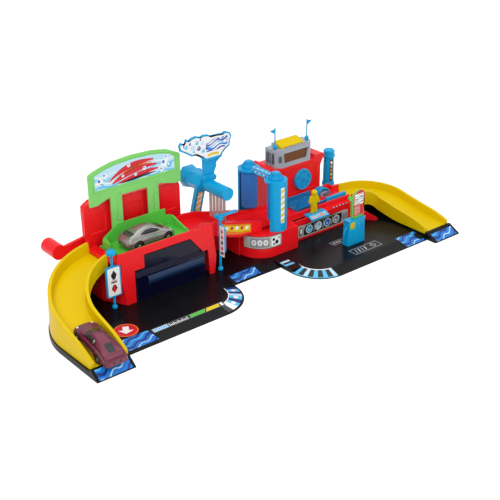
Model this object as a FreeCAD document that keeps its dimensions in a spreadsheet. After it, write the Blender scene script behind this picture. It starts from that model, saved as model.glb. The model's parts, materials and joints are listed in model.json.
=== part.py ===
import FreeCAD, Part
import math
import os

import Sketcher

# Toy car wash playset: three floor plates with a lift garage and dunk tank on the left, a wash
# tunnel with rollers in the middle, a control tower and wash bay on the right, and a chute at
# each end. Millimetres, +Z up. The pieces are laid out from the front left corner of the middle
# floor plate, and every piece is then moved so that the origin is under the middle of the toy.

V = FreeCAD.Vector
doc = FreeCAD.newDocument("CarWashPlayset")
sheet = doc.addObject("Spreadsheet::Sheet", "Sizes")
sheet_rows = {}


class Length:
    """A size of the sheet or a sum made from sizes: its number and the expression that gives it."""

    def __init__(self, value, text):
        self.value = float(value)
        self.text = text

    def join(self, other, sign, value):
        return Length(value, "(" + self.text + " " + sign + " " + other.text + ")")

    def __add__(self, other):
        other = length(other)
        return self.join(other, "+", self.value + other.value)

    def __radd__(self, other):
        return length(other) + self

    def __sub__(self, other):
        other = length(other)
        return self.join(other, "-", self.value - other.value)

    def __rsub__(self, other):
        return length(other) - self

    def __mul__(self, other):
        other = length(other)
        return self.join(other, "*", self.value * other.value)

    def __rmul__(self, other):
        return length(other) * self

    def __truediv__(self, other):
        other = length(other)
        return self.join(other, "/", self.value / other.value)

    def __neg__(self):
        return Length(-self.value, "(-" + self.text + ")")

    def __float__(self):
        return self.value


def length(number):
    """Gives any plain number or Length as a Length."""
    if isinstance(number, Length):
        return number
    return Length(number, repr(float(number)))


def turned(kind, angle):
    """Gives the sine, cosine or tangent of an angle in degrees as a Length."""
    number = {"sin": math.sin, "cos": math.cos, "tan": math.tan}[kind](math.radians(angle.value))
    return Length(number, kind + "(" + angle.text + " * 1deg)")


class Sizes:
    """The named sizes: setting an attribute writes a row of the sheet, reading it gives the size."""

    def __setattr__(self, name, value):
        row = len(sheet_rows) + 1
        sheet.set("A" + str(row), name.replace("_", " "))
        sheet.set("B" + str(row), str(value))
        sheet.setAlias("B" + str(row), name)
        sheet_rows[name] = float(value)

    def __getattr__(self, name):
        return Length(sheet_rows[name], "Sizes." + name)


S = Sizes()


def bind(thing, path, amount):
    """Ties one property of an object to the sheet."""
    thing.setExpression(path, length(amount).text)


def place(thing, point):
    """Ties the position of an object to the sheet and remembers it."""
    positions[thing.Name] = point
    for axis, amount in zip("xyz", point):
        bind(thing, "Placement.Base." + axis, amount)


positions = {}
nodes = []
ORIGIN = (0.0, 0.0, 0.0)
ALONG = {
    "Z": FreeCAD.Rotation(),
    "X": FreeCAD.Rotation(V(0, 1, 0), 90),
    "Y": FreeCAD.Rotation(V(1, 0, 0), -90),
}


def box(name, low, high):
    """Gives a block between two corners."""
    block = doc.addObject("Part::Box", name)
    bind(block, "Length", length(high[0]) - low[0])
    bind(block, "Width", length(high[1]) - low[1])
    bind(block, "Height", length(high[2]) - low[2])
    place(block, low)
    return block


def rod(name, start, radius, reach, along="Z", sweep=None, turn=0.0):
    """Gives a cylinder, or a slice of one that sweeps an angle, from its start point."""
    cylinder = doc.addObject("Part::Cylinder", name)
    bind(cylinder, "Radius", radius)
    bind(cylinder, "Height", reach)
    if sweep:
        cylinder.Angle = sweep
    spin = FreeCAD.Rotation(V(0, 0, 1), turn)
    cylinder.Placement = FreeCAD.Placement(V(0, 0, 0), ALONG[along].multiply(spin))
    place(cylinder, start)
    return cylinder


def cone(name, start, low_radius, high_radius, reach, along="Z", sweep=None, turn=0.0):
    """Gives a cone frustum, or a slice of one, from its start point."""
    frustum = doc.addObject("Part::Cone", name)
    bind(frustum, "Radius1", low_radius)
    bind(frustum, "Radius2", high_radius)
    bind(frustum, "Height", reach)
    if sweep:
        frustum.Angle = sweep
    spin = FreeCAD.Rotation(V(0, 0, 1), turn)
    frustum.Placement = FreeCAD.Placement(V(0, 0, 0), ALONG[along].multiply(spin))
    place(frustum, start)
    return frustum


def ball(name, centre, radius):
    """Gives a sphere."""
    sphere = doc.addObject("Part::Sphere", name)
    bind(sphere, "Radius", radius)
    place(sphere, centre)
    return sphere


def plane_of(body, role):
    """Finds one of a body's own origin planes or axes."""
    for feature in body.Origin.OriginFeatures:
        if feature.Role == role:
            return feature
    raise ValueError(role)


def sketch_on(body, name, role, offset):
    """Makes a sketch on one of a body's origin planes, moved along its normal."""
    sketch = body.newObject("Sketcher::SketchObject", name)
    sketch.AttachmentSupport = [(plane_of(body, role), "")]
    sketch.MapMode = "FlatFace"
    bind(sketch, "AttachmentOffset.Base.z", offset)
    return sketch


def draw_outline(sketch, points):
    """Draws a closed outline whose corners are tied to the sheet."""
    first = sketch.GeometryCount
    count = len(points)
    for index in range(count):
        here = points[index]
        there = points[(index + 1) % count]
        start = V(float(here[0]), float(here[1]), 0)
        end = V(float(there[0]), float(there[1]), 0)
        sketch.addGeometry(Part.LineSegment(start, end), False)
    for index in range(count):
        line = first + index
        after = first + (index + 1) % count
        sketch.addConstraint(Sketcher.Constraint("Coincident", line, 2, after, 1))
    for index, point in enumerate(points):
        for kind, amount in zip(("DistanceX", "DistanceY"), point):
            amount = length(amount)
            rule = Sketcher.Constraint(kind, -1, 1, first + index, 1, amount.value)
            number = sketch.addConstraint(rule)
            bind(sketch, "Constraints[" + str(number) + "]", amount)


def draw_circle(sketch, centre, radius):
    """Draws a circle whose centre and radius are tied to the sheet."""
    middle = V(float(centre[0]), float(centre[1]), 0)
    round_line = sketch.addGeometry(Part.Circle(middle, V(0, 0, 1), float(radius)), False)
    number = sketch.addConstraint(Sketcher.Constraint("Radius", round_line, float(radius)))
    bind(sketch, "Constraints[" + str(number) + "]", radius)
    for kind, amount in zip(("DistanceX", "DistanceY"), centre):
        amount = length(amount)
        rule = Sketcher.Constraint(kind, -1, 1, round_line, 3, amount.value)
        number = sketch.addConstraint(rule)
        bind(sketch, "Constraints[" + str(number) + "]", amount)


ROLES = {"XY": "XY_Plane", "XZ": "XZ_Plane", "YZ": "YZ_Plane"}


def pad(name, plane, points, start, end, holes=(), at=ORIGIN):
    """Gives a body whose outline on a plane is padded from one level to another.

    Args:
        name: The body's name.
        plane: XY with corners (x, y), XZ with corners (x, z) or YZ with corners (y, z).
        points: The corners of the outline.
        start: The lower level on the plane's normal axis.
        end: The upper level on that axis.
        holes: Circles as (centre, radius) or closed outlines that are left open.
        at: Where the body's own origin is put.
    """
    body = doc.addObject("PartDesign::Body", name)
    offset = -length(end) if plane == "XZ" else length(start)
    sketch = sketch_on(body, name + "_outline", ROLES[plane], offset)
    draw_outline(sketch, points)
    for hole in holes:
        if len(hole) == 2:
            draw_circle(sketch, hole[0], hole[1])
        else:
            draw_outline(sketch, hole)
    feature = body.newObject("PartDesign::Pad", name + "_pad")
    feature.Profile = sketch
    bind(feature, "Length", length(end) - start)
    place(body, at)
    return body


def spun(name, points, at=ORIGIN, along="Z"):
    """Gives a body turned on a lathe: corners are (radius, height) above its own origin."""
    body = doc.addObject("PartDesign::Body", name)
    sketch = sketch_on(body, name + "_half", "XZ_Plane", 0.0)
    draw_outline(sketch, points)
    feature = body.newObject("PartDesign::Revolution", name + "_turn")
    feature.Profile = sketch
    feature.ReferenceAxis = (sketch, ["V_Axis"])
    feature.Angle = 360.0
    body.Placement = FreeCAD.Placement(V(0, 0, 0), ALONG[along])
    place(body, at)
    return body


def rounded(body, radius, picks):
    """Rounds the straight edges of a body's pad that stand on the given outline corners."""
    body.recompute(True)
    base = body.Tip
    names = []
    for number, edge in enumerate(base.Shape.Edges, 1):
        if len(edge.Vertexes) != 2:
            continue
        ends = [vertex.Point for vertex in edge.Vertexes]
        for plane, first, second in picks:
            flat = [drop(point, plane) for point in ends]
            near = [abs(a - float(first)) + abs(b - float(second)) < 0.01 for a, b in flat]
            if all(near):
                names.append("Edge" + str(number))
    if not names:
        raise ValueError("no edge to round on " + body.Name)
    feature = body.newObject("PartDesign::Fillet", body.Name + "_round" + str(len(body.Group)))
    feature.Base = (base, names)
    bind(feature, "Radius", radius)
    return body


def drop(point, plane):
    """Gives a point's two coordinates on a plane."""
    return {"XY": (point.x, point.y), "XZ": (point.x, point.z), "YZ": (point.y, point.z)}[plane]


def fuse(name, shapes):
    """Joins shapes that touch into one solid."""
    joined = doc.addObject("Part::MultiFuse", name)
    joined.Shapes = shapes
    joined.Refine = True
    positions[joined.Name] = ORIGIN
    return joined


def cut(name, base, tools):
    """Takes the tools away from the base."""
    tool = tools[0]
    if len(tools) > 1:
        tool = doc.addObject("Part::MultiFuse", name + "_tools")
        tool.Shapes = tools
    left = doc.addObject("Part::Cut", name)
    left.Base = base
    left.Tool = tool
    left.Refine = True
    positions[left.Name] = ORIGIN
    return left


def common(name, shapes):
    """Keeps what the shapes share."""
    shared = doc.addObject("Part::MultiCommon", name)
    shared.Shapes = shapes
    shared.Refine = True
    positions[shared.Name] = ORIGIN
    return shared


def group(name, shapes):
    """Keeps several like solids together in one node."""
    kept = doc.addObject("Part::Compound", name)
    kept.Links = shapes
    positions[kept.Name] = ORIGIN
    return kept


def solid(name, shape):
    """Keeps a shape that the primitives and sketches can't give."""
    feature = doc.addObject("Part::Feature", name)
    feature.Shape = shape
    positions[feature.Name] = ORIGIN
    return feature


def node(label, thing, spot=ORIGIN, turn=None):
    """Names a finished piece and moves it from the layout corner to the toy's own origin.

    Args:
        label: The piece's name.
        thing: The object that holds its shape.
        spot: Where a piece that is made around its own origin goes in the layout.
        turn: How such a piece is turned there.
    """
    thing.Label = label
    base = positions[thing.Name]
    if turn is not None:
        swung = thing.Placement.Rotation
        own = V(*[float(amount) for amount in base])
        moved = turn.multVec(own)
        thing.Placement = FreeCAD.Placement(V(0, 0, 0), turn.multiply(swung))
        if own.Length > 0:
            base = (moved.x, moved.y, moved.z)
    bind(thing, "Placement.Base.x", length(base[0]) + spot[0] - S.layout_to_middle)
    bind(thing, "Placement.Base.y", length(base[1]) + spot[1] - S.layout_to_centre)
    bind(thing, "Placement.Base.z", length(base[2]) + spot[2])
    nodes.append(thing)
    return thing


# Shared sizes.
S.layout_to_middle = 43.75
S.layout_to_centre = 25.5
S.fit = 0.3
S.shaft_fit = 0.06
S.seat_fit = 0.3
S.shell_wall = 2.5
S.pin_radius = 1.2

# Floor plates.
S.plate_height = 5
S.track_back = 88
S.tower_gap = 2
S.tower_deep = 38
S.cover_thick = 2.5
S.plate_margin = 2.5
S.plate_joint = 0.3
S.apron_lip = 1
S.left_front = 52
S.left_corner = 50
S.left_apron = 24
S.left_back_edge = 159
S.middle_width = 77.5
S.middle_apron = 20
S.right_front = 67
S.right_corner = 46
S.right_apron = 18
S.right_back_edge = 266
S.hollow_depth = 2.2
S.hollow_border = 8
S.clip_neck = 8
S.clip_head = 15
S.clip_reach = 9
S.clip_low = 0.6
S.clip_thick = 1.6
S.clip_front = 30
S.clip_rear = 105
plate_back = S.track_back + S.tower_gap + S.tower_deep + S.cover_thick + S.plate_margin

# Chutes.
S.chute_width = 46
S.chute_wall = 4
S.chute_floor = 2
S.chute_end = 62
S.chute_margin = 3
S.chute_draft = 2.5
S.skirt_wall = 2.5
S.foot_floor = 10
S.foot_rim = 5
S.foot_seat = 7.2
S.rim_height = 13
S.inner_wall_drop = 4
S.left_turn_x = 150
S.left_turn_y = 0
S.left_turn_radius = 70.5
S.left_mouth_floor = 60
S.left_foot_tip = 77
S.right_turn_x = 275
S.right_turn_y = 28
S.right_turn_radius = 33
S.right_mouth_floor = 33
S.right_rim_height = 10
S.right_wall_drop = 8
S.right_mouth_x = 258
S.right_foot_tip = 82

left_centre = (-S.left_turn_x, S.left_turn_y)
left_edge_radius = S.left_turn_radius + S.chute_width / 2 + S.chute_margin
left_foot_inner = -S.left_turn_x - S.left_turn_radius + S.chute_width / 2
left_foot_outer = -S.left_turn_x - left_edge_radius
curb_inner = left_edge_radius - S.chute_margin * 2 - S.skirt_wall
right_edge_radius = S.right_turn_radius + S.chute_width / 2 + S.chute_margin
right_foot_inner = S.right_turn_x + S.right_turn_radius - S.chute_width / 2
right_foot_outer = S.right_turn_x + right_edge_radius
right_curb_inner = right_edge_radius - S.chute_margin * 2 - S.skirt_wall


def slab_outline(front, apron):
    """Gives the end view of a plate with a sloped front apron, as (y, z) corners."""
    return [
        (-front, 0.0),
        (plate_back, 0.0),
        (plate_back, S.plate_height),
        (apron - front, S.plate_height),
        (-front, S.apron_lip),
    ]


def foot_outline(tip, back):
    """Gives the side view of a raised foot under a chute's end, as (y, z) corners."""
    return [
        (-tip, 0.0),
        (back, 0.0),
        (back, S.foot_seat),
        (-S.chute_end - S.fit, S.foot_seat),
        (-S.chute_end - S.fit, S.foot_floor),
        (-S.chute_end - S.chute_margin, S.foot_floor),
        (-tip, S.apron_lip),
    ]


def round_corner(name, centre, radius, apron, turn):
    """Gives a quarter-round plate corner whose rim slopes down like an apron."""
    lip = rod(name + "_lip", (centre[0], centre[1], 0.0), radius, S.apron_lip, "Z", 90, turn)
    slope = cone(
        name + "_slope",
        (centre[0], centre[1], S.apron_lip),
        radius,
        radius - apron,
        S.plate_height - S.apron_lip,
        "Z",
        90,
        turn,
    )
    return [lip, slope]


def curb(name, centre, outer, inner, turn):
    """Gives the quarter ring that a chute's skirt stands on."""
    disc = rod(name + "_disc", (centre[0], centre[1], 0.0), outer, S.foot_seat, "Z", 90, turn)
    bore = rod(name + "_bore", (centre[0], centre[1], -1.0), inner, S.foot_seat + 2.0, "Z", 90, turn)
    return cut(name, disc, [bore])


def clip(name, edge, middle, side, gap):
    """Gives a T-shaped clip at a plate joint, or with a gap the notch that takes it."""
    low = S.clip_low - gap
    high = S.clip_low + S.clip_thick + gap
    if float(gap) > 0:
        low = length(-1.0)
    tip = edge + side * (S.clip_reach + gap)
    root = edge - side * S.clip_head
    shoulder = edge + side * (S.clip_reach / 2 - gap)
    half_neck = S.clip_neck / 2 + gap
    half_head = S.clip_head / 2 + gap
    corners = [
        (root, middle - half_neck),
        (shoulder, middle - half_neck),
        (shoulder, middle - half_head),
        (tip, middle - half_head),
        (tip, middle + half_head),
        (shoulder, middle + half_head),
        (shoulder, middle + half_neck),
        (root, middle + half_neck),
    ]
    return pad(name, "XY", corners, low, high)


# Left floor plate: two front sides with a sloped apron, a round corner, a raised foot.
left_parts = [
    pad("left_front_slab", "YZ", slab_outline(S.left_front, S.left_apron)[:1] + [
        (S.left_turn_y, 0.0),
        (S.left_turn_y, S.plate_height),
        (S.left_apron - S.left_front, S.plate_height),
        (-S.left_front, S.apron_lip),
    ], left_foot_inner, -S.left_corner),
    box(
        "left_main_slab",
        (-S.left_back_edge, S.left_turn_y, 0.0),
        (-S.left_corner, plate_back, S.plate_height),
    ),
    box(
        "left_side_slab",
        (-S.left_corner, S.left_corner - S.left_front, 0.0),
        (0.0, plate_back, S.plate_height),
    ),
    rod(
        "left_round_slab",
        (left_centre[0], left_centre[1], 0.0),
        left_edge_radius,
        S.plate_height,
        "Z",
        90,
        90,
    ),
    box(
        "left_strip",
        (left_foot_outer, -S.chute_end, 0.0),
        (left_centre[0], left_centre[1], S.plate_height),
    ),
    pad(
        "left_foot",
        "YZ",
        foot_outline(S.left_foot_tip, S.left_turn_y - S.chute_end / 2),
        left_foot_outer,
        left_foot_inner,
    ),
    curb("left_curb", left_centre, left_edge_radius, curb_inner, 90),
    box(
        "left_curb_strip",
        (left_foot_outer, -S.chute_end, 0.0),
        (-S.left_turn_x - curb_inner, S.left_turn_y, S.foot_seat),
    ),
]
left_parts += round_corner(
    "left_corner_round",
    (-S.left_corner, S.left_corner - S.left_front),
    S.left_corner,
    S.left_apron,
    270,
)
# The strip in front of the plate, left of the foot's inner side, isn't there.
left_strip_trim = box(
    "left_strip_trim",
    (left_foot_inner, -S.chute_end - 1.0, -1.0),
    (left_centre[0] - 0.0, -S.left_front, S.plate_height + 1.0),
)
left_hollow = box(
    "left_hollow",
    (-S.left_back_edge + S.hollow_border, S.left_apron - S.left_front, -1.0),
    (-S.left_corner, plate_back - S.hollow_border, S.hollow_depth),
)
base_left = cut("base_left", fuse("left_plate", left_parts), [
    left_strip_trim,
    left_hollow,
    clip("left_notch_front", length(0.0), S.clip_front, -1.0, S.fit),
    clip("left_notch_rear", length(0.0), S.clip_rear, -1.0, S.fit),
])
node("base_left", base_left)

# Middle floor plate with a clip at each joint.
middle_left = S.plate_joint
middle_right = S.middle_width - S.plate_joint
middle_slab = pad(
    "middle_slab", "YZ", slab_outline(length(0.0), S.middle_apron), middle_left, middle_right
)
middle_hollow = box(
    "middle_hollow",
    (middle_left + S.clip_head + S.hollow_border, S.middle_apron, -1.0),
    (middle_right - S.clip_head - S.hollow_border, plate_back - S.hollow_border, S.hollow_depth),
)
base_middle = fuse("middle_plate", [
    cut("middle_shell", middle_slab, [middle_hollow]),
    clip("clip_left_front", length(0.0), S.clip_front, -1.0, length(0.0)),
    clip("clip_left_rear", length(0.0), S.clip_rear, -1.0, length(0.0)),
    clip("clip_right_front", S.middle_width, S.clip_front, 1.0, length(0.0)),
    clip("clip_right_rear", S.middle_width, S.clip_rear, 1.0, length(0.0)),
])
node("base_middle", base_middle)

# Right floor plate: the widest one, with the fuel pump's bay in front.
right_parts = [
    pad("right_front_slab", "YZ", [
        (-S.right_front, 0.0),
        (S.right_corner - S.right_front, 0.0),
        (S.right_corner - S.right_front, S.plate_height),
        (S.right_apron - S.right_front, S.plate_height),
        (-S.right_front, S.apron_lip),
    ], S.middle_width + S.right_corner, right_foot_inner),
    box(
        "right_main_slab",
        (S.middle_width, S.right_corner - S.right_front, 0.0),
        (S.right_back_edge, plate_back, S.plate_height),
    ),
    box(
        "right_side_slab",
        (S.right_back_edge, S.right_corner - S.right_front, 0.0),
        (S.right_turn_x, S.right_turn_y + right_edge_radius, S.plate_height),
    ),
    box(
        "right_strip",
        (S.right_turn_x, -S.chute_end, 0.0),
        (right_foot_outer, S.right_turn_y, S.plate_height),
    ),
    rod(
        "right_round_slab",
        (S.right_turn_x, S.right_turn_y, 0.0),
        right_edge_radius,
        S.plate_height,
        "Z",
        90,
        0,
    ),
    pad(
        "right_foot",
        "YZ",
        foot_outline(S.right_foot_tip, S.right_turn_y - S.chute_end),
        right_foot_inner,
        right_foot_outer,
    ),
    curb(
        "right_curb", (S.right_turn_x, S.right_turn_y), right_edge_radius, right_curb_inner, 0
    ),
    box(
        "right_curb_strip",
        (S.right_turn_x + right_curb_inner, -S.chute_end, 0.0),
        (right_foot_outer, S.right_turn_y, S.foot_seat),
    ),
    box(
        "right_curb_end",
        (S.right_mouth_x, S.right_turn_y + right_curb_inner, 0.0),
        (S.right_turn_x, S.right_turn_y + right_edge_radius, S.foot_seat),
    ),
]
right_parts += round_corner(
    "right_corner_round",
    (S.middle_width + S.right_corner, S.right_corner - S.right_front),
    S.right_corner,
    S.right_apron,
    180,
)
right_strip_trim = box(
    "right_strip_trim",
    (S.right_turn_x - 1.0, -S.right_front - 1.0, -1.0),
    (right_foot_inner, -S.right_front, S.plate_height + 1.0),
)
right_hollow = box(
    "right_hollow",
    (S.middle_width + S.clip_reach + S.hollow_border, S.right_apron - S.right_front + 30.0, -1.0),
    (S.right_back_edge - S.hollow_border, plate_back - S.hollow_border, S.hollow_depth),
)
base_right = cut("base_right", fuse("right_plate", right_parts), [
    right_strip_trim,
    right_hollow,
    clip("right_notch_front", S.middle_width, S.clip_front, 1.0, S.fit),
    clip("right_notch_rear", S.middle_width, S.clip_rear, 1.0, S.fit),
])
node("base_right", base_right)


def chute_path(centre, radius, side, run, share):
    """Gives a point of a chute's centre line and the direction to its outer side.

    The line starts with a straight run, turns a quarter and ends straight at the foot.
    """
    arc = math.pi / 2 * radius
    tail = centre[1] + float(S.chute_end)
    way = share * (run + arc + tail)
    if way < run:
        return V(centre[0] - side * (run - way), centre[1] + radius, 0), V(0, 1, 0)
    if way < run + arc:
        angle = (way - run) / radius
        outward = V(side * math.sin(angle), math.cos(angle), 0)
        return V(centre[0], centre[1], 0) + outward * radius, outward
    back = way - run - arc
    return V(centre[0] + side * radius, centre[1] - back, 0), V(side, 0, 0)


def chute_section(spot, outward, floor, rim, drop_down):
    """Gives the closed cross-section of a chute: outer skirt, channel and inner wall."""
    half = float(S.chute_width) / 2
    wall = float(S.chute_wall)
    seat = float(S.foot_seat)
    under = floor - float(S.chute_floor)
    above = under - drop_down - seat
    low = seat + 0.2 + (above + math.sqrt(above * above + 4.0)) / 2
    flare = float(S.chute_draft) * (rim - seat) / float(S.left_mouth_floor)
    corners = [
        (half + flare, seat),
        (half, rim),
        (half - wall, rim),
        (half - wall - 1.0, floor),
        (-half + wall + 1.0, floor),
        (-half + wall, rim),
        (-half, rim),
        (-half, low),
        (-half + wall, low),
        (-half + wall + 0.5, under),
        (half - wall, under),
        (half + flare - float(S.skirt_wall), seat),
    ]
    points = [spot + outward * across + V(0, 0, up) for across, up in corners]
    return Part.makePolygon(points + points[:1])


def chute(name, centre, radius, side, run, mouth_floor, rim_height, drop_down):
    """Gives a chute lofted through sections along its centre line."""
    wires = []
    count = 18
    for index in range(count + 1):
        share = index / count
        spot, outward = chute_path(centre, radius, side, run, share)
        ease = share - 0.05 * math.sin(2 * math.pi * share)
        floor = mouth_floor + (float(S.foot_floor) - mouth_floor) * ease
        rim = floor + rim_height
        rim -= (rim_height - float(S.foot_rim)) * max(0.0, (share - 0.8) / 0.2) ** 2
        wires.append(chute_section(spot, outward, floor, rim, drop_down))
    return solid(name, Part.makeLoft(wires, True, False))


node("left_chute", chute(
    "left_chute",
    (float(left_centre[0]), float(left_centre[1])),
    float(S.left_turn_radius),
    -1.0,
    0.0,
    float(S.left_mouth_floor),
    float(S.rim_height),
    float(S.inner_wall_drop),
))
node("right_chute", chute(
    "right_chute",
    (float(S.right_turn_x), float(S.right_turn_y)),
    float(S.right_turn_radius),
    1.0,
    float(S.right_turn_x - S.right_mouth_x),
    float(S.right_mouth_floor),
    float(S.right_rim_height),
    float(S.right_wall_drop),
))


# Lift garage, left.
S.garage_front = 36
S.garage_left = 149.5
S.garage_leg_left = 134
S.garage_waist_left = 139
S.garage_brow_left = 144
S.garage_right = 2
S.garage_bow = 3
S.garage_height = 74
S.garage_brow = 62
S.opening_left = 121
S.opening_step = 107
S.opening_step_height = 47
S.opening_right = 39
S.opening_top = 64
S.opening_shoulder = 41
S.opening_shoulder_right = 20
S.leg_inner = 12
S.leg_foot_inner = 9
S.side_bend = 67
S.wall_front = 95
S.wall_left = 150
S.wall_right = 10
S.wall_top = 119
S.wall_flange = 7
S.wall_round = 8
S.slot_left = 116
S.slot_right = 63
S.strut_width = 16
S.neck_inset = 7.5
S.neck_width = 8
S.slot_top = 107
S.slot_bottom = 59
S.lift_slack = 0.6

garage_inside = S.garage_front + S.shell_wall
base_top = S.plate_height
fascia = pad("fascia", "XZ", [
    (-S.garage_leg_left, base_top),
    (-S.garage_waist_left, 35.0),
    (-S.garage_waist_left, S.garage_brow),
    (-S.garage_brow_left, S.garage_brow),
    (-S.garage_brow_left, S.garage_height),
    (-S.garage_right - S.garage_bow, S.garage_height),
    (-S.garage_right + S.garage_bow, 29.0),
    (-S.garage_right, base_top),
    (-S.leg_foot_inner, base_top),
    (-S.leg_inner, S.opening_shoulder),
    (-S.opening_shoulder_right, S.opening_shoulder),
    (-S.opening_right, S.opening_top),
    (-S.opening_step, S.opening_top),
    (-S.opening_step, S.opening_step_height),
    (-S.opening_left, S.opening_step_height),
    (-S.opening_left, base_top),
], S.garage_front, garage_inside)
side_wall = pad("garage_side", "XY", [
    (-S.garage_leg_left, S.garage_front),
    (-S.garage_leg_left + 5.0, S.garage_front),
    (-S.garage_left + S.shell_wall, S.side_bend + 1.0),
    (-S.garage_left + S.shell_wall, S.wall_front),
    (-S.garage_left, S.wall_front),
    (-S.garage_left, S.side_bend),
], base_top, S.garage_brow)
# The narrow deck carries the track's upper end between the tank and the right wall.
S.tank_right = 16
S.track_left_floor = 64
S.track_floor = 2.5
S.deck_fall = 1.4
deck_top = S.track_left_floor - S.track_floor
right_wall = box(
    "garage_right_wall",
    (-S.garage_right - S.shell_wall - 1.0, S.garage_front + 1.0, base_top),
    (-S.garage_right - 1.0, S.wall_front, deck_top - S.deck_fall),
)
deck_right = pad("garage_deck_right", "XZ", [
    (S.fit * 2 - S.tank_right, deck_top - S.shell_wall),
    (-S.garage_right - 1.0, deck_top - S.shell_wall),
    (-S.garage_right - 1.0, deck_top - S.deck_fall),
    (-10.5, deck_top),
    (S.fit * 2 - S.tank_right, deck_top),
], garage_inside - 1.0, S.wall_front)
garage_shell = fuse("garage_shell", [fascia, side_wall, right_wall, deck_right])
node("garage_shell", garage_shell)

# Red ledge that a car crosses from the raised tray into the left chute.
S.inlet_top = 65.5
S.inlet_tray_gap = 1.2
S.tray_left = 136
S.tray_left_bend = 62.5
inlet_right = -S.tray_left - S.inlet_tray_gap
inlet = pad("inlet_plate", "XY", [
    (-S.wall_left, 49.5),
    (-S.garage_brow_left, S.garage_front + S.shell_wall + S.fit),
    (-S.opening_left - S.inlet_tray_gap - 2.5, S.garage_front + S.shell_wall + S.fit),
    (inlet_right, S.tray_left_bend - 7.0),
    (inlet_right, S.wall_front - S.fit),
    (-S.wall_left, S.wall_front - S.fit),
], S.garage_brow, S.inlet_top)
inlet_lip = box(
    "inlet_lip",
    (-S.wall_left, S.wall_front - 4.0, S.garage_brow),
    (-S.wall_left + 4.0, S.wall_front - S.fit, S.garage_height),
)
node("chute_inlet", fuse("chute_inlet", [inlet, inlet_lip]))

# Upright wall behind the lift, with a slot behind each strut.
wall_back = S.wall_front + S.wall_flange
wall_inside = S.wall_front + S.shell_wall


def wall_outline(inset):
    """Gives the lift wall's front view, drawn in by an inset."""
    return [
        (-S.wall_left + inset, base_top),
        (-S.wall_right - inset, base_top),
        (-S.wall_right - inset, S.wall_top - 3.0 - inset),
        (-S.wall_left + inset, S.wall_top - inset),
    ]


def slot_outline(left, low, high, grow):
    """Gives a strut's slot as (x, z) corners."""
    return [
        (-left + S.neck_inset - grow, low),
        (-left + S.neck_inset + S.neck_width + grow, low),
        (-left + S.neck_inset + S.neck_width + grow, high),
        (-left + S.neck_inset - grow, high),
    ]


wall_slab = rounded(pad(
    "lift_wall_slab",
    "XZ",
    wall_outline(length(0.0)),
    S.wall_front,
    wall_back,
), S.wall_round, [
    ("XZ", -S.wall_left, S.wall_top),
    ("XZ", -S.wall_right, S.wall_top - 3.0),
])
wall_hollow = pad(
    "lift_wall_hollow",
    "XZ",
    [
        (-S.wall_left + S.shell_wall, base_top - 1.0),
        (-S.wall_right - S.shell_wall, base_top - 1.0),
        (-S.wall_right - S.shell_wall, S.wall_top - 8.0),
        (-S.wall_right - 10.0, S.wall_top - 3.0 - S.shell_wall),
        (-S.wall_left + 10.0, S.wall_top - S.shell_wall),
        (-S.wall_left + S.shell_wall, S.wall_top - 8.0),
    ],
    wall_inside,
    wall_back + 1.0,
)
wall_slots = [
    pad(
        "slot_" + side,
        "XZ",
        slot_outline(left, S.slot_bottom, S.slot_top, S.lift_slack),
        S.wall_front - 1.0,
        wall_inside + 1.0,
    )
    for side, left in (("left", S.slot_left), ("right", S.slot_right))
]
S.panel_depth = 1.0
wall_panels = [
    box(
        "panel_" + side,
        (left, S.wall_front - 1.0, S.opening_top + 16.0),
        (right, S.wall_front + S.panel_depth, S.slot_top - 2.0),
    )
    for side, left, right in (
        ("left", -S.wall_left + 7.0, -S.slot_left - 4.0),
        ("middle", -S.slot_left + S.strut_width + 4.0, -S.slot_right - 4.0),
        ("right", -S.slot_right + S.strut_width + 4.0, -S.wall_right - 7.0),
    )
]
S.lever_pivot_x = 132
S.lever_pivot_z = 66
S.lever_reach = 52
S.lever_swing = 42
S.lever_thick = 3
S.lever_hub = 9
S.lever_arm = 9
S.lever_knob_x = 183
S.lever_knob_radius = 9.5
S.lever_knob_back = 130
S.pivot_radius = 3
S.carriage_thick = 2.5
carriage_front = wall_inside + S.fit
carriage_back = carriage_front + S.carriage_thick
lever_front = carriage_back + S.fit
lever_back = lever_front + S.lever_thick
lever_gap = box(
    "lever_gap",
    (-S.wall_left - 1.0, wall_inside, S.lever_pivot_z - S.lever_arm - 4.0),
    (-S.wall_left + S.shell_wall + 1.0, wall_back + 1.0, S.lever_pivot_z + 34.0),
)
pivot_boss = rod(
    "pivot_boss",
    (-S.lever_pivot_x, wall_inside - 1.0, S.lever_pivot_z),
    S.pivot_radius * 2,
    lever_front - S.fit - wall_inside + 1.0,
    "Y",
)
pivot_hole = rod(
    "pivot_hole",
    (-S.lever_pivot_x, S.wall_front + 1.0, S.lever_pivot_z),
    S.pivot_radius + S.shaft_fit / 2,
    20.0,
    "Y",
)
lift_wall = cut(
    "lift_back_wall",
    fuse("lift_wall_body", [
        cut("lift_wall_shell", wall_slab, [wall_hollow] + wall_slots + wall_panels + [lever_gap]),
        pivot_boss,
    ]),
    [pivot_hole],
)
node("lift_back_wall", lift_wall)

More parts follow.
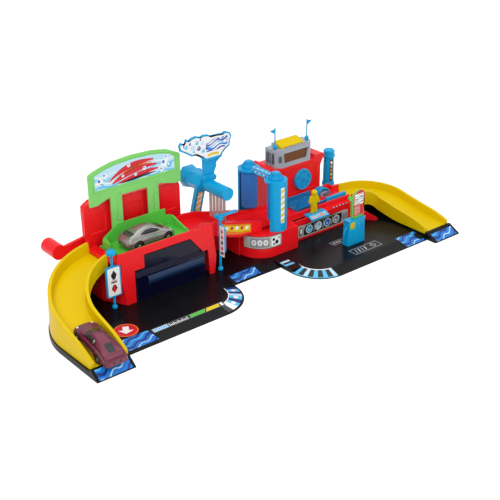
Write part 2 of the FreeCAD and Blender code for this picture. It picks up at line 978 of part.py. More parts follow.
# Dunk tank: an open container that the tray goes down into.
S.tank_wall = 1.8
S.tank_top = 61
S.tank_belly = 36.6
S.tank_belly_top = 40.5
S.tank_front = 39.2
S.tank_front_left = 128.5
S.tank_left = 146.4
S.tank_back = 92.5
S.belly_left = 118.5
S.belly_right = 16
tank_outer = pad("tank_outer", "XY", [
    (-S.tank_front_left, S.tank_front),
    (-S.tank_right, S.tank_front),
    (-S.tank_right, S.tank_back),
    (-S.tank_left, S.tank_back),
    (-S.tank_left, S.side_bend + 3.0),
], base_top, S.tank_top)
tank_inner = pad("tank_inner", "XY", [
    (-S.tank_front_left + 2.3, S.tank_front + S.tank_wall),
    (-S.tank_right - S.tank_wall, S.tank_front + S.tank_wall),
    (-S.tank_right - S.tank_wall, S.tank_back - S.tank_wall),
    (-S.tank_left + S.tank_wall, S.tank_back - S.tank_wall),
    (-S.tank_left + S.tank_wall, S.side_bend + 3.6),
], base_top + S.tank_wall, S.tank_top + 1.0)
belly = rounded(pad("tank_belly", "YZ", [
    (S.tank_belly, base_top),
    (S.tank_front + 1.0, base_top),
    (S.tank_front + 1.0, S.tank_belly_top + 2.0),
    (S.tank_front, S.tank_belly_top + 2.0),
    (S.tank_belly, S.tank_belly_top - 4.0),
], -S.belly_left, -S.belly_right), 1.5, [("YZ", S.tank_belly, S.tank_belly_top - 4.0)])
node("dunk_tank", cut("dunk_tank", fuse("tank_body", [tank_outer, belly]), [tank_inner]))

# Tray of the lift, at the top of its travel.
S.tray_floor = 66
S.tray_thick = 2
S.tray_front = 42.5
S.tray_wall = 1.8
S.tray_lip = 71
S.tray_lip_left = 117
S.tray_lip_right = 40
S.tray_left_front = 121
S.tray_shoulder = 76
S.tray_shoulder_wide = 27
S.tray_right = 32
S.tray_back = 87.5
S.tray_back_top = 88
S.tray_round = 8
tray_bottom = S.tray_floor - S.tray_thick
tray_outline = [
    (-S.tray_left_front, S.tray_front),
    (-S.tray_right, S.tray_front),
    (-S.tray_right, S.tray_back),
    (-S.tray_left, S.tray_back),
    (-S.tray_left, S.tray_left_bend),
]
tray_floor = rounded(
    pad("tray_floor", "XY", tray_outline, tray_bottom, S.tray_floor),
    S.tray_round,
    [("XY", -S.tray_right, S.tray_back)],
)
tray_back = pad("tray_back", "XZ", [
    (-S.tray_left + 8.0, S.tray_floor - 1.0),
    (-S.tray_right - S.tray_round, S.tray_floor - 1.0),
    (-S.tray_right - S.tray_round, S.tray_back_top),
    (-S.tray_left + S.tray_shoulder_wide, S.tray_back_top),
    (-S.tray_left + 8.0, S.tray_shoulder),
], S.tray_back - S.tray_wall, S.tray_back)
tray_corner = pad("tray_corner", "XY", [
    (-S.tray_left, S.tray_left_bend + 2.0),
    (-S.tray_left + S.tray_wall, S.tray_left_bend + 2.0),
    (-S.tray_left + 9.0, S.tray_back - S.tray_wall),
    (-S.tray_left + 9.0, S.tray_back),
    (-S.tray_left + 7.0, S.tray_back),
    (-S.tray_left, S.tray_back - 8.0),
], S.tray_floor - 1.0, S.tray_shoulder)
tray_lip = box(
    "tray_front_lip",
    (-S.tray_lip_left, S.tray_front, S.tray_floor - 1.0),
    (-S.tray_lip_right, S.tray_front + S.tray_wall, S.tray_lip),
)
tray_side = pad("tray_side", "YZ", [
    (S.tray_front, S.tray_floor - 1.0),
    (S.tray_back - S.tray_round, S.tray_floor - 1.0),
    (S.tray_back - S.tray_round, S.tray_floor + 13.0),
    (S.tray_back - S.tray_round - 12.0, S.tray_floor + 9.0),
    (S.tray_front, S.tray_floor + 2.0),
], -S.tray_right - S.tray_wall, -S.tray_right)
turn_disc = rod(
    "tray_turn_disc",
    (-S.tray_right - S.tray_round, S.tray_back - S.tray_round, S.tray_floor - 1.0),
    S.tray_round,
    length(14.0),
    "Z",
    90,
    0,
)
turn_bore = rod(
    "tray_turn_bore",
    (-S.tray_right - S.tray_round, S.tray_back - S.tray_round, S.tray_floor),
    S.tray_round - S.tray_wall,
    length(20.0),
    "Z",
    90,
    0,
)
tray_turn = cut("tray_turn", turn_disc, [turn_bore])
node("lift_tray", fuse("lift_tray", [
    tray_floor, tray_back, tray_corner, tray_lip, tray_side, tray_turn,
]))

# Billboard of the lift on two struts that reach down behind the tray.
S.strut_thick = 2.0
S.strut_low = 72
S.neck_low = 98.6
S.screw_radius = 1.3
S.screw_reach = 8
S.screw_head = 1.2
S.neck_high = 104.5
S.sign_thick = 3
S.sign_bottom = 123
S.sign_left = 144
S.sign_right = 13
S.sign_edge_top = 157
S.sign_crown = 168.5
S.sign_ear = 117.5
strut_front = S.tray_back
strut_back = S.tray_back + S.strut_thick
sign_outline = [
    (-S.sign_left, S.sign_ear),
    (-S.sign_left + 10.0, S.sign_ear),
    (-S.slot_left - 3.0, S.sign_bottom),
    (-S.slot_right + S.strut_width + 3.0, S.sign_bottom),
    (-S.sign_right - 10.0, S.sign_ear),
    (-S.sign_right, S.sign_ear),
    (-S.sign_right, S.sign_edge_top - 2.0),
    (-32.0, S.sign_crown - 4.5),
    (-53.0, S.sign_crown - 0.8),
    (-82.0, S.sign_crown + 0.5),
    (-110.0, S.sign_crown - 1.5),
    (-124.0, S.sign_crown - 4.5),
    (-138.0, S.sign_crown - 8.5),
    (-S.sign_left, S.sign_edge_top),
]
sign_plate = rounded(pad(
    "sign_plate", "XZ", sign_outline, strut_front, strut_front + S.sign_thick
), length(3.0), [
    ("XZ", -S.sign_left, S.sign_edge_top),
    ("XZ", -S.sign_right, S.sign_edge_top - 2.0),
])
struts = []
for side, left in (("left", S.slot_left), ("right", S.slot_right)):
    struts.append(box(
        "strut_" + side,
        (-left, strut_front, S.strut_low),
        (-left + S.strut_width, strut_back, S.sign_bottom + 4.0),
    ))
    struts.append(box(
        "strut_neck_" + side,
        (-left + S.neck_inset, strut_front + 0.5, S.neck_low),
        (-left + S.neck_inset + S.neck_width, carriage_front, S.neck_high),
    ))
neck_middle_z = (S.neck_low + S.neck_high) / 2
neck_bores = [
    rod(
        "neck_bore_" + side,
        (-left + S.neck_inset + S.neck_width / 2, carriage_front - S.screw_reach, neck_middle_z),
        S.screw_radius,
        S.screw_reach + 1.0,
        "Y",
    )
    for side, left in (("left", S.slot_left), ("right", S.slot_right))
]
node("lift_sign", cut("lift_sign", fuse("lift_sign_body", [sign_plate] + struts), neck_bores))

# Carriage behind the wall: it joins both struts and takes the lever's pin in a level slot.
half_swing = S.lever_swing / 2
pin_x = -S.lever_pivot_x + S.lever_reach * turned("cos", half_swing)
pin_z = S.lever_pivot_z + S.lever_reach * turned("sin", half_swing)
pin_reach_x = -S.lever_pivot_x + S.lever_reach
slot_half = S.pin_radius * 2 + S.fit
S.carriage_border = 5
carriage_plate = pad("carriage_plate", "XZ", [
    (-S.slot_left, pin_z - slot_half - S.carriage_border),
    (-S.slot_right + S.strut_width, pin_z - slot_half - S.carriage_border),
    (-S.slot_right + S.strut_width, S.neck_high),
    (-S.slot_left, S.neck_high),
], carriage_front, carriage_back)
carriage_slot = box(
    "carriage_slot",
    (pin_x - slot_half - 1.0, carriage_front - 1.0, pin_z - slot_half),
    (pin_reach_x + slot_half + 1.0, carriage_back + 1.0, pin_z + slot_half),
)
carriage_screw_holes = [
    rod(
        "carriage_hole_" + side,
        (-left + S.neck_inset + S.neck_width / 2, carriage_front - 1.0, (S.neck_low + S.neck_high) / 2),
        S.screw_radius + S.fit / 2,
        length(20.0),
        "Y",
    )
    for side, left in (("left", S.slot_left), ("right", S.slot_right))
] + [
    rod(
        "carriage_counterbore_" + side,
        (
            -left + S.neck_inset + S.neck_width / 2,
            carriage_back - S.screw_head,
            (S.neck_low + S.neck_high) / 2,
        ),
        S.screw_radius * 2 + S.fit,
        length(20.0),
        "Y",
    )
    for side, left in (("left", S.slot_left), ("right", S.slot_right))
]
node("lift_carriage", cut(
    "lift_carriage", carriage_plate, [carriage_slot] + carriage_screw_holes
))
node("carriage_screws", group("carriage_screws", [
    spun("carriage_screw_" + side, [
        (0.0, S.fit - S.screw_reach),
        (S.screw_radius, S.fit - S.screw_reach + 1.0),
        (S.screw_radius, S.carriage_thick - S.screw_head),
        (S.screw_radius * 2, S.carriage_thick - S.screw_head),
        (S.screw_radius * 2, S.carriage_thick),
        (0.0, S.carriage_thick),
    ], (-left + S.neck_inset + S.neck_width / 2, carriage_front, neck_middle_z), "Y")
    for side, left in (("left", S.slot_left), ("right", S.slot_right))
]))

# Lever behind the wall: the inner arm's pin lifts the carriage, the outer arm ends in a knob.
arm_half = S.lever_arm / 2
inner_low = (
    pin_x + arm_half * turned("sin", half_swing),
    pin_z - arm_half * turned("cos", half_swing),
)
inner_high = (
    pin_x - arm_half * turned("sin", half_swing),
    pin_z + arm_half * turned("cos", half_swing),
)
inner_arm = pad("lever_inner_arm", "XZ", [
    (
        -S.lever_pivot_x + arm_half * turned("sin", half_swing),
        S.lever_pivot_z - arm_half * turned("cos", half_swing),
    ),
    inner_low,
    inner_high,
    (
        -S.lever_pivot_x - arm_half * turned("sin", half_swing),
        S.lever_pivot_z + arm_half * turned("cos", half_swing),
    ),
], lever_front, lever_back)
outer_arm = pad("lever_outer_arm", "XZ", [
    (-S.lever_pivot_x, S.lever_pivot_z - S.lever_arm),
    (-S.lever_pivot_x, S.lever_pivot_z + S.lever_arm),
    (-S.wall_left + 2.0, S.lever_pivot_z + 11.0),
    (-S.lever_knob_x + 5.0, S.lever_pivot_z + 6.0),
    (-S.lever_knob_x, S.lever_pivot_z),
    (-S.lever_knob_x + 2.0, S.lever_pivot_z - 7.0),
], lever_front, lever_back + 1.0)
lever_hub_disc = rod(
    "lever_hub_disc",
    (-S.lever_pivot_x, lever_front, S.lever_pivot_z),
    S.lever_hub,
    S.lever_thick + 1.0,
    "Y",
)
lever_tip = rod("lever_tip", (pin_x, lever_front, pin_z), arm_half, S.lever_thick, "Y")
lever_pin = rod(
    "lever_pin",
    (pin_x, carriage_front + S.fit, pin_z),
    S.pin_radius * 2,
    S.carriage_thick + S.fit,
    "Y",
)
lever_bore = rod(
    "lever_bore",
    (-S.lever_pivot_x, lever_front - 1.0, S.lever_pivot_z),
    S.pivot_radius + S.shaft_fit,
    length(20.0),
    "Y",
)
knob_seat = rod(
    "lever_knob_seat",
    (-S.lever_knob_x, lever_front, S.lever_pivot_z + 1.0),
    S.lever_knob_radius,
    S.lever_thick + 1.0,
    "Y",
)
knob = spun("lever_knob", [
    (0.0, 0.0),
    (S.lever_knob_radius, 0.0),
    (S.lever_knob_radius, S.lever_knob_back - lever_back - 2.5),
    (S.lever_knob_radius - 1.5, S.lever_knob_back - lever_back - 1.0),
    (0.0, S.lever_knob_back - lever_back - 1.0),
], (-S.lever_knob_x, lever_back + 1.0, S.lever_pivot_z + 1.0), "Y")
node("lever", cut("lever", fuse("lever_body", [
    inner_arm, outer_arm, lever_hub_disc, lever_tip, lever_pin, knob_seat, knob,
]), [lever_bore]))
pivot_pin = spun("lever_pivot_pin", [
    (0.0, 0.0),
    (S.pivot_radius, 0.0),
    (S.pivot_radius, lever_back + 1.0 + S.fit - S.wall_front - 1.0),
    (S.pivot_radius * 2, lever_back + 1.0 + S.fit - S.wall_front - 1.0),
    (S.pivot_radius * 2, lever_back + 2.5 + S.fit - S.wall_front - 1.0),
    (0.0, lever_back + 2.5 + S.fit - S.wall_front - 1.0),
], (-S.lever_pivot_x, S.wall_front + 1.0, S.lever_pivot_z), "Y")
node("lever_pivot_pin", pivot_pin)

# Cover over the lever and the carriage.
S.cover_left = 142
S.cover_right = 14
S.cover_back = 116
S.cover_low = 8
S.cover_high = 116
S.cover_roof = 1.5
cover_block = pad("cover_block", "XZ", [
    (-S.cover_left, S.cover_low),
    (-S.cover_right, S.cover_low),
    (-S.cover_right, S.cover_high - 8.0),
    (-S.cover_right - 10.0, S.cover_high - 3.0),
    (-S.cover_left + 10.0, S.cover_high),
    (-S.cover_left, S.cover_high - 6.0),
], wall_inside, S.cover_back)
cover_room = pad("cover_room", "XZ", [
    (-S.cover_left + S.shell_wall, S.cover_low + S.shell_wall),
    (-S.cover_right - S.shell_wall, S.cover_low + S.shell_wall),
    (-S.cover_right - S.shell_wall, S.cover_high - 9.0),
    (-S.cover_right - 10.0, S.cover_high - 3.0 - S.cover_roof),
    (-S.cover_left + 10.0, S.cover_high - S.cover_roof),
    (-S.cover_left + S.shell_wall, S.cover_high - 7.0),
], wall_inside - 1.0, S.cover_back - S.shell_wall)
cover_gap = box(
    "cover_gap",
    (-S.cover_left - 1.0, wall_inside - 1.0, S.lever_pivot_z - S.lever_arm - 4.0),
    (-S.cover_left + S.shell_wall + 1.0, lever_back + 3.0, S.lever_pivot_z + 34.0),
)
node("garage_rear_cover", cut("garage_rear_cover", cover_block, [cover_room, cover_gap]))

# Sign post left of the garage: ball foot, thin post, plate and cap, turned as one.
S.left_post_x = 149.2
S.left_post_y = 40
S.post_radius = 1.6
S.ball_radius = 3.4
S.left_plate_half = 10
S.left_plate_low = 22
S.left_plate_high = 61.4
S.left_plate_thick = 2.4
S.left_plate_step = 0.8
S.left_post_top = 77
S.cap_radius = 6


def ball_post(name, spot, top, cap):
    """Gives a thin post that rises from a ball foot on the floor plate."""
    foot = common(name + "_foot", [
        ball(name + "_ball", (spot[0], spot[1], base_top + 2.4), S.ball_radius),
        box(
            name + "_foot_space",
            (spot[0] - 8.0, spot[1] - 8.0, base_top),
            (spot[0] + 8.0, spot[1] + 8.0, base_top + 12.0),
        ),
    ])
    pieces = [foot, rod(name + "_rod", (spot[0], spot[1], base_top + 1.0), S.post_radius,
                        top - base_top - 1.0)]
    if cap:
        pieces.append(rod(name + "_cap", (spot[0], spot[1], top - 0.5), S.cap_radius, length(3.5)))
        pieces.append(cone(
            name + "_cap_top", (spot[0], spot[1], top + 3.0), S.cap_radius, S.cap_radius / 2,
            length(2.5),
        ))
    return pieces


left_spot = (-S.left_post_x, S.left_post_y)
left_plate_front = S.left_post_y - S.post_radius - S.left_plate_step
post_plate = rounded(pad("post_plate", "XZ", [
    (-S.left_post_x - S.left_plate_half, S.left_plate_low),
    (-S.left_post_x + S.left_plate_half, S.left_plate_low),
    (-S.left_post_x + S.left_plate_half, S.left_plate_high),
    (-S.left_post_x - S.left_plate_half, S.left_plate_high),
], left_plate_front, left_plate_front + S.left_plate_thick), length(2.0), [
    ("XZ", -S.left_post_x - S.left_plate_half, S.left_plate_low),
    ("XZ", -S.left_post_x + S.left_plate_half, S.left_plate_low),
    ("XZ", -S.left_post_x + S.left_plate_half, S.left_plate_high),
    ("XZ", -S.left_post_x - S.left_plate_half, S.left_plate_high),
])
node("left_sign_post", fuse(
    "left_sign_post", ball_post("left_post", left_spot, S.left_post_top, True) + [post_plate]
))


# Middle: track and gantry.
S.track_left = 30.6
S.track_front = 41
S.track_wall = 3
S.track_crest_x = 5
S.track_crest_floor = 61.5
S.track_mid_x = 38
S.track_mid_floor = 53
S.track_low_x = 85
S.track_low_floor = 43
S.track_end_floor = 39.5
S.track_lip = 9
S.station_top = 37
S.station_left = 57
S.station_front = 22.7
S.station_right = 128
S.wash_gap = 0.6
wash_left = S.station_right + S.wash_gap


def track_curve(rise):
    """Gives the track's slope from left to right as (x, z) corners, raised by an amount."""
    return [
        (-S.track_left, S.track_left_floor + rise),
        (-10.0, S.track_left_floor + rise),
        (S.track_crest_x, S.track_crest_floor + rise),
        (S.track_mid_x, S.track_mid_floor + rise),
        (S.track_low_x, S.track_low_floor + rise),
    ]


track_floor = pad("track_floor", "XZ", track_curve(length(0.0)) + [
    (wash_left - S.seat_fit, S.track_end_floor),
    (wash_left - S.seat_fit, S.track_end_floor - S.track_floor),
] + track_curve(-S.track_floor)[::-1], S.track_front + 1.0, S.track_back - 1.0)
track_front_wall = pad("track_front_wall", "XZ", [
    (-S.track_left + 8.0, S.track_left_floor + S.track_lip),
    (-10.0, S.track_left_floor + S.track_lip),
    (S.track_crest_x, S.track_crest_floor + S.track_lip + 1.0),
    (S.track_mid_x, S.track_mid_floor + S.track_lip),
    (62.0, S.track_mid_floor + 3.0),
    (81.0, S.track_low_floor + 8.0),
    (81.0, S.station_top),
    (43.0, S.station_top + 2.0),
    (19.0, 47.0),
    (-1.5, 55.0),
    (-1.5, deck_top),
    (-S.track_left + 8.0, deck_top),
], S.track_front, S.track_front + S.track_wall)
track_back_wall = pad("track_back_wall", "XZ", [
    (-S.track_left, S.track_left_floor - S.track_floor),
    (-S.track_left, S.track_left_floor + 6.0),
    (-13.0, S.track_left_floor + S.track_lip),
    (S.track_crest_x, S.track_crest_floor + S.track_lip + 0.5),
    (S.track_mid_x, S.track_mid_floor + S.track_lip),
    (76.0, 53.0),
    (87.0, 49.0),
    (118.0, 46.0),
    (wash_left - S.seat_fit, 46.0),
    (wash_left - S.seat_fit, S.track_end_floor - S.track_floor),
    (S.track_low_x, S.track_low_floor - S.track_floor),
    (S.track_mid_x, S.track_mid_floor - S.track_floor),
    (S.track_crest_x, S.track_crest_floor - S.track_floor),
    (-10.0, S.track_left_floor - S.track_floor),
], S.track_back - S.track_wall, S.track_back)
# The lower front wall of the middle module, with a dark doorway beside the garage.
module_back = pad("module_back", "XZ", [
    (4.0, base_top),
    (S.station_left + 4.0, base_top),
    (S.station_left + 4.0, S.track_low_floor + 4.0),
    (S.track_mid_x, S.track_mid_floor - S.track_floor + 1.0),
    (S.track_crest_x, S.track_crest_floor - S.track_floor + 1.0),
    (4.0, S.track_crest_floor - S.track_floor + 1.0),
], S.track_back - S.track_wall, S.track_back)
module_inner = box(
    "module_inner_wall",
    (S.station_left - 4.0, S.track_front + 14.0, base_top),
    (S.station_left - 4.0 + S.shell_wall, S.track_back - 1.0, S.track_low_floor + 5.0),
)
node("ramp_track", fuse("ramp_track", [
    track_floor, track_front_wall, track_back_wall, module_back, module_inner,
]))

# Rounded red housing under the rollers.
S.station_round_x = 88
S.drum_gap = 2.7
S.station_wall = 2.5
S.station_gap = 0.5
S.roller_x = 101
S.roller_rear_gap = 4.3
S.roller_radius = 11.5
S.roller_low = 50
S.roller_high = 102
S.spindle_radius = 2.5
S.boss_wall = 1.4
S.frame_top = 106
S.frame_plate = 3
S.shield_radius = 15
S.shield_wall = 2

station_radius = (S.track_back - S.drum_gap - S.station_front) / 2
station_round_y = S.station_front + station_radius
station_back = S.track_back - S.track_wall - S.station_gap
roller_front_y = S.station_front + S.shield_radius
roller_rear_y = S.track_back + S.roller_rear_gap
deck_low = S.station_top - S.track_floor


def station_form(name, inset, low, high):
    """Gives the housing's plan shape, drawn in by an inset, between two levels."""
    drum = rod(
        name + "_drum",
        (S.station_round_x, station_round_y, low),
        station_radius - inset,
        length(high) - low,
    )
    front = box(
        name + "_front",
        (S.station_round_x, S.station_front + inset, low),
        (S.station_right - inset, station_round_y, high),
    )
    rear = box(
        name + "_rear",
        (S.station_left + inset, station_round_y, low),
        (S.station_right - inset, station_back - inset, high),
    )
    return fuse(name, [drum, front, rear])


def roller_boss(side, y):
    """Gives the post that a roller's spindle turns in."""
    return rod(
        "roller_boss_" + side,
        (S.roller_x, y, deck_low),
        S.spindle_radius + S.boss_wall,
        S.roller_low - S.seat_fit - deck_low,
    )


def spindle_bore(side, y, low, high):
    """Gives the running bore for a roller's spindle."""
    return rod(
        "spindle_bore_" + side,
        (S.roller_x, y, low),
        S.spindle_radius + S.shaft_fit,
        length(high) - low,
    )


rear_shelf = pad("rear_shelf", "XY", [
    (S.roller_x - S.shield_radius, S.track_back + S.seat_fit),
    (S.roller_x + S.shield_radius, S.track_back + S.seat_fit),
    (S.roller_x + S.shield_radius, roller_rear_y + S.shield_radius + 1.0),
    (S.roller_x - S.shield_radius, roller_rear_y + S.shield_radius + 1.0),
], base_top, S.station_top)
station_shell = cut("station_shell", station_form("station_outer", length(0.0), base_top,
                                                  S.station_top), [
    station_form("station_inner", S.station_wall, base_top - 1.0, deck_low),
])
spindle_foot = S.station_top + 3.0
node("wash_station", cut("wash_station", fuse("station_body", [
    station_shell,
    roller_boss("front", roller_front_y),
]), [spindle_bore("front", roller_front_y, spindle_foot, S.roller_low + 1.0)]))
shelf_room = box(
    "shelf_room",
    (S.roller_x - S.shield_radius + S.shell_wall, S.track_back + S.shell_wall, base_top - 1.0),
    (
        S.roller_x + S.shield_radius - S.shell_wall,
        roller_rear_y + S.shield_radius + 1.0 - S.shell_wall,
        S.station_top - S.shell_wall,
    ),
)
node("rear_roller_stand", cut("rear_roller_stand", fuse("rear_stand_body", [
    cut("rear_stand_shell", rear_shelf, [shelf_room]),
    rod(
        "rear_stand_post",
        (S.roller_x, roller_rear_y, S.station_top - 1.0),
        S.spindle_radius + S.boss_wall,
        S.roller_low - S.seat_fit - S.station_top + 1.0,
    ),
]), [spindle_bore("rear", roller_rear_y, spindle_foot, S.roller_low + 1.0)]))

# Soft rollers on their spindles.
for side, y in (("front", roller_front_y), ("rear", roller_rear_y)):
    sleeve = spun("roller_" + side + "_sleeve", [
        (S.spindle_radius, S.roller_low),
        (S.roller_radius - 1.5, S.roller_low),
        (S.roller_radius, S.roller_low + 1.5),
        (S.roller_radius, S.roller_high - 1.5),
        (S.roller_radius - 1.5, S.roller_high),
        (S.spindle_radius, S.roller_high),
    ], (S.roller_x, y, 0.0))
    node("roller_" + side, sleeve)
    spindle = spun("spindle_" + side, [
        (0.0, spindle_foot + S.seat_fit),
        (S.spindle_radius, spindle_foot + S.seat_fit),
        (S.spindle_radius, S.frame_top - S.seat_fit),
        (0.0, S.frame_top - S.seat_fit),
    ], (S.roller_x, y, 0.0))
    node("spindle_" + side, spindle)

# Light-blue frame over the rollers: a shield around each, a ribbed dome and the bridge.
S.dome_radius = 9
S.dome_top = 113
S.bridge_width = 8
S.bridge_rise = 3.5
S.rib_count = 12
frame_low = S.frame_top - S.frame_plate
frame_pieces = []
for side, y, turn in (("front", roller_front_y, 200.0), ("rear", roller_rear_y, 20.0)):
    frame_pieces.append(rod(
        "frame_plate_" + side, (S.roller_x, y, frame_low), S.shield_radius, S.frame_plate
    ))
    shield_floor = S.station_top
    frame_pieces.append(cut("shield_" + side, rod(
        "shield_outer_" + side,
        (S.roller_x, y, shield_floor),
        S.shield_radius,
        frame_low + 1.0 - shield_floor,
        "Z",
        140,
        turn,
    ), [rod(
        "shield_inner_" + side,
        (S.roller_x, y, shield_floor - 1.0),
        S.shield_radius - S.shield_wall,
        frame_low + 5.0 - shield_floor,
    )]))
    dome_base = S.frame_top - 0.5
    frame_pieces.append(rod(
        "dome_base_" + side, (S.roller_x, y, dome_base), S.dome_radius, S.dome_top - 5.0 - dome_base
    ))
    frame_pieces.append(cone(
        "dome_top_" + side,
        (S.roller_x, y, S.dome_top - 5.0),
        S.dome_radius,
        S.dome_radius - 4.5,
        length(5.0),
    ))
frame_pieces.append(box(
    "bridge_beam",
    (S.roller_x - S.bridge_width / 2, roller_front_y, frame_low),
    (S.roller_x + S.bridge_width / 2, roller_rear_y, S.frame_top + S.bridge_rise),
))
rib_bases = []
for side, y in (("front", roller_front_y), ("rear", roller_rear_y)):
    for index in range(int(float(S.rib_count))):
        angle = length(360.0 * index / float(S.rib_count))
        rib_bases.append(rod(
            "rib_" + side + str(index),
            (
                S.roller_x + S.dome_radius * turned("cos", angle),
                y + S.dome_radius * turned("sin", angle),
                S.frame_top - 0.5,
            ),
            length(0.9),
            S.dome_top - 5.5 - S.frame_top,
        ))
node("roller_frame", cut("roller_frame", fuse("frame_body", frame_pieces + rib_bases), [
    spindle_bore("top_front", roller_front_y, frame_low - 1.0, S.frame_top),
    spindle_bore("top_rear", roller_rear_y, frame_low - 1.0, S.frame_top),
]))

# Gantry: leaning post, cross bar with a slot below, flared end and the sign's neck.
S.gantry_x = 28
S.gantry_z = 102
S.bar_radius = 7
S.bar_front = 45
S.bar_back = 110
S.bar_bore = 3.7
S.curtain_rod = 2.4
S.curtain_front = 50
S.curtain_gap = 4
S.curtain_bearing = 4
S.strip_low = 60
S.strip_width = 5
S.strip_pitch = 7
S.strip_thick = 1
S.housing_back = 130
S.housing_radius = 16
S.post_left = 14
S.post_right = 28
S.post_deep = 6
S.post_foot_y = 118
S.post_head_y = 89
S.neck_front = 85.5
S.neck_thick = 3

curtain_back = S.track_back - S.curtain_gap
gantry_post = pad("gantry_post", "YZ", [
    (S.post_foot_y, base_top),
    (S.post_foot_y + S.post_deep, base_top),
    (S.post_head_y + S.post_deep, S.gantry_z + 2.0),
    (S.post_head_y, S.gantry_z + 2.0),
], S.post_left, S.post_right)
gantry_foot = box(
    "gantry_foot",
    (S.post_left - 4.0, S.post_foot_y - 4.0, base_top),
    (S.post_right + 4.0, S.post_foot_y + S.post_deep + 4.0, base_top + 3.0),
)
bar = rod(
    "gantry_bar",
    (S.gantry_x, S.bar_front, S.gantry_z),
    S.bar_radius,
    S.bar_back - S.bar_front,
    "Y",
)
housing = cone(
    "gantry_housing",
    (S.gantry_x, S.bar_back - 2.0, S.gantry_z),
    S.housing_radius - 5.0,
    S.housing_radius,
    S.housing_back - S.bar_back + 2.0,
    "Y",
)
hexagon = [
    (
        S.gantry_x + S.housing_radius * turned("cos", length(60.0 * index)),
        S.gantry_z + S.housing_radius * turned("sin", length(60.0 * index)),
    )
    for index in range(6)
]
housing_body = common("gantry_housing_body", [
    housing, pad("gantry_hexagon", "XZ", hexagon, S.bar_back - 3.0, S.housing_back + 1.0),
])
neck = pad("gantry_neck", "XZ", [
    (23.0, S.gantry_z + 2.0),
    (34.0, S.gantry_z + 2.0),
    (37.5, 115.0),
    (42.0, 125.0),
    (42.0, 130.0),
    (48.0, 134.0),
    (48.0, 140.0),
    (21.0, 140.0),
    (21.0, 128.0),
], S.neck_front, S.neck_front + S.neck_thick)
curtain_room = rod(
    "curtain_room",
    (S.gantry_x, S.curtain_front - 1.0, S.gantry_z),
    S.bar_bore,
    curtain_back - S.curtain_front + 2.0,
    "Y",
)
curtain_bearing = rod(
    "curtain_bearing_bore",
    (S.gantry_x, S.curtain_front - S.curtain_bearing, S.gantry_z),
    S.curtain_rod + S.shaft_fit,
    curtain_back - S.curtain_front + S.curtain_bearing * 2,
    "Y",
)
curtain_slot = pad("curtain_slot", "XZ", [
    (S.gantry_x - 0.8, S.gantry_z),
    (S.gantry_x - S.bar_radius - 2.0, S.gantry_z - S.bar_radius - 2.0),
    (S.gantry_x + S.bar_radius + 2.0, S.gantry_z - S.bar_radius - 2.0),
    (S.gantry_x + 0.8, S.gantry_z),
], S.curtain_front - 1.0, curtain_back + 1.0)
node("gantry", cut("gantry", fuse("gantry_body", [
    gantry_post, gantry_foot, bar, housing_body, neck,
]), [curtain_room, curtain_bearing, curtain_slot]))

# Curtain of soft strips on a rod that swings inside the bar.
strips = [rod(
    "curtain_rod",
    (S.gantry_x, S.curtain_front - S.curtain_bearing + S.seat_fit, S.gantry_z),
    S.curtain_rod,
    curtain_back - S.curtain_front + S.curtain_bearing * 2 - S.seat_fit * 2,
    "Y",
)]
curtain_middle = (S.curtain_front + curtain_back) / 2
for index in range(-2, 3):
    middle = curtain_middle + S.strip_pitch * float(index)
    strips.append(box(
        "strip_" + str(index + 3),
        (S.gantry_x - S.strip_thick / 2, middle - S.strip_width / 2, S.strip_low),
        (S.gantry_x + S.strip_thick / 2, middle + S.strip_width / 2, S.gantry_z - 1.0),
    ))
node("wash_curtain", fuse("wash_curtain", strips))

# Splash-shaped sign in front of the neck.
S.splash_thick = 3
splash_outline = [
    (-17.0, 165.0), (-14.0, 169.0), (-8.0, 166.0), (-6.3, 172.0), (-1.5, 169.5), (2.5, 171.5),
    (9.0, 172.5), (16.0, 170.0), (20.5, 171.5), (28.0, 170.5), (32.0, 167.8), (41.5, 168.0),
    (50.5, 167.0), (55.0, 169.0), (62.5, 166.0), (65.0, 161.0), (62.5, 155.0), (61.5, 148.5),
    (54.0, 144.5), (50.0, 140.5), (48.0, 136.0), (21.5, 136.0), (17.5, 141.0), (8.0, 147.5),
    (1.5, 147.5), (-8.5, 154.0), (-15.5, 158.0),
]
splash_sign = pad("splash_sign", "XZ", [
    (S.gantry_x + (across - 28.0), S.gantry_z + (up - 102.0)) for across, up in splash_outline
], S.neck_front - S.splash_thick, S.neck_front)
node("splash_sign", splash_sign)

# Thin post between the garage and the wash station, with a hanging sign and a boom arm.
S.middle_post_x = 8
S.middle_post_y = 37
S.middle_post_top = 78
S.boom_reach = 31
S.boom_width = 5
S.boom_thick = 2
S.boom_hub = 3.4
S.boom_pin = 1.5
S.hang_sign_thick = 2
middle_spot = (S.middle_post_x, S.middle_post_y)
hang_sign = pad("hang_sign", "YZ", [
    (S.middle_post_y, 69.0),
    (S.middle_post_y - 3.0, 71.0),
    (S.middle_post_y - 11.0, 66.0),
    (S.middle_post_y - 11.0, 36.0),
    (S.middle_post_y - 3.0, 24.0),
    (S.middle_post_y, 26.0),
], S.middle_post_x - S.hang_sign_thick / 2, S.middle_post_x + S.hang_sign_thick / 2)
boom_front = S.middle_post_y + S.post_radius + S.seat_fit
boom_back = boom_front + S.boom_width
boom_pin = rod(
    "boom_pin",
    (S.middle_post_x, S.middle_post_y - 1.0, S.middle_post_top),
    S.boom_pin,
    boom_back + 1.0 - S.middle_post_y + 1.0,
    "Y",
)
post_head = rod(
    "middle_post_head",
    (S.middle_post_x, S.middle_post_y - 2.6, S.middle_post_top),
    S.boom_hub,
    length(3.0),
    "Y",
)
boom_stop = rod(
    "boom_pin_head",
    (S.middle_post_x, boom_back + S.seat_fit, S.middle_post_top),
    S.boom_pin + 1.0,
    length(1.0),
    "Y",
)
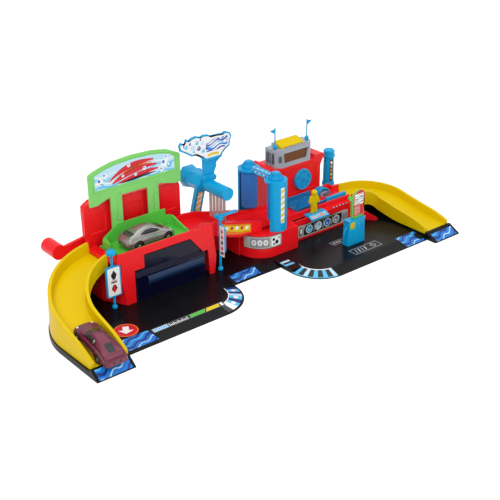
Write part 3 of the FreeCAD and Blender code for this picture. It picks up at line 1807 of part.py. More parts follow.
node("middle_sign_post", fuse("middle_sign_post", ball_post(
    "middle_post", middle_spot, S.middle_post_top, False
) + [hang_sign, boom_pin, post_head, boom_stop]))
boom = pad("boom_plate", "XZ", [
    (S.middle_post_x, S.middle_post_top - S.boom_thick / 2),
    (S.middle_post_x + S.boom_reach, S.middle_post_top - S.boom_thick / 2),
    (S.middle_post_x + S.boom_reach, S.middle_post_top + S.boom_thick / 2),
    (S.middle_post_x, S.middle_post_top + S.boom_thick / 2),
], boom_front, boom_back)
boom_hub = rod(
    "boom_hub",
    (S.middle_post_x, boom_front, S.middle_post_top),
    S.boom_hub,
    S.boom_width,
    "Y",
)
boom_bore = rod(
    "boom_bore",
    (S.middle_post_x, boom_front - 1.0, S.middle_post_top),
    S.boom_pin + S.shaft_fit,
    S.boom_width + 2.0,
    "Y",
)
node("boom_arm", cut("boom_arm", fuse("boom_body", [boom, boom_hub]), [boom_bore]))


# Right: wash bay.
S.wash_front = 37
S.wash_right = 257.7
S.wash_ledge_top = 35
S.wash_ledge_deep = 8
S.wash_rim = 42
S.wash_rim_wall = 3
S.wash_floor = 38
S.wash_floor_end = 33
S.wash_back_rim = 46
S.wash_end_drop = 12
S.wash_roof = 2.5
S.slider_slot_inset = 2.2
S.slider_slot_wide = 4
S.slider_inset = 29.3
S.slider_width = 32.5
S.slider_travel = 21
S.slider_margin = 3
S.slider_fit = 0.35

wash_drop_x = S.wash_right - S.wash_end_drop
wash_back = S.track_back
wash_ledge_back = S.wash_front + S.wash_ledge_deep
slider_slot_front = S.wash_front + S.slider_slot_inset
slider_left = wash_left + S.slider_inset
rim_back = wash_ledge_back + S.wash_rim_wall
wash_outer = pad("wash_outer", "YZ", [
    (S.wash_front, base_top),
    (S.wash_front, S.wash_ledge_top),
    (wash_ledge_back, S.wash_ledge_top),
    (wash_ledge_back, S.wash_rim),
    (rim_back, S.wash_rim),
    (rim_back, S.wash_floor),
    (wash_back - S.wash_rim_wall, S.wash_floor),
    (wash_back - S.wash_rim_wall, S.wash_back_rim),
    (wash_back, S.wash_back_rim),
    (wash_back, base_top),
], wash_left, wash_drop_x)
wash_inner = pad("wash_inner", "YZ", [
    (S.wash_front + S.shell_wall, base_top - 1.0),
    (S.wash_front + S.shell_wall, S.wash_ledge_top - S.wash_roof),
    (wash_back - S.shell_wall, S.wash_ledge_top - S.wash_roof),
    (wash_back - S.shell_wall, base_top - 1.0),
], wash_left + S.shell_wall, wash_drop_x - S.shell_wall)
chute_low_y = S.right_turn_y + S.right_turn_radius - S.chute_width / 2
chute_high_y = S.right_turn_y + S.right_turn_radius + S.chute_width / 2
wash_end_floor = pad("wash_end_floor", "XZ", [
    (wash_drop_x - 1.0, base_top),
    (S.wash_right, base_top),
    (S.wash_right, S.wash_floor_end),
    (wash_drop_x, S.wash_floor),
    (wash_drop_x - 1.0, S.wash_floor),
], chute_low_y, chute_high_y)
wash_end_walls = [
    pad("wash_end_wall_" + side, "XZ", [
        (wash_drop_x - 1.0, S.wash_floor_end - 4.0),
        (S.wash_right, S.wash_floor_end - 4.0),
        (S.wash_right, S.wash_floor_end + 10.0),
        (wash_drop_x, S.wash_back_rim - 2.0),
        (wash_drop_x - 1.0, S.wash_back_rim - 2.0),
    ], low, low + S.chute_wall)
    for side, low in (("front", chute_low_y), ("back", chute_high_y - S.chute_wall))
]
wash_end_room = box(
    "wash_end_room",
    (wash_drop_x - 6.0, chute_low_y + S.shell_wall, base_top - 1.0),
    (S.wash_right - S.shell_wall, chute_high_y - S.shell_wall, S.wash_floor_end - 7.0),
)
slot_low_x = slider_left - S.slider_travel
slider_slot = box(
    "slider_slot",
    (slot_low_x, slider_slot_front, S.wash_ledge_top - S.wash_roof - 1.0),
    (
        slider_left + S.slider_width,
        slider_slot_front + S.slider_slot_wide,
        S.wash_ledge_top + 1.0,
    ),
)
wash_body = cut("wash_bay", fuse("wash_body", [
    cut("wash_main", wash_outer, [wash_inner]), wash_end_floor,
] + wash_end_walls), [slider_slot, wash_end_room, box(
    "wash_end_passage",
    (wash_drop_x - S.shell_wall - 1.0, chute_low_y + S.shell_wall + 2.0, base_top - 1.0),
    (wash_drop_x + 1.0, chute_high_y - S.shell_wall - 2.0, S.wash_floor_end - 10.0),
)])
node("wash_bay", wash_body)

# Slider in the ledge's slot, with the attendant figure on it.
S.slider_plate = 2
S.slider_gap = 0.6
S.slider_nose = 9
S.slider_nose_z = 31.5
S.slider_hook = 1.8
slider_back = wash_ledge_back - S.slider_gap
slider_nose_y = S.wash_front - S.slider_nose
slider_top = S.wash_ledge_top + S.slider_fit + S.slider_plate
slider_right = slider_left + S.slider_width
slider_inner_left = slider_left + S.slider_margin
slider_inner_right = slider_right - S.slider_margin
slider_cover = pad("slider_cover", "YZ", [
    (slider_back, S.wash_ledge_top + S.slider_fit),
    (slider_back, slider_top),
    (S.wash_front - 1.0, slider_top),
    (slider_nose_y, S.slider_nose_z + S.slider_plate),
    (slider_nose_y, S.slider_nose_z),
    (S.wash_front - 1.0, S.wash_ledge_top + S.slider_fit),
], slider_left, slider_right)
slider_tongue = box(
    "slider_tongue",
    (
        slider_inner_left,
        slider_slot_front + S.slider_fit,
        S.wash_ledge_top - S.wash_roof - S.slider_fit - S.slider_hook,
    ),
    (
        slider_inner_right,
        slider_slot_front + S.slider_slot_wide - S.slider_fit,
        S.wash_ledge_top + S.slider_fit + 0.5,
    ),
)
slider_hook = box(
    "slider_hook",
    (
        slider_inner_left,
        S.wash_front + S.shell_wall + S.slider_fit,
        S.wash_ledge_top - S.wash_roof - S.slider_fit - S.slider_hook,
    ),
    (slider_inner_right, slider_back, S.wash_ledge_top - S.wash_roof - S.slider_fit),
)
node("wash_slider", fuse("wash_slider", [slider_cover, slider_tongue, slider_hook]))

S.figure_inset = 15
S.figure_setback = 4
S.figure_thick = 4
S.figure_height = 33
figure_x = slider_left + S.figure_inset
figure_y = S.wash_front + S.figure_setback
figure_low = slider_top
figure = pad("figure_body", "XZ", [
    (figure_x - 4.5, figure_low),
    (figure_x - 0.8, figure_low),
    (figure_x - 0.4, figure_low + 10.0),
    (figure_x + 0.4, figure_low + 10.0),
    (figure_x + 0.8, figure_low),
    (figure_x + 4.5, figure_low),
    (figure_x + 4.0, figure_low + 12.0),
    (figure_x + 5.2, figure_low + 16.0),
    (figure_x + 8.2, figure_low + 12.5),
    (figure_x + 9.2, figure_low + 15.0),
    (figure_x + 6.2, figure_low + 23.5),
    (figure_x + 2.2, figure_low + 25.5),
    (figure_x - 2.2, figure_low + 25.5),
    (figure_x - 6.2, figure_low + 23.5),
    (figure_x - 8.6, figure_low + 16.0),
    (figure_x - 6.4, figure_low + 13.0),
    (figure_x - 5.0, figure_low + 17.0),
    (figure_x - 4.0, figure_low + 12.0),
], figure_y - S.figure_thick / 2, figure_y + S.figure_thick / 2)
figure_head = ball(
    "figure_head",
    (figure_x, figure_y, figure_low + S.figure_height - 4.2),
    length(4.2),
)
figure_neck = rod(
    "figure_neck",
    (figure_x, figure_y, figure_low + 24.0),
    length(1.6),
    length(3.5),
)
node("attendant_figure", fuse("attendant_figure", [figure, figure_head, figure_neck]))

# Translucent wash basin in the channel and the dryer behind the track.
S.basin_inset = 26.4
S.basin_wide = 50
S.basin_gap = 2.5
S.basin_wall = 1.6
S.basin_height = 9
basin_left = wash_left + S.basin_inset
basin_front = rim_back + S.basin_gap
basin_back = wash_back - S.wash_rim_wall - S.fit
basin = pad("basin", "YZ", [
    (basin_front + 2.0, S.wash_floor),
    (basin_back, S.wash_floor),
    (basin_back, S.wash_floor + S.basin_height),
    (basin_back - S.basin_wall, S.wash_floor + S.basin_height),
    (basin_back - S.basin_wall, S.wash_floor + S.basin_wall),
    (basin_front + S.basin_wall + 2.0, S.wash_floor + S.basin_wall),
    (basin_front + S.basin_wall, S.wash_floor + S.basin_height - 3.0),
    (basin_front, S.wash_floor + S.basin_height - 3.0),
], basin_left, basin_left + S.basin_wide)
node("wash_basin", basin)

S.rail_left = 206
S.rail_right = 243
S.rail_thick = 3.5
S.rail_top = 46
rail_back = basin_front + S.rail_thick
rail = rounded(pad("wash_rail", "YZ", [
    (basin_front, S.wash_floor),
    (rail_back, S.wash_floor),
    (rail_back, S.rail_top),
    (basin_front, S.rail_top),
], S.rail_left, S.rail_right), length(1.2), [
    ("YZ", basin_front, S.rail_top),
    ("YZ", rail_back, S.rail_top),
])
node("wash_rail", rail)

S.dryer_gap = 22.7
S.dryer_z = 34.5
S.dryer_radius = 14
S.dryer_deep = 10.7
S.dryer_wall = 2
dryer_x = wash_drop_x - S.dryer_gap
dryer_back = wash_back - S.wash_rim_wall - S.fit
dryer_front = dryer_back - S.dryer_deep
dryer_arch = common("dryer_arch", [
    rod(
        "dryer_drum",
        (dryer_x, dryer_front, S.dryer_z),
        S.dryer_radius,
        dryer_back - dryer_front,
        "Y",
    ),
    box(
        "dryer_above_floor",
        (dryer_x - S.dryer_radius - 1.0, dryer_front - 1.0, S.wash_floor),
        (dryer_x + S.dryer_radius + 1.0, dryer_back + 1.0, S.wash_floor + 40.0),
    ),
])
dryer_room = rod(
    "dryer_room",
    (dryer_x, dryer_front - 1.0, S.dryer_z),
    S.dryer_radius - S.dryer_wall,
    dryer_back - dryer_front - S.dryer_wall + 1.0,
    "Y",
)
dryer_lobe = rod(
    "dryer_lobe",
    (dryer_x + S.dryer_radius / 3, dryer_back - 5.0, S.wash_floor + 4.0),
    length(2.2),
    length(4.0),
    "Y",
)
node("dryer_hood", fuse("dryer_hood", [cut("dryer_shell", dryer_arch, [dryer_room]), dryer_lobe]))
grille = pad("grille_block", "XZ", [
    (dryer_x - 6.5, S.wash_floor),
    (dryer_x + 6.5, S.wash_floor),
    (dryer_x + 5.0, S.wash_floor + 5.5),
    (dryer_x - 5.0, S.wash_floor + 5.5),
], dryer_front - 4.0, dryer_front + 3.5)
grille_slots = [
    box(
        "grille_slot_" + str(index + 3),
        (dryer_x + 3.2 * float(index) - 0.7, dryer_front - 5.0, S.wash_floor + 1.5),
        (dryer_x + 3.2 * float(index) + 0.7, dryer_front + 1.5, S.wash_floor + 10.0),
    )
    for index in range(-1, 2)
]
node("dryer_grille", cut("dryer_grille", grille, grille_slots))

# Right: control tower.
S.tower_left = 143
S.tower_right = 230
S.tower_roof = 90
S.lobe_out = 7
S.lobe_low = 78
S.lobe_high = 95
S.panel_margin = 7
tower_front = wash_back + S.tower_gap
tower_back = tower_front + S.tower_deep
S.cabin_inset = 6
cabin_left = S.tower_left + S.cabin_inset
S.cabin_width = 67
cabin_right = cabin_left + S.cabin_width


tower_form_outline = [
    (S.tower_left, base_top),
    (S.tower_right, base_top),
    (S.tower_right, S.lobe_low),
    (S.tower_right + S.lobe_out / 2, S.lobe_low + 7.0),
    (S.tower_right + S.lobe_out, S.lobe_high - 6.0),
    (S.tower_right + S.lobe_out, S.lobe_high - 2.5),
    (S.tower_right + S.lobe_out - 3.0, S.lobe_high),
    (cabin_right + 4.0, S.lobe_high),
    (cabin_right + 1.0, S.tower_roof),
    (S.tower_left + 0.2, S.tower_roof),
    (S.tower_left, S.lobe_high),
    (S.tower_left - S.lobe_out + 3.0, S.lobe_high),
    (S.tower_left - S.lobe_out, S.lobe_high - 2.5),
    (S.tower_left - S.lobe_out, S.lobe_high - 6.0),
    (S.tower_left - S.lobe_out / 2, S.lobe_low + 7.0),
    (S.tower_left, S.lobe_low),
]


def plain_outline(inset, low):
    """Gives the tower's front view without its lobes, drawn in by an inset."""
    return [
        (S.tower_left + inset, low),
        (S.tower_right - inset, low),
        (S.tower_right - inset, S.tower_roof - inset),
        (S.tower_left + inset, S.tower_roof - inset),
    ]


tower_form = pad("tower_form", "XZ", tower_form_outline, tower_front, tower_back)
tower_room = pad("tower_room", "XZ", plain_outline(S.shell_wall, base_top - 1.0),
                 tower_front + S.shell_wall, tower_back + 1.0)
tower_panel = box(
    "tower_panel",
    (S.tower_left + S.panel_margin, tower_front - 1.0, S.wash_back_rim + 2.0),
    (S.tower_right - S.panel_margin, tower_front + S.panel_depth, S.tower_roof - 6.0),
)
S.dial_x = 196
S.dial_z = 65
S.dial_radius = 15
S.dial_thick = 3
S.dial_pin = 3
dial_back = tower_front + S.panel_depth - S.seat_fit
dial_bore = rod(
    "dial_bore",
    (S.dial_x, tower_front - 1.0, S.dial_z),
    S.dial_pin + S.shaft_fit,
    S.shell_wall + 5.0,
    "Y",
)
node("tower_shell", cut("tower_shell", tower_form, [tower_room, tower_panel, dial_bore]))
tower_cover = pad("tower_rear_cover", "XZ", plain_outline(length(0.0), base_top),
                  tower_back, tower_back + S.cover_thick)
node("tower_rear_cover", tower_cover)

# Round dial on the tower's front, held by a snap head behind the wall.
dial_front = dial_back - S.dial_thick
dial_disc = spun("dial_disc", [
    (0.0, 0.0),
    (S.dial_radius - 1.0, 0.0),
    (S.dial_radius, 1.0),
    (S.dial_radius, S.dial_thick),
    (S.dial_pin, S.dial_thick),
    (S.dial_pin, S.dial_thick + S.seat_fit + S.shell_wall - S.panel_depth + S.seat_fit),
    (S.dial_pin + 1.2, S.dial_thick + S.seat_fit + S.shell_wall - S.panel_depth + S.seat_fit),
    (S.dial_pin, S.dial_thick + S.shell_wall + 2.5),
    (0.0, S.dial_thick + S.shell_wall + 2.5),
], (S.dial_x, dial_front, S.dial_z), "Y")
dial_grooves = []
for index in range(5):
    turn = length(72.0 * index + 20.0)
    dial_grooves.append(rod(
        "dial_pocket_" + str(index + 1),
        (
            S.dial_x + (S.dial_radius * 0.58) * turned("cos", turn),
            dial_front - 1.0,
            S.dial_z + (S.dial_radius * 0.58) * turned("sin", turn),
        ),
        S.dial_radius * 0.2,
        length(1.9),
        "Y",
    ))
node("tower_dial", cut("tower_dial", dial_disc, dial_grooves))

# Grey cabin on the tower's roof.
S.cabin_top = 116.5
S.cabin_bow = 6
S.cabin_bevel = 9
S.cabin_deep = 25
S.cabin_wall = 2
S.window_left = 161
S.window_right = 206
S.window_low = 96
S.window_high = 110
cabin_front = tower_front
cabin_back = cabin_front + S.cabin_deep
cabin_low = S.tower_roof


def cabin_outline(inset):
    """Gives the cabin's plan: a front with bevelled corners."""
    return [
        (cabin_left + inset, cabin_front + S.cabin_bow + inset / 2),
        (cabin_left + S.cabin_bevel + inset / 2, cabin_front + inset),
        (cabin_right - S.cabin_bevel + 3.0 - inset / 2, cabin_front + inset),
        (cabin_right - inset, cabin_front + S.cabin_bow + inset / 2),
        (cabin_right - inset, cabin_back - inset),
        (cabin_left + inset, cabin_back - inset),
    ]


cabin_block = pad("cabin_block", "XY", cabin_outline(length(0.0)), cabin_low, S.cabin_top)
cabin_room = pad("cabin_room", "XY", cabin_outline(S.cabin_wall), cabin_low - 1.0,
                 S.cabin_top - S.cabin_wall)
window_opening = pad("window_opening", "XZ", [
    (S.window_left + 2.0, S.window_low),
    (S.window_right - 3.0, S.window_low),
    (S.window_right, S.window_high),
    (S.window_left, S.window_high),
], cabin_front - 5.0, cabin_front + S.cabin_wall + 1.0)
S.flag_left_x = 152.7
S.flag_right_x = 211
S.flag_inset = 9
S.flag_stem = 1.5
S.flag_stem_reach = 8
S.flag_rod = 0.9
S.flag_ball = 3.2
S.flag_top = 147
S.flag_wide = 9
S.flag_tall = 7
flag_y = tower_front + S.flag_inset
flag_foot = S.cabin_top - S.flag_stem_reach
flag_socket_low = flag_foot - 2.0
cabin_extras = []
cabin_bores = []
for side, x in (("left", S.flag_left_x), ("right", S.flag_right_x)):
    cabin_extras.append(rod(
        "flag_socket_" + side,
        (x, flag_y, flag_socket_low),
        S.flag_stem + 1.6,
        S.cabin_top - 1.0 - flag_socket_low,
    ))
    cabin_bores.append(rod(
        "flag_bore_" + side,
        (x, flag_y, flag_foot - S.seat_fit),
        S.flag_stem + S.shaft_fit,
        S.flag_stem_reach + 2.0,
    ))
S.tooth_count = 7
S.tooth_width = 2.6
S.tooth_height = 2.2
tooth_pitch = (S.window_right - 4.0 - (S.window_left + 8.0)) / (S.tooth_count - 1.0)
for index in range(int(float(S.tooth_count))):
    left = S.window_left + 8.0 + tooth_pitch * float(index) - S.tooth_width / 2
    cabin_extras.append(box(
        "tooth_" + str(index + 1),
        (left, cabin_front, S.cabin_top - 0.5),
        (left + S.tooth_width, cabin_front + 1.6, S.cabin_top + S.tooth_height),
    ))
S.rib_pitch = 4
for index in range(4):
    start = cabin_front + S.cabin_bow + 3.0 + S.rib_pitch * float(index)
    cabin_extras.append(box(
        "side_rib_" + str(index + 1),
        (cabin_left - 1.2, start, cabin_low),
        (cabin_left + 0.5, start + 1.8, S.cabin_top - 2.0),
    ))
# Two ears on the roof take the hatch's stub pins.
S.hatch_left = 159
S.hatch_right = 200
S.hatch_inset = 3.4
S.hatch_reach = 18.6
S.hatch_axis_z = 118.7
S.hatch_ear = 3
S.hatch_stub = 2
S.hatch_pin = 1
S.hatch_lift = 7
hatch_front = cabin_front + S.hatch_inset
hatch_axis_y = hatch_front + S.hatch_reach
cabin_bores.append(box(
    "roof_opening",
    (S.hatch_left + 4.0, hatch_front + 3.0, S.cabin_top - S.cabin_wall - 1.0),
    (S.hatch_right - 4.0, hatch_axis_y - 6.0, S.cabin_top + 1.0),
))
for side, left in (("left", S.hatch_left), ("right", S.hatch_right - S.hatch_ear)):
    cabin_extras.append(box(
        "hatch_ear_" + side,
        (left, hatch_axis_y - 2.0, S.cabin_top - 1.0),
        (left + S.hatch_ear, hatch_axis_y + 2.0, S.hatch_axis_z + 2.0),
    ))
stub_left = S.hatch_left + S.hatch_ear - S.hatch_stub
stub_right = S.hatch_right - S.hatch_ear + S.hatch_stub
cabin_bores.append(rod(
    "hatch_pin_bore",
    (stub_left - S.seat_fit, hatch_axis_y, S.hatch_axis_z),
    S.hatch_pin + S.shaft_fit,
    stub_right - stub_left + S.seat_fit * 2,
    "X",
))
node("tower_cabin", cut("tower_cabin", fuse("cabin_body", [
    cut("cabin_shell", cabin_block, [cabin_room, window_opening]),
] + cabin_extras), cabin_bores))
pane = pad("cabin_window", "XZ", [
    (S.window_left - 1.5, S.window_low - 2.0),
    (S.window_right + 1.5, S.window_low - 2.0),
    (S.window_right + 1.5, S.window_high + 1.5),
    (S.window_left - 1.5, S.window_high + 1.5),
], cabin_front + S.cabin_wall, cabin_front + S.cabin_wall + 1.4)
node("cabin_window", pane)

# Yellow hatch on the cabin's roof, turning on stub pins at its back edge.
hatch_low = S.cabin_top + S.seat_fit
hatch_back = hatch_axis_y - 3.2
hatch_body = pad("hatch_body", "YZ", [
    (hatch_front, hatch_low),
    (hatch_back, hatch_low),
    (hatch_back, hatch_low + S.hatch_lift + 0.5),
    (hatch_back - 3.0, hatch_low + S.hatch_lift),
    (hatch_front, hatch_low + 2.0),
], S.hatch_left, S.hatch_right)
hatch_room = pad("hatch_room", "YZ", [
    (hatch_front + 2.5, hatch_low - 1.0),
    (hatch_back - 2.0, hatch_low - 1.0),
    (hatch_back - 2.0, hatch_low + S.hatch_lift - 2.6),
    (hatch_back - 4.0, hatch_low + S.hatch_lift - 2.6),
    (hatch_front + 2.5, hatch_low + 1.0),
], S.hatch_left + 2.0, S.hatch_right - 2.0)
knuckle_left = S.hatch_left + S.hatch_ear + S.seat_fit
knuckle_right = S.hatch_right - S.hatch_ear - S.seat_fit
hatch_knuckle = rod(
    "hatch_knuckle",
    (knuckle_left, hatch_axis_y, S.hatch_axis_z),
    length(1.8),
    knuckle_right - knuckle_left,
    "X",
)
knuckle_link = box(
    "knuckle_link",
    (knuckle_left, hatch_back - 1.0, S.hatch_axis_z - 0.7),
    (knuckle_right, hatch_axis_y, S.hatch_axis_z + 1.8),
)
hatch_stubs = rod(
    "hatch_stubs",
    (stub_left, hatch_axis_y, S.hatch_axis_z),
    S.hatch_pin,
    stub_right - stub_left,
    "X",
)
node("tower_hatch", fuse("tower_hatch", [
    cut("hatch_cover", hatch_body, [hatch_room]), hatch_knuckle, knuckle_link, hatch_stubs,
]))

# Two pennants on balls at the roof's corners.
for side, x, way in (("left", S.flag_left_x, -1.0), ("right", S.flag_right_x, 1.0)):
    flag_high = S.flag_top - 1.5
    pennant = pad("pennant_" + side, "XZ", [
        (x, flag_high - S.flag_tall),
        (x, flag_high),
        (x + way * S.flag_wide, flag_high - S.flag_tall * 0.2),
        (x + way * (S.flag_wide - 2.5), flag_high - S.flag_tall * 0.5),
    ], flag_y - 0.5, flag_y + 0.5)
    node("flag_" + side, fuse("flag_" + side, [
        rod("flag_stem_" + side, (x, flag_y, flag_foot), S.flag_stem, S.flag_stem_reach + 2.0),
        ball("flag_ball_" + side, (x, flag_y, S.cabin_top + S.seat_fit + S.flag_ball),
             S.flag_ball),
        rod("flag_rod_" + side, (x, flag_y, S.cabin_top + 2.0), S.flag_rod,
            S.flag_top - S.cabin_top - 2.0),
        pennant,
    ]))

# Round water column behind the bay's right end.
S.column_x = 256
S.column_y = 100
S.column_radius = 8
S.column_top = 92
S.column_neck = 84
S.column_collar = 42
column = spun("water_column", [
    (0.0, 0.0),
    (S.column_radius + 1.5, 0.0),
    (S.column_radius + 1.5, 3.0),
    (S.column_radius, 3.0),
    (S.column_radius, S.column_collar - base_top - 3.0),
    (S.column_radius + 1.2, S.column_collar - base_top - 3.0),
    (S.column_radius + 1.2, S.column_collar - base_top),
    (S.column_radius, S.column_collar - base_top),
    (S.column_radius - 0.6, S.column_neck - base_top - 2.0),
    (S.column_radius + 1.0, S.column_neck - base_top - 2.0),
    (S.column_radius + 1.0, S.column_neck - base_top),
    (S.column_radius, S.column_neck - base_top),
    (S.column_radius, S.column_top - base_top - 1.5),
    (S.column_radius - 1.5, S.column_top - base_top),
    (0.0, S.column_top - base_top),
], (S.column_x, S.column_y, base_top))
node("water_column", column)

# Red gusset on the floor under the right chute's inner corner.
S.bracket_left = 258.2
S.bracket_back = 34.5
S.bracket_right = 272
S.bracket_front = 16
S.bracket_thick = 4
S.bracket_high = 18
bracket_plan = pad("bracket_plan", "XY", [
    (S.bracket_left, S.bracket_back - S.bracket_thick),
    (S.bracket_right - S.bracket_thick / 2, S.bracket_front),
    (S.bracket_right + S.bracket_thick / 2, S.bracket_front),
    (S.bracket_left + S.bracket_thick, S.bracket_back),
    (S.bracket_left, S.bracket_back),
], base_top, S.bracket_high + 1.0)
bracket_side = pad("bracket_side", "XZ", [
    (S.bracket_left - 1.0, base_top),
    (S.bracket_right + S.bracket_thick, base_top),
    (S.bracket_right + S.bracket_thick, base_top + 1.5),
    (S.bracket_left + 3.0, S.bracket_high),
    (S.bracket_left - 1.0, S.bracket_high),
], S.bracket_front - 1.0, S.bracket_back + 1.0)
node("chute_bracket", common("chute_bracket", [bracket_plan, bracket_side]))

# Fuel pump in the right bay, with its moulded hose, and its sign in a slot of its top.
S.pump_left = 180
S.pump_width = 31
S.pump_front = 19.5
S.pump_deep = 11
S.pump_top = 41
S.pump_sign_thick = 3
S.pump_sign_top = 80
S.pump_sign_seat = 3.7
S.hose_radius = 1.2
S.hose_bulge = 4
S.hose_half = 11
S.hose_middle = 19
pump_right = S.pump_left + S.pump_width
pump_back = S.pump_deep - S.pump_front
sign_middle = S.pump_deep / 2 - S.pump_front
pump_form = pad("pump_form", "XZ", [
    (S.pump_left, base_top),
    (pump_right, base_top),
    (pump_right - 1.5, S.pump_top - 3.0),
    (pump_right + 0.5, S.pump_top),
    (S.pump_left - 0.5, S.pump_top),
    (S.pump_left + 1.5, S.pump_top - 3.0),
], -S.pump_front, pump_back)
pump_room = box(
    "pump_room",
    (S.pump_left + 3.5, S.shell_wall - S.pump_front, base_top - 1.0),
    (pump_right - 3.5, pump_back - S.shell_wall, S.pump_top - S.pump_sign_seat - 3.0),
)
nozzle_pocket = pad("nozzle_pocket", "XZ", [
    (pump_right - 10.0, S.pump_top - 18.0),
    (pump_right - 6.0, S.pump_top - 20.0),
    (pump_right - 4.5, S.pump_top - 9.0),
    (pump_right - 9.0, S.pump_top - 8.0),
], -S.pump_front - 1.0, 1.2 - S.pump_front)
neck_left = S.pump_left + 12.0
neck_right = S.pump_left + 29.0
sign_slot = box(
    "pump_sign_slot",
    (
        neck_left - S.fit,
        sign_middle - S.pump_sign_thick / 2 - S.fit,
        S.pump_top - S.pump_sign_seat - S.seat_fit,
    ),
    (neck_right + S.fit, sign_middle + S.pump_sign_thick / 2 + S.fit, S.pump_top + 1.0),
)
hose_bend = (S.hose_half * S.hose_half + S.hose_bulge * S.hose_bulge) / (S.hose_bulge * 2)
hose = doc.addObject("Part::Torus", "pump_hose")
bind(hose, "Radius1", hose_bend)
bind(hose, "Radius2", S.hose_radius)
hose.Angle3 = 90
hose.Placement = FreeCAD.Placement(V(0, 0, 0), FreeCAD.Rotation(V(1, 0, 0), 90).multiply(
    FreeCAD.Rotation(V(0, 0, 1), 135)
))
place(hose, (S.pump_left + 1.0 - S.hose_bulge + hose_bend, sign_middle, S.hose_middle))
node("pump_body", cut("pump_body", fuse("pump_with_hose", [pump_form, hose]), [
    pump_room, nozzle_pocket, sign_slot,
]))
sign_outline_points = [
    (12.0, -3.7), (29.0, -3.7), (29.0, 0.3), (31.5, 2.5), (31.5, 22.0), (34.0, 26.0),
    (33.0, 33.0), (28.5, 37.0), (24.0, 39.0), (17.0, 37.0), (11.5, 33.5), (9.5, 31.0),
    (6.5, 33.5), (3.0, 33.0), (3.5, 29.0), (8.5, 25.0), (9.5, 2.5), (12.0, 0.3),
]
sign_scale = (S.pump_sign_top - S.pump_top) / 39.0
pump_sign = pad("pump_sign", "XZ", [
    (S.pump_left + across, S.pump_top + (up if up < 0 else up * sign_scale))
    for across, up in sign_outline_points
], sign_middle - S.pump_sign_thick / 2, sign_middle + S.pump_sign_thick / 2)
node("pump_sign", pump_sign)

# Two small cars: body, window insert, chassis and two axles with their wheels.
S.car_half = 37
S.car_wide = 15
S.car_sill = 3
S.car_belt = 13
S.car_roof = 22
S.wheelbase = 41.5
S.wheel_radius = 5.5
S.wheel_width = 5
S.wheel_inset = 0.3
S.arch_fit = 0.9
S.axle_radius = 0.8
S.chassis_wide = 9.2
S.chassis_low = 2.5
S.chassis_thick = 1.8
S.chassis_half = 33
S.glass_wall = 1
S.car_skin = 1.2


def car_profile(shape):
    """Gives a car's side view as (x, z) corners; the shape gives its hood, roof and tail."""
    return [
        (1.0 - S.car_half, S.car_sill),
        (S.car_half - 1.0, S.car_sill),
        (S.car_half, S.car_sill + 2.0),
        (S.car_half - 0.6, S.car_belt - 4.2),
        (S.car_half - 4.5, S.car_belt - 2.0),
        (S.wheelbase / 2 + 2.0, S.car_belt + shape["hood"]),
        (length(13.0), S.car_belt + shape["cowl"]),
        (length(shape["deck"]), S.car_belt + shape["tail"]),
        (2.0 - S.car_half, S.car_belt + shape["tail"] - 0.6),
        (-S.car_half, S.car_belt - 4.0),
    ]


def cabin_profile(shape, inset):
    """Gives the side view of a car's roof and windows, drawn in by an inset."""
    low = S.car_belt - 1.0
    return [
        (shape["screen"] + 1.0 - inset * 1.5, low),
        (shape["roof_front"] - inset * 0.7, S.car_roof - shape["dip"] - inset),
        (shape["roof_back"] + inset * 0.7, S.car_roof - inset),
        (shape["back"] + inset * 1.5, low),
    ]


def cabin_end(inset):
    """Gives the end view of a car's roof and windows, drawn in by an inset."""
    return [
        (inset - S.car_wide + 1.2, S.car_belt - 1.0),
        (S.car_wide - 1.2 - inset, S.car_belt - 1.0),
        (S.car_wide - 4.6 - inset, S.car_roof - inset),
        (inset - S.car_wide + 4.6, S.car_roof - inset),
    ]


def cabin_form(name, shape, inset):
    """Gives the block of a car's roof and windows."""
    return common(name, [
        pad(name + "_side", "XZ", cabin_profile(shape, inset), -S.car_wide, S.car_wide),
        pad(name + "_end", "YZ", cabin_end(inset), -S.car_half, S.car_half),
    ])


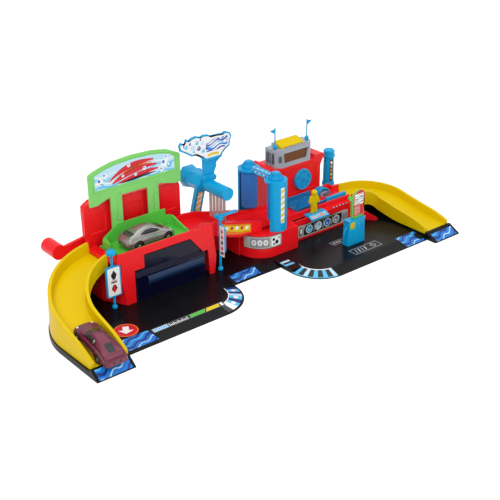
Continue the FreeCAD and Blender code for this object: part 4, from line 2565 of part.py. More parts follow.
def toy_car(name, shape, spot, turn):
    """Makes a car's five pieces around its own origin on the ground and puts it in place."""
    wheel_z = S.wheel_radius
    arch = S.wheel_radius + S.arch_fit
    lower = common(name + "_lower", [
        pad(name + "_side", "XZ", car_profile(shape), -S.car_wide, S.car_wide),
        pad(name + "_end", "YZ", [
            (1.5 - S.car_wide, S.car_sill - 1.0),
            (S.car_wide - 1.5, S.car_sill - 1.0),
            (S.car_wide, S.car_sill + 2.5),
            (S.car_wide, S.car_belt - 4.0),
            (S.car_wide - 1.6, S.car_belt + 3.0),
            (1.6 - S.car_wide, S.car_belt + 3.0),
            (-S.car_wide, S.car_belt - 4.0),
            (-S.car_wide, S.car_sill + 2.5),
        ], -S.car_half, S.car_half),
        pad(name + "_plan", "XY", [
            (-S.car_half, 3.0 - S.car_wide),
            (3.0 - S.car_half, -S.car_wide),
            (S.car_half - 9.0, -S.car_wide),
            (S.car_half - 2.0, 4.0 - S.car_wide),
            (S.car_half, 9.0 - S.car_wide),
            (S.car_half, S.car_wide - 9.0),
            (S.car_half - 2.0, S.car_wide - 4.0),
            (S.car_half - 9.0, S.car_wide),
            (3.0 - S.car_half, S.car_wide),
            (-S.car_half, S.car_wide - 3.0),
        ], S.car_sill - 1.0, S.car_roof),
    ])
    roof = cabin_form(name + "_roof", shape, length(0.0))
    cuts = []
    for end, x in (("front", S.wheelbase / 2), ("rear", -S.wheelbase / 2)):
        for side, start in (("left", S.chassis_wide), ("right", -S.car_wide - 1.0)):
            cuts.append(rod(
                name + "_arch_" + end + "_" + side,
                (x, start, wheel_z),
                arch,
                S.car_wide + 1.0 - S.chassis_wide,
                "Y",
            ))
            cuts.append(box(
                name + "_arch_low_" + end + "_" + side,
                (x - arch, start, S.car_sill - 2.0),
                (x + arch, start + S.car_wide + 1.0 - S.chassis_wide, wheel_z),
            ))
    cuts.append(box(
        name + "_belly",
        (-S.chassis_half - S.fit, -S.chassis_wide - S.fit, S.car_sill - 1.0),
        (S.chassis_half + S.fit, S.chassis_wide + S.fit, S.car_belt - 3.4),
    ))
    cuts.append(cabin_form(name + "_glass_room", shape, S.car_skin))
    cuts.append(pad(name + "_side_window", "XZ", [
        (shape["screen"] - 4.0, S.car_belt + 1.4),
        (shape["roof_front"] - 1.0, S.car_roof - shape["dip"] - 1.8),
        (shape["roof_back"] + 1.0, S.car_roof - 1.8),
        (shape["back"] + 7.0, S.car_belt + 2.0),
    ], -S.car_wide - 1.0, S.car_wide + 1.0))
    screen_low = [
        (3.6 - S.car_wide, S.car_belt + 1.4),
        (S.car_wide - 3.6, S.car_belt + 1.4),
        (S.car_wide - 6.2, S.car_roof - 1.9),
        (6.2 - S.car_wide, S.car_roof - 1.9),
    ]
    cuts.append(pad(name + "_screens", "YZ", screen_low, shape["back"], shape["screen"] + 2.0))
    glass_room_low = box(
        name + "_glass_low",
        (shape["back"] + 4.0, 4.0 - S.car_wide, S.car_belt - 4.0),
        (shape["screen"] - 3.0, S.car_wide - 4.0, S.car_belt),
    )
    cuts.append(glass_room_low)
    node(name + "_body", cut(name + "_body", fuse(name + "_shell", [lower, roof]), cuts), spot, turn)

    glass = cut(name + "_windows", cabin_form(name + "_glass", shape, S.car_skin), [
        cabin_form(name + "_glass_hollow", shape, S.car_skin + S.glass_wall),
        box(
            name + "_glass_trim",
            (-S.car_half, -S.car_wide, S.car_belt - 3.0),
            (S.car_half, S.car_wide, S.car_belt + 0.2),
        ),
    ])
    node(name + "_windows", glass, spot, turn)

    saddles = []
    bores = []
    for end, x in (("front", S.wheelbase / 2), ("rear", -S.wheelbase / 2)):
        saddles.append(box(
            name + "_saddle_" + end,
            (x - 2.5, -S.chassis_wide, S.chassis_low + S.chassis_thick - 0.5),
            (x + 2.5, S.chassis_wide, wheel_z + S.axle_radius + 1.4),
        ))
        bores.append(rod(
            name + "_axle_bore_" + end,
            (x, -S.car_wide, wheel_z),
            S.axle_radius + S.shaft_fit,
            S.car_wide * 2,
            "Y",
        ))
    plate = box(
        name + "_chassis_plate",
        (-S.chassis_half, -S.chassis_wide, S.chassis_low),
        (S.chassis_half, S.chassis_wide, S.chassis_low + S.chassis_thick),
    )
    stems = [
        box(
            name + "_stem_" + end,
            (x - 1.5, length(-3.0), S.chassis_low + 1.0),
            (x + 1.5, length(3.0), S.car_belt - 3.4),
        )
        for end, x in (("front", S.chassis_half - 3.0), ("rear", 3.0 - S.chassis_half))
    ]
    node(name + "_chassis", cut(
        name + "_chassis", fuse(name + "_chassis_body", [plate] + saddles + stems), bores
    ), spot, turn)

    for end, x in (("front", S.wheelbase / 2), ("rear", -S.wheelbase / 2)):
        rim = S.wheel_radius * 0.62
        tyre = S.car_wide - S.wheel_inset
        inner = tyre - S.wheel_width
        node(name + "_" + end + "_axle", spun(name + "_" + end + "_axle", [
            (0.0, -tyre + 0.6),
            (rim * 0.35, -tyre + 0.6),
            (rim * 0.35, -tyre + 1.2),
            (rim, -tyre + 1.2),
            (rim, -tyre),
            (S.wheel_radius - 0.4, -tyre),
            (S.wheel_radius, -tyre + 0.4),
            (S.wheel_radius, -inner),
            (S.axle_radius, -inner),
            (S.axle_radius, inner),
            (S.wheel_radius, inner),
            (S.wheel_radius, tyre - 0.4),
            (S.wheel_radius - 0.4, tyre),
            (rim, tyre),
            (rim, tyre - 1.2),
            (rim * 0.35, tyre - 1.2),
            (rim * 0.35, tyre - 0.6),
            (0.0, tyre - 0.6),
        ], (x, length(0.0), wheel_z), "Y"), spot, turn)


S.silver_x = 85
S.silver_y = 60
toy_car("silver_car", {
    "hood": 0.4, "cowl": 0.9, "deck": -24.0, "tail": 1.6,
    "screen": 15.0, "roof_front": 3.0, "roof_back": -9.0, "back": -25.0, "dip": 0.4,
}, (-S.silver_x, S.silver_y, S.tray_floor), FreeCAD.Rotation())
S.purple_y = 38
S.purple_z = 15.6
S.purple_pitch = 13.29
toy_car("purple_car", {
    "hood": 1.0, "cowl": 1.2, "deck": -26.0, "tail": 1.9,
    "screen": 12.0, "roof_front": 2.0, "roof_back": -16.0, "back": -31.0, "dip": 0.6,
}, (
    -S.left_turn_x - S.left_turn_radius, -S.purple_y, S.purple_z,
), FreeCAD.Rotation(V(1, 0, 0), float(S.purple_pitch)).multiply(
    FreeCAD.Rotation(V(0, 0, 1), 90)
))


# Every object has to be sound before a piece is written.
doc.recompute()
for thing in doc.Objects:
    if "Invalid" in thing.State or "Error" in thing.State:
        raise RuntimeError(thing.Label + " didn't compute: " + str(thing.State))
os.makedirs("parts", exist_ok=True)
for piece in nodes:
    shape = piece.Shape
    if shape.isNull() or not shape.isValid() or not shape.Solids:
        raise RuntimeError(piece.Label + " is not a sound solid")
for piece in nodes:
    piece.Shape.exportStep("parts/" + piece.Label + ".step")
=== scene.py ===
"""Looks of a toy car wash playset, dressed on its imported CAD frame.

Sizes are written in millimetres in the layout frame of the part's source, whose origin is the front
left corner of the middle floor plate. Points are turned to the row frame, in metres, by at().
"""

from __future__ import annotations

import functools
import json
import logging
import math
from collections.abc import Iterable, Mapping, Sequence
from dataclasses import dataclass, field
from enum import Enum
from typing import Any, Protocol

import bmesh
import bpy
from bmesh.types import BMesh, BMFace, BMVert
from bpy.types import Material, Mesh, Node, NodeSocket, NodeTree, Object, World
from mathutils import Matrix, Vector

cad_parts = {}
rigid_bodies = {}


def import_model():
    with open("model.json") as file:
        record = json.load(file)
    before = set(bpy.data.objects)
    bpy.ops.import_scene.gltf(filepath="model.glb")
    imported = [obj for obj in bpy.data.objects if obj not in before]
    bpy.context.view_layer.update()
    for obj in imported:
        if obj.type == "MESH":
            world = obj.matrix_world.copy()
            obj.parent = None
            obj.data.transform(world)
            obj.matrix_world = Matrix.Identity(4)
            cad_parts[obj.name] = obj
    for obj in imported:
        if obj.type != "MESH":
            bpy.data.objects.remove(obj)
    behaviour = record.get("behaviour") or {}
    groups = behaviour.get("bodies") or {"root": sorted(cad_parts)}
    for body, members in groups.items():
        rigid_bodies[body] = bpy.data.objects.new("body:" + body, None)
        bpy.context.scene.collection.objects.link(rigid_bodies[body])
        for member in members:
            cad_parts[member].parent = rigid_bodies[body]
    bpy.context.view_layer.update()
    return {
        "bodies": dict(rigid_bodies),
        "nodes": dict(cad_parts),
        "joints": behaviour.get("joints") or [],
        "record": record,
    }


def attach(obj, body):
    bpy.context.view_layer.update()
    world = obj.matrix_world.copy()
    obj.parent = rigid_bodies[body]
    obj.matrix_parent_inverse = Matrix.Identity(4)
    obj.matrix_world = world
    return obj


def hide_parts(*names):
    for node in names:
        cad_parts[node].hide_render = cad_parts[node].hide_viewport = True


LOG = logging.getLogger("car_wash")
MM = 0.001
LAYOUT_MIDDLE = Vector((43.75, 25.5, 0.0))
DRUM_SIDES = 14
BEAD_SIDES = 8
ROUND_CREASE = 40.0  # Degrees above which an edge of a round piece stays sharp.

Pair = tuple[float, float]
Triple = tuple[float, float, float]


def at(x: float, y: float, z: float) -> Vector:
    """Turns a layout point in millimetres into the row frame.

    Args:
        x: Along the toy, to the right.
        y: Towards its back.
        z: Above the floor.

    Returns:
        The point in metres.
    """
    return (Vector((x, y, z)) - LAYOUT_MIDDLE) * MM


def linear(colour: str) -> tuple[float, float, float, float]:
    """Turns an sRGB hex colour into linear RGBA.

    Args:
        colour: Six hex digits after a hash.

    Returns:
        Red, green, blue and an alpha of one.
    """
    parts = [int(colour[i : i + 2], 16) / 255 for i in (1, 3, 5)]
    low = [p / 12.92 if p <= 0.04045 else ((p + 0.055) / 1.055) ** 2.4 for p in parts]
    return (low[0], low[1], low[2], 1.0)


def add_node(
    tree: NodeTree, kind: str, inputs: Mapping[str | int, Any] | None = None, **settings: Any
) -> Node:
    """Adds a node with its settings, its values and its links.

    Args:
        tree: The tree that it goes into.
        kind: The node's type name.
        inputs: Sockets by name or place, each with a value or the socket that feeds it.
        **settings: Attributes to set on it.

    Returns:
        The node.
    """
    node = tree.nodes.new(kind)
    for name, value in settings.items():
        setattr(node, name, value)
    for key, value in (inputs or {}).items():
        if isinstance(value, NodeSocket):
            tree.links.new(value, node.inputs[key])
        else:
            node.inputs[key].default_value = value
    return node


def empty_nodes(holder: Material | World) -> NodeTree:
    """Turns nodes on for a material or a world and gives its emptied tree."""
    holder.use_nodes = True
    holder.node_tree.nodes.clear()
    return holder.node_tree


# Finishes


@dataclass(frozen=True)
class Moulded:
    """A moulded plastic, from its colour and the texture that its mould leaves.

    Attributes:
        name: What the material is.
        colour: Its sRGB hex colour.
        roughness: Mean roughness of its skin.
        grain_mm: Width of the mould's grain.
        grain_depth_mm: Height of that grain.
        drift: Share by which flow marks darken and lighten the colour.
        edge_highlight: Share by which a painted highlight lightens the rounded edges.
        clear: Share of light that goes through.
        metal: Share of metal, for flake in a paint.
        coat: Strength of a lacquer on top.
        soft: Share of light that scatters below the skin.
        edge_mm: Radius of its worn edges.
        shine: Strength of the plain reflection.
    """

    name: str
    colour: str
    roughness: float
    grain_mm: float
    grain_depth_mm: float
    drift: float
    edge_highlight: float
    clear: float = 0.0
    metal: float = 0.0
    coat: float = 0.0
    soft: float = 0.0
    # edge_mm: Radius of its rounded edges, which carry the painted highlight.
    edge_mm: float = 0.55
    shine: float = 0.3

    FLOW_MM = 26
    PLASTIC_IOR = 1.53
    NOISE_DETAIL = 3.0
    EDGE_SAMPLES = 4
    # Painted highlight on the rounded edges: as the edge normal turns from the face's between these
    # two levels, the colour goes towards white by the share below.
    RUBBED_FROM, RUBBED_TO = 0.99, 0.8
    HIGHLIGHT_WHITE = 0.45
    COAT_ROUGHNESS = 0.06
    SCATTER_M = 0.002

    def make(self) -> Material:
        """Builds the material's nodes and returns it."""
        material = bpy.data.materials.new(self.name)
        tree = empty_nodes(material)
        place = add_node(tree, "ShaderNodeTexCoord").outputs["Object"]
        grain = add_node(tree, "ShaderNodeTexNoise", {
            "Vector": place, "Scale": 1 / (self.grain_mm * MM), "Detail": self.NOISE_DETAIL,
            "Roughness": 0.55,
        }).outputs["Fac"]
        flow = add_node(tree, "ShaderNodeTexNoise", {
            "Vector": place, "Scale": 1 / (self.FLOW_MM * MM), "Detail": self.NOISE_DETAIL,
        }).outputs["Fac"]
        # The rounded edge's normal departs from the flat face's; there the colour is lightened
        # towards white as a painted highlight.
        edge = add_node(
            tree, "ShaderNodeBevel", {"Radius": self.edge_mm * MM}, samples=self.EDGE_SAMPLES
        ).outputs["Normal"]
        flat = add_node(tree, "ShaderNodeNewGeometry").outputs["True Normal"]
        level = add_node(tree, "ShaderNodeVectorMath", {0: edge, 1: flat}, operation="DOT_PRODUCT")
        painted_highlight = add_node(tree, "ShaderNodeMapRange", {
            "Value": level.outputs["Value"], "From Min": self.RUBBED_FROM,
            "From Max": self.RUBBED_TO, "To Min": 0.0, "To Max": self.edge_highlight,
        }).outputs["Result"]
        base = linear(self.colour)
        dark = tuple(c * (1 - self.drift) for c in base[:3]) + (1.0,)
        light = tuple(min(1.0, c * (1 + self.drift)) for c in base[:3]) + (1.0,)
        # Colour of the painted highlight on the rounded edges.
        highlight_colour = tuple(c + (1 - c) * self.HIGHLIGHT_WHITE for c in base[:3]) + (1.0,)
        tint = add_node(tree, "ShaderNodeMix", {0: flow, 6: dark, 7: light}, data_type="RGBA")
        skin = add_node(
            tree, "ShaderNodeMix", {0: painted_highlight, 6: tint.outputs[2], 7: highlight_colour}, data_type="RGBA"
        )
        rough = add_node(tree, "ShaderNodeMapRange", {
            "Value": flow, "From Min": 0.3, "From Max": 0.7,
            "To Min": max(0.02, self.roughness - 0.05), "To Max": self.roughness + 0.07,
        })
        bump = add_node(tree, "ShaderNodeBump", {
            "Strength": 0.5, "Distance": self.grain_depth_mm * MM, "Height": grain, "Normal": edge,
        })
        shader = add_node(tree, "ShaderNodeBsdfPrincipled", {
            "Base Color": skin.outputs[2],
            "Roughness": rough.outputs["Result"],
            "Normal": bump.outputs["Normal"],
            "Metallic": self.metal,
            "IOR": self.PLASTIC_IOR,
            "Specular IOR Level": self.shine,
            "Transmission Weight": self.clear,
            "Coat Weight": self.coat,
            "Coat Roughness": self.COAT_ROUGHNESS,
            "Subsurface Weight": self.soft,
            "Subsurface Radius": (self.SCATTER_M, self.SCATTER_M, self.SCATTER_M),
        })
        add_node(tree, "ShaderNodeOutputMaterial", {"Surface": shader.outputs["BSDF"]})
        material.diffuse_color = base
        return material


class Finish(Enum):
    """Every plastic, paint and metal on the toy, named for what it is."""

    # Floor plates: ABS moulded in a satin tool, so the black has a soft broken shine.
    BLACK_ABS = Moulded("black_satin_abs", "#0b0b0f", 0.3, 0.8, 0.03, 0.12, 0.06, shine=0.12)
    # Chutes, hatch and attendant: high-gloss ABS with a faint orange-peel skin.
    YELLOW_ABS = Moulded("yellow_gloss_abs", "#dcbc00", 0.36, 2.4, 0.008, 0.02, 0.1, shine=0.08)
    # Houses, track and tower: high-gloss ABS, the toy's main plastic.
    RED_ABS = Moulded("red_gloss_abs", "#ee141d", 0.27, 2.4, 0.01, 0.03, 0.16, shine=0.2)
    # Tank: tinted polycarbonate, deep enough to look nearly black where it is thick.
    NAVY_CLEAR = Moulded(
        "navy_tinted_polycarbonate", "#04052a", 0.12, 3.0, 0.02, 0.1, 0.3, 0.25, shine=0.12
    )
    # Tank's round ledge: the same polycarbonate in a lighter navy, a painted highlight for the
    # light that falls on the ledge.
    NAVY_PAINTED_HIGHLIGHT = Moulded(
        "navy_polycarbonate_painted_highlight", "#152f55", 0.18, 3.0, 0.02, 0.1, 0.25, 0.15, shine=0.15
    )
    # Lift: gloss polypropylene, a little waxy.
    GREEN_PP = Moulded("green_polypropylene", "#7dce68", 0.31, 2.2, 0.012, 0.04, 0.2, soft=0.04)
    # Lift's tray: the same polypropylene in a darker green, painted shade over the whole tray.
    GREEN_SHADED_TRAY = Moulded(
        "green_polypropylene_painted_shade", "#5cc547", 0.33, 2.2, 0.012, 0.04, 0.2, soft=0.04, shine=0.2
    )
    # Posts, dial, roller frame and pump: high-gloss ABS.
    BLUE_ABS = Moulded("light_blue_gloss_abs", "#009fd6", 0.28, 2.2, 0.01, 0.03, 0.18, shine=0.18)
    # Dial's raised marks: the same ABS, darker where the hot stamp has pressed it.
    BLUE_LINE = Moulded("deep_blue_stamped_abs", "#0583b8", 0.3, 2.2, 0.012, 0.03, 0.2)
    # Basin: tinted polycarbonate over the red floor.
    BLUE_CLEAR = Moulded("blue_tinted_polycarbonate", "#0f86c8", 0.12, 3.0, 0.02, 0.08, 0.4, 0.3)
    # Cabin and inner parts: satin ABS.
    GREY_ABS = Moulded("grey_satin_abs", "#a2a9b3", 0.38, 0.9, 0.03, 0.07, 0.2)
    # Rollers: foam sleeves, so the skin is matt with an open pore.
    FOAM = Moulded("blue_roller_foam", "#2d6fb8", 0.55, 1.1, 0.14, 0.12, 0.1, soft=0.06)
    # Curtain: milky vinyl film.
    VINYL = Moulded("milky_vinyl_film", "#c3b3b2", 0.32, 1.2, 0.03, 0.08, 0.1, 0.25, soft=0.1)
    # Cabin window: smoked polycarbonate.
    AMBER_CLEAR = Moulded(
        "smoked_amber_polycarbonate", "#7a4300", 0.14, 2.0, 0.02, 0.2, 0.15, 0.25, shine=0.12
    )
    # Pump's sign board: gloss polypropylene.
    SIGN_PP = Moulded("green_sign_polypropylene", "#5fc247", 0.3, 1.4, 0.02, 0.05, 0.25)
    # Screws: zinc-plated steel.
    STEEL = Moulded("zinc_plated_steel", "#b9bcc0", 0.28, 0.5, 0.01, 0.1, 0.3, metal=1.0)
    # Silver car: metallic lacquer on a die-cast body.
    SILVER = Moulded(
        "silver_metallic_lacquer", "#8c8a85", 0.3, 0.35, 0.008, 0.08, 0.1, metal=0.7, coat=0.7
    )
    # Purple car: metallic lacquer on a die-cast body.
    PURPLE = Moulded(
        "purple_metallic_lacquer", "#640f31", 0.34, 0.35, 0.008, 0.1, 0.06, metal=0.35, coat=0.4
    )
    # Car windows: dark smoked polystyrene.
    CAR_GLASS = Moulded("smoked_polystyrene", "#14171b", 0.08, 2.0, 0.01, 0.1, 0.1)
    # Car floors: satin ABS. The same charcoal also stands as painted shade in slots, vent openings
    # and the dryer grille.
    CHASSIS_AND_PAINTED_SHADE = Moulded("charcoal_satin_abs", "#202124", 0.42, 0.7, 0.03, 0.1, 0.2)
    # Tyres and wheels: gloss polystyrene.
    WHEEL = Moulded("black_polystyrene", "#141416", 0.35, 0.7, 0.02, 0.1, 0.2)
    # Wheel faces: chromed polystyrene.
    CHROME = Moulded("chromed_polystyrene", "#c4c6c8", 0.16, 0.8, 0.005, 0.08, 0.1, metal=1.0)


class Ink(Enum):
    """Inks of the printed vinyl stickers: a smooth film with a faint peel, a little less bright."""

    WHITE = "#eef0f0"
    BLACK = "#16171a"
    RED = "#cf1f2b"
    ORANGE = "#ee7a1c"
    YELLOW = "#e0c400"
    SKY = "#55bfea"
    PALE = "#b9dff2"
    BLUE = "#1976d2"
    NAVY = "#13357e"
    GREEN = "#55b544"
    GREY = "#86868c"
    SILVER = "#b3aea6"
    PURPLE = "#5c4ea2"
    SMOKE = "#3a3b40"
    JADE = "#2f8f6a"


Look = Finish | Ink
Area = tuple[Sequence[Pair], Look, int]


@functools.cache
def material_of(choice: Look) -> Material:
    """Gives the material of a finish or an ink, made once.

    Args:
        choice: The finish or the ink.

    Returns:
        Its material.
    """
    if isinstance(choice, Finish):
        return choice.value.make()
    name = "vinyl_print_" + choice.name.lower()
    return Moulded(name, choice.value, 0.33, 0.6, 0.008, 0.05, 0.0, edge_mm=0.05).make()


NODE_FINISHES: dict[Finish, tuple[str, ...]] = {
    Finish.BLACK_ABS: ("base_left", "base_middle", "base_right"),
    Finish.YELLOW_ABS: ("left_chute", "right_chute", "tower_hatch", "attendant_figure"),
    Finish.RED_ABS: (
        "garage_shell", "chute_inlet", "lift_back_wall", "garage_rear_cover", "lever", "ramp_track",
        "wash_station", "rear_roller_stand", "wash_bay", "tower_shell", "tower_rear_cover",
        "chute_bracket",
    ),
    Finish.NAVY_CLEAR: ("dunk_tank",),
    Finish.GREEN_PP: ("lift_sign",),
    # The tray takes the darker copy of the lift's green: painted shade.
    Finish.GREEN_SHADED_TRAY: ("lift_tray",),
    Finish.BLUE_ABS: (
        "left_sign_post", "middle_sign_post", "roller_frame", "splash_sign", "wash_slider",
        "wash_rail", "dryer_hood", "tower_dial", "flag_left", "flag_right", "water_column",
        "pump_body", "gantry", "boom_arm",
    ),
    Finish.BLUE_CLEAR: ("wash_basin",),
    Finish.GREY_ABS: (
        "lift_carriage", "lever_pivot_pin", "spindle_front", "spindle_rear", "dryer_grille",
        "tower_cabin",
    ),
    Finish.FOAM: ("roller_front", "roller_rear"),
    Finish.VINYL: ("wash_curtain",),
    Finish.AMBER_CLEAR: ("cabin_window",),
    Finish.SIGN_PP: ("pump_sign",),
    Finish.STEEL: ("carriage_screws",),
    Finish.SILVER: ("silver_car_body",),
    Finish.PURPLE: ("purple_car_body",),
    Finish.CAR_GLASS: ("silver_car_windows", "purple_car_windows"),
    Finish.CHASSIS_AND_PAINTED_SHADE: ("silver_car_chassis", "purple_car_chassis"),
    Finish.WHEEL: (
        "silver_car_front_axle", "silver_car_rear_axle", "purple_car_front_axle",
        "purple_car_rear_axle",
    ),
}


def dress_nodes(nodes: Mapping[str, Object]) -> None:
    """Gives every CAD node its own finish.

    Args:
        nodes: The frame's nodes by name.
    """
    for finish, names in NODE_FINISHES.items():
        for name in names:
            mesh = nodes[name].data
            mesh.materials.clear()
            mesh.materials.append(material_of(finish))
            LOG.info("dressed %s in %s", name, finish.value.name)


# Places for stickers


class Surface(Protocol):
    """A place that a sticker lies on."""

    folds: tuple[float, ...]
    cuts: tuple[float, ...]

    def point(self, u: float, v: float, h: float) -> Vector:
        """Gives the place of a point of the sticker, h above the surface."""


@dataclass(frozen=True)
class Flat:
    """A flat face: its corner, and the directions across and up it, which face the viewer.

    Attributes:
        corner: Layout point of the sticker's lower left corner.
        across: Direction of its width.
        up: Direction of its height.
    """

    corner: Triple
    across: Triple
    up: Triple
    folds: tuple[float, ...] = ()
    cuts: tuple[float, ...] = ()

    def point(self, u: float, v: float, h: float) -> Vector:
        """Gives the place of a point of the sticker, h above the face."""
        across, up = Vector(self.across).normalized(), Vector(self.up).normalized()
        spot = Vector(self.corner) + across * u + up * v + across.cross(up) * h
        return at(*spot)


@dataclass(frozen=True)
class Drum:
    """The outside of an upright cylinder, from a start angle counterclockwise.

    Attributes:
        centre: Layout X and Y of its axis.
        radius: Its radius.
        start: Angle of the sticker's left edge, in degrees from +X.
        low: Level of the sticker's lower edge.
        width: The sticker's width along the arc.
        straight: Length after which it goes on straight, along the cylinder's tangent.
    """

    centre: Pair
    radius: float
    start: float
    low: float
    width: float
    folds: tuple[float, ...] = ()
    straight: float = 1e9

    @property
    def cuts(self) -> tuple[float, ...]:
        """Gives the places at which faces are divided to follow the round."""
        count = max(4, int(self.width / 1.6))
        return tuple(self.width * i / count for i in range(1, count))

    def point(self, u: float, v: float, h: float) -> Vector:
        """Gives the place of a point of the sticker, h above the cylinder."""
        angle = math.radians(self.start) + min(u, self.straight) / self.radius
        reach, past = self.radius + h, max(0.0, u - self.straight)
        return at(
            self.centre[0] + reach * math.cos(angle) - past * math.sin(angle),
            self.centre[1] + reach * math.sin(angle) + past * math.cos(angle),
            self.low + v,
        )


@dataclass(frozen=True)
class Ground:
    """A floor plate's top, whose level changes along Y as its apron slopes down.

    Attributes:
        knots: (y, z) points of the profile, front first.
    """

    knots: tuple[Pair, ...]
    cuts: tuple[float, ...] = ()

    @property
    def folds(self) -> tuple[float, ...]:
        """Gives the levels of Y at which the profile bends."""
        return tuple(y for y, _ in self.knots)

    def point(self, u: float, v: float, h: float) -> Vector:
        """Gives the place of a point of the sticker, h above the plate."""
        before = [k for k in self.knots if k[0] <= v] or [self.knots[0]]
        after = [k for k in self.knots if k[0] > v] or [self.knots[-1]]
        (y0, z0), (y1, z1) = before[-1], after[0]
        share = (v - y0) / (y1 - y0) if y1 > y0 else 0.0
        return at(u, v, z0 + (z1 - z0) * min(1.0, max(0.0, share)) + h)


@dataclass(frozen=True)
class Corner:
    """A plate's rounded corner, whose rim slopes down towards its edge.

    Attributes:
        centre: Layout X and Y of the corner's centre.
        knots: (radius, z) points of its profile, from the inside out.
    """

    centre: Pair
    knots: tuple[Pair, Pair]
    folds: tuple[float, ...] = ()
    cuts: tuple[float, ...] = ()

    def point(self, u: float, v: float, h: float) -> Vector:
        """Gives the place of a point of the sticker, h above the corner."""
        reach = math.hypot(u - self.centre[0], v - self.centre[1])
        (r0, z0), (r1, z1) = self.knots
        share = min(1.0, max(0.0, (reach - r0) / (r1 - r0)))
        return at(u, v, z0 + (z1 - z0) * share + h)


def upright(x: float, y: float, z: float) -> Flat:
    """Gives an upright face that looks to the front, from its lower left corner."""
    return Flat((x, y, z), (1, 0, 0), (0, 0, 1))


def lying(x: float, y: float, z: float) -> Flat:
    """Gives a level face that looks up, from its front left corner."""
    return Flat((x, y, z), (1, 0, 0), (0, 1, 0))


def clipped(outline: Sequence[Pair], limits: Sequence[Pair]) -> list[Pair]:
    """Cuts a shape to the inside of a convex outline.

    Args:
        outline: The shape's corners.
        limits: The convex outline's corners, counterclockwise.

    Returns:
        The corners of what is left, or an empty list.
    """
    result = list(outline)
    for (ax, ay), (bx, by) in zip(limits, [*limits[1:], limits[0]]):
        source, result = result, []
        for (px, py), (qx, qy) in zip(source, [*source[1:], *source[:1]]):
            p_side = (bx - ax) * (py - ay) - (by - ay) * (px - ax)
            q_side = (bx - ax) * (qy - ay) - (by - ay) * (qx - ax)
            if p_side >= 0:
                result.append((px, py))
            if p_side * q_side < 0:
                share = p_side / (p_side - q_side)
                result.append((px + (qx - px) * share, py + (qy - py) * share))
        if len(result) < 3:
            return []
    return result


def oblong(u: float, v: float, width: float, height: float) -> list[Pair]:
    """Gives an upright oblong from its lower left corner."""
    return [(u, v), (u + width, v), (u + width, v + height), (u, v + height)]


def polar(u: float, v: float, radius: float, turn: float) -> Pair:
    """Gives the point at a radius and an angle in degrees from a centre."""
    return u + radius * math.cos(math.radians(turn)), v + radius * math.sin(math.radians(turn))


def rounded(u: float, v: float, width: float, height: float, radius: float) -> list[Pair]:
    """Gives an oblong with round corners.

    Args:
        u: Its left edge.
        v: Its lower edge.
        width: Its width.
        height: Its height.
        radius: Radius of its corners.

    Returns:
        Its outline, counterclockwise.
    """
    spots = (
        (u + width - radius, v + radius, -90), (u + width - radius, v + height - radius, 0),
        (u + radius, v + height - radius, 90), (u + radius, v + radius, 180),
    )
    return [polar(*spot, radius, turn + step) for *spot, turn in spots for step in (0, 30, 60, 90)]


def disc(u: float, v: float, radius: float, tall: float = 1.0, steps: int = 28) -> list[Pair]:
    """Gives a disc or an ellipse.

    Args:
        u: Its middle across.
        v: Its middle up.
        radius: Its half width.
        tall: Its height as a share of its width.
        steps: Number of its corners.

    Returns:
        Its outline, counterclockwise.
    """
    turns = [math.tau * i / steps for i in range(steps)]
    return [(u + radius * math.cos(t), v + radius * tall * math.sin(t)) for t in turns]


@dataclass(frozen=True)
class Tag:
    """What a piece is called, what carries it and what it is made of.

    Attributes:
        name: The piece's name.
        slot: The record's material slot of what carries it.
        finish: Its finish, unless its faces take several.
        body: The CAD body that it rides on.
    """

    name: str
    slot: str = "blue_abs"
    finish: Look = Finish.BLUE_ABS
    body: str = "playset"


def piece_from(
    mesh: BMesh,
    tag: Tag,
    inks: Iterable[Look] = (),
    smooth: bool = False,
) -> Object:
    """Turns a finished mesh into a piece that rides on a body.

    Args:
        mesh: The mesh, in the row frame. It is freed.
        tag: The piece's name, finish and carrier.
        inks: Its finishes in the order of its material indices, if it has several.
        smooth: Whether its faces are shaded as one round surface.

    Returns:
        The piece.
    """
    data = bpy.data.meshes.new(tag.name)
    mesh.to_mesh(data)
    mesh.free()
    for choice in inks or (tag.finish,):
        data.materials.append(material_of(choice))
    if smooth:
        data.shade_smooth()
    piece = bpy.data.objects.new(tag.name, data)
    bpy.context.scene.collection.objects.link(piece)
    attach(piece, tag.body)
    LOG.info("built %s on %s: %d faces", piece.name, tag.body, len(data.polygons))
    return piece


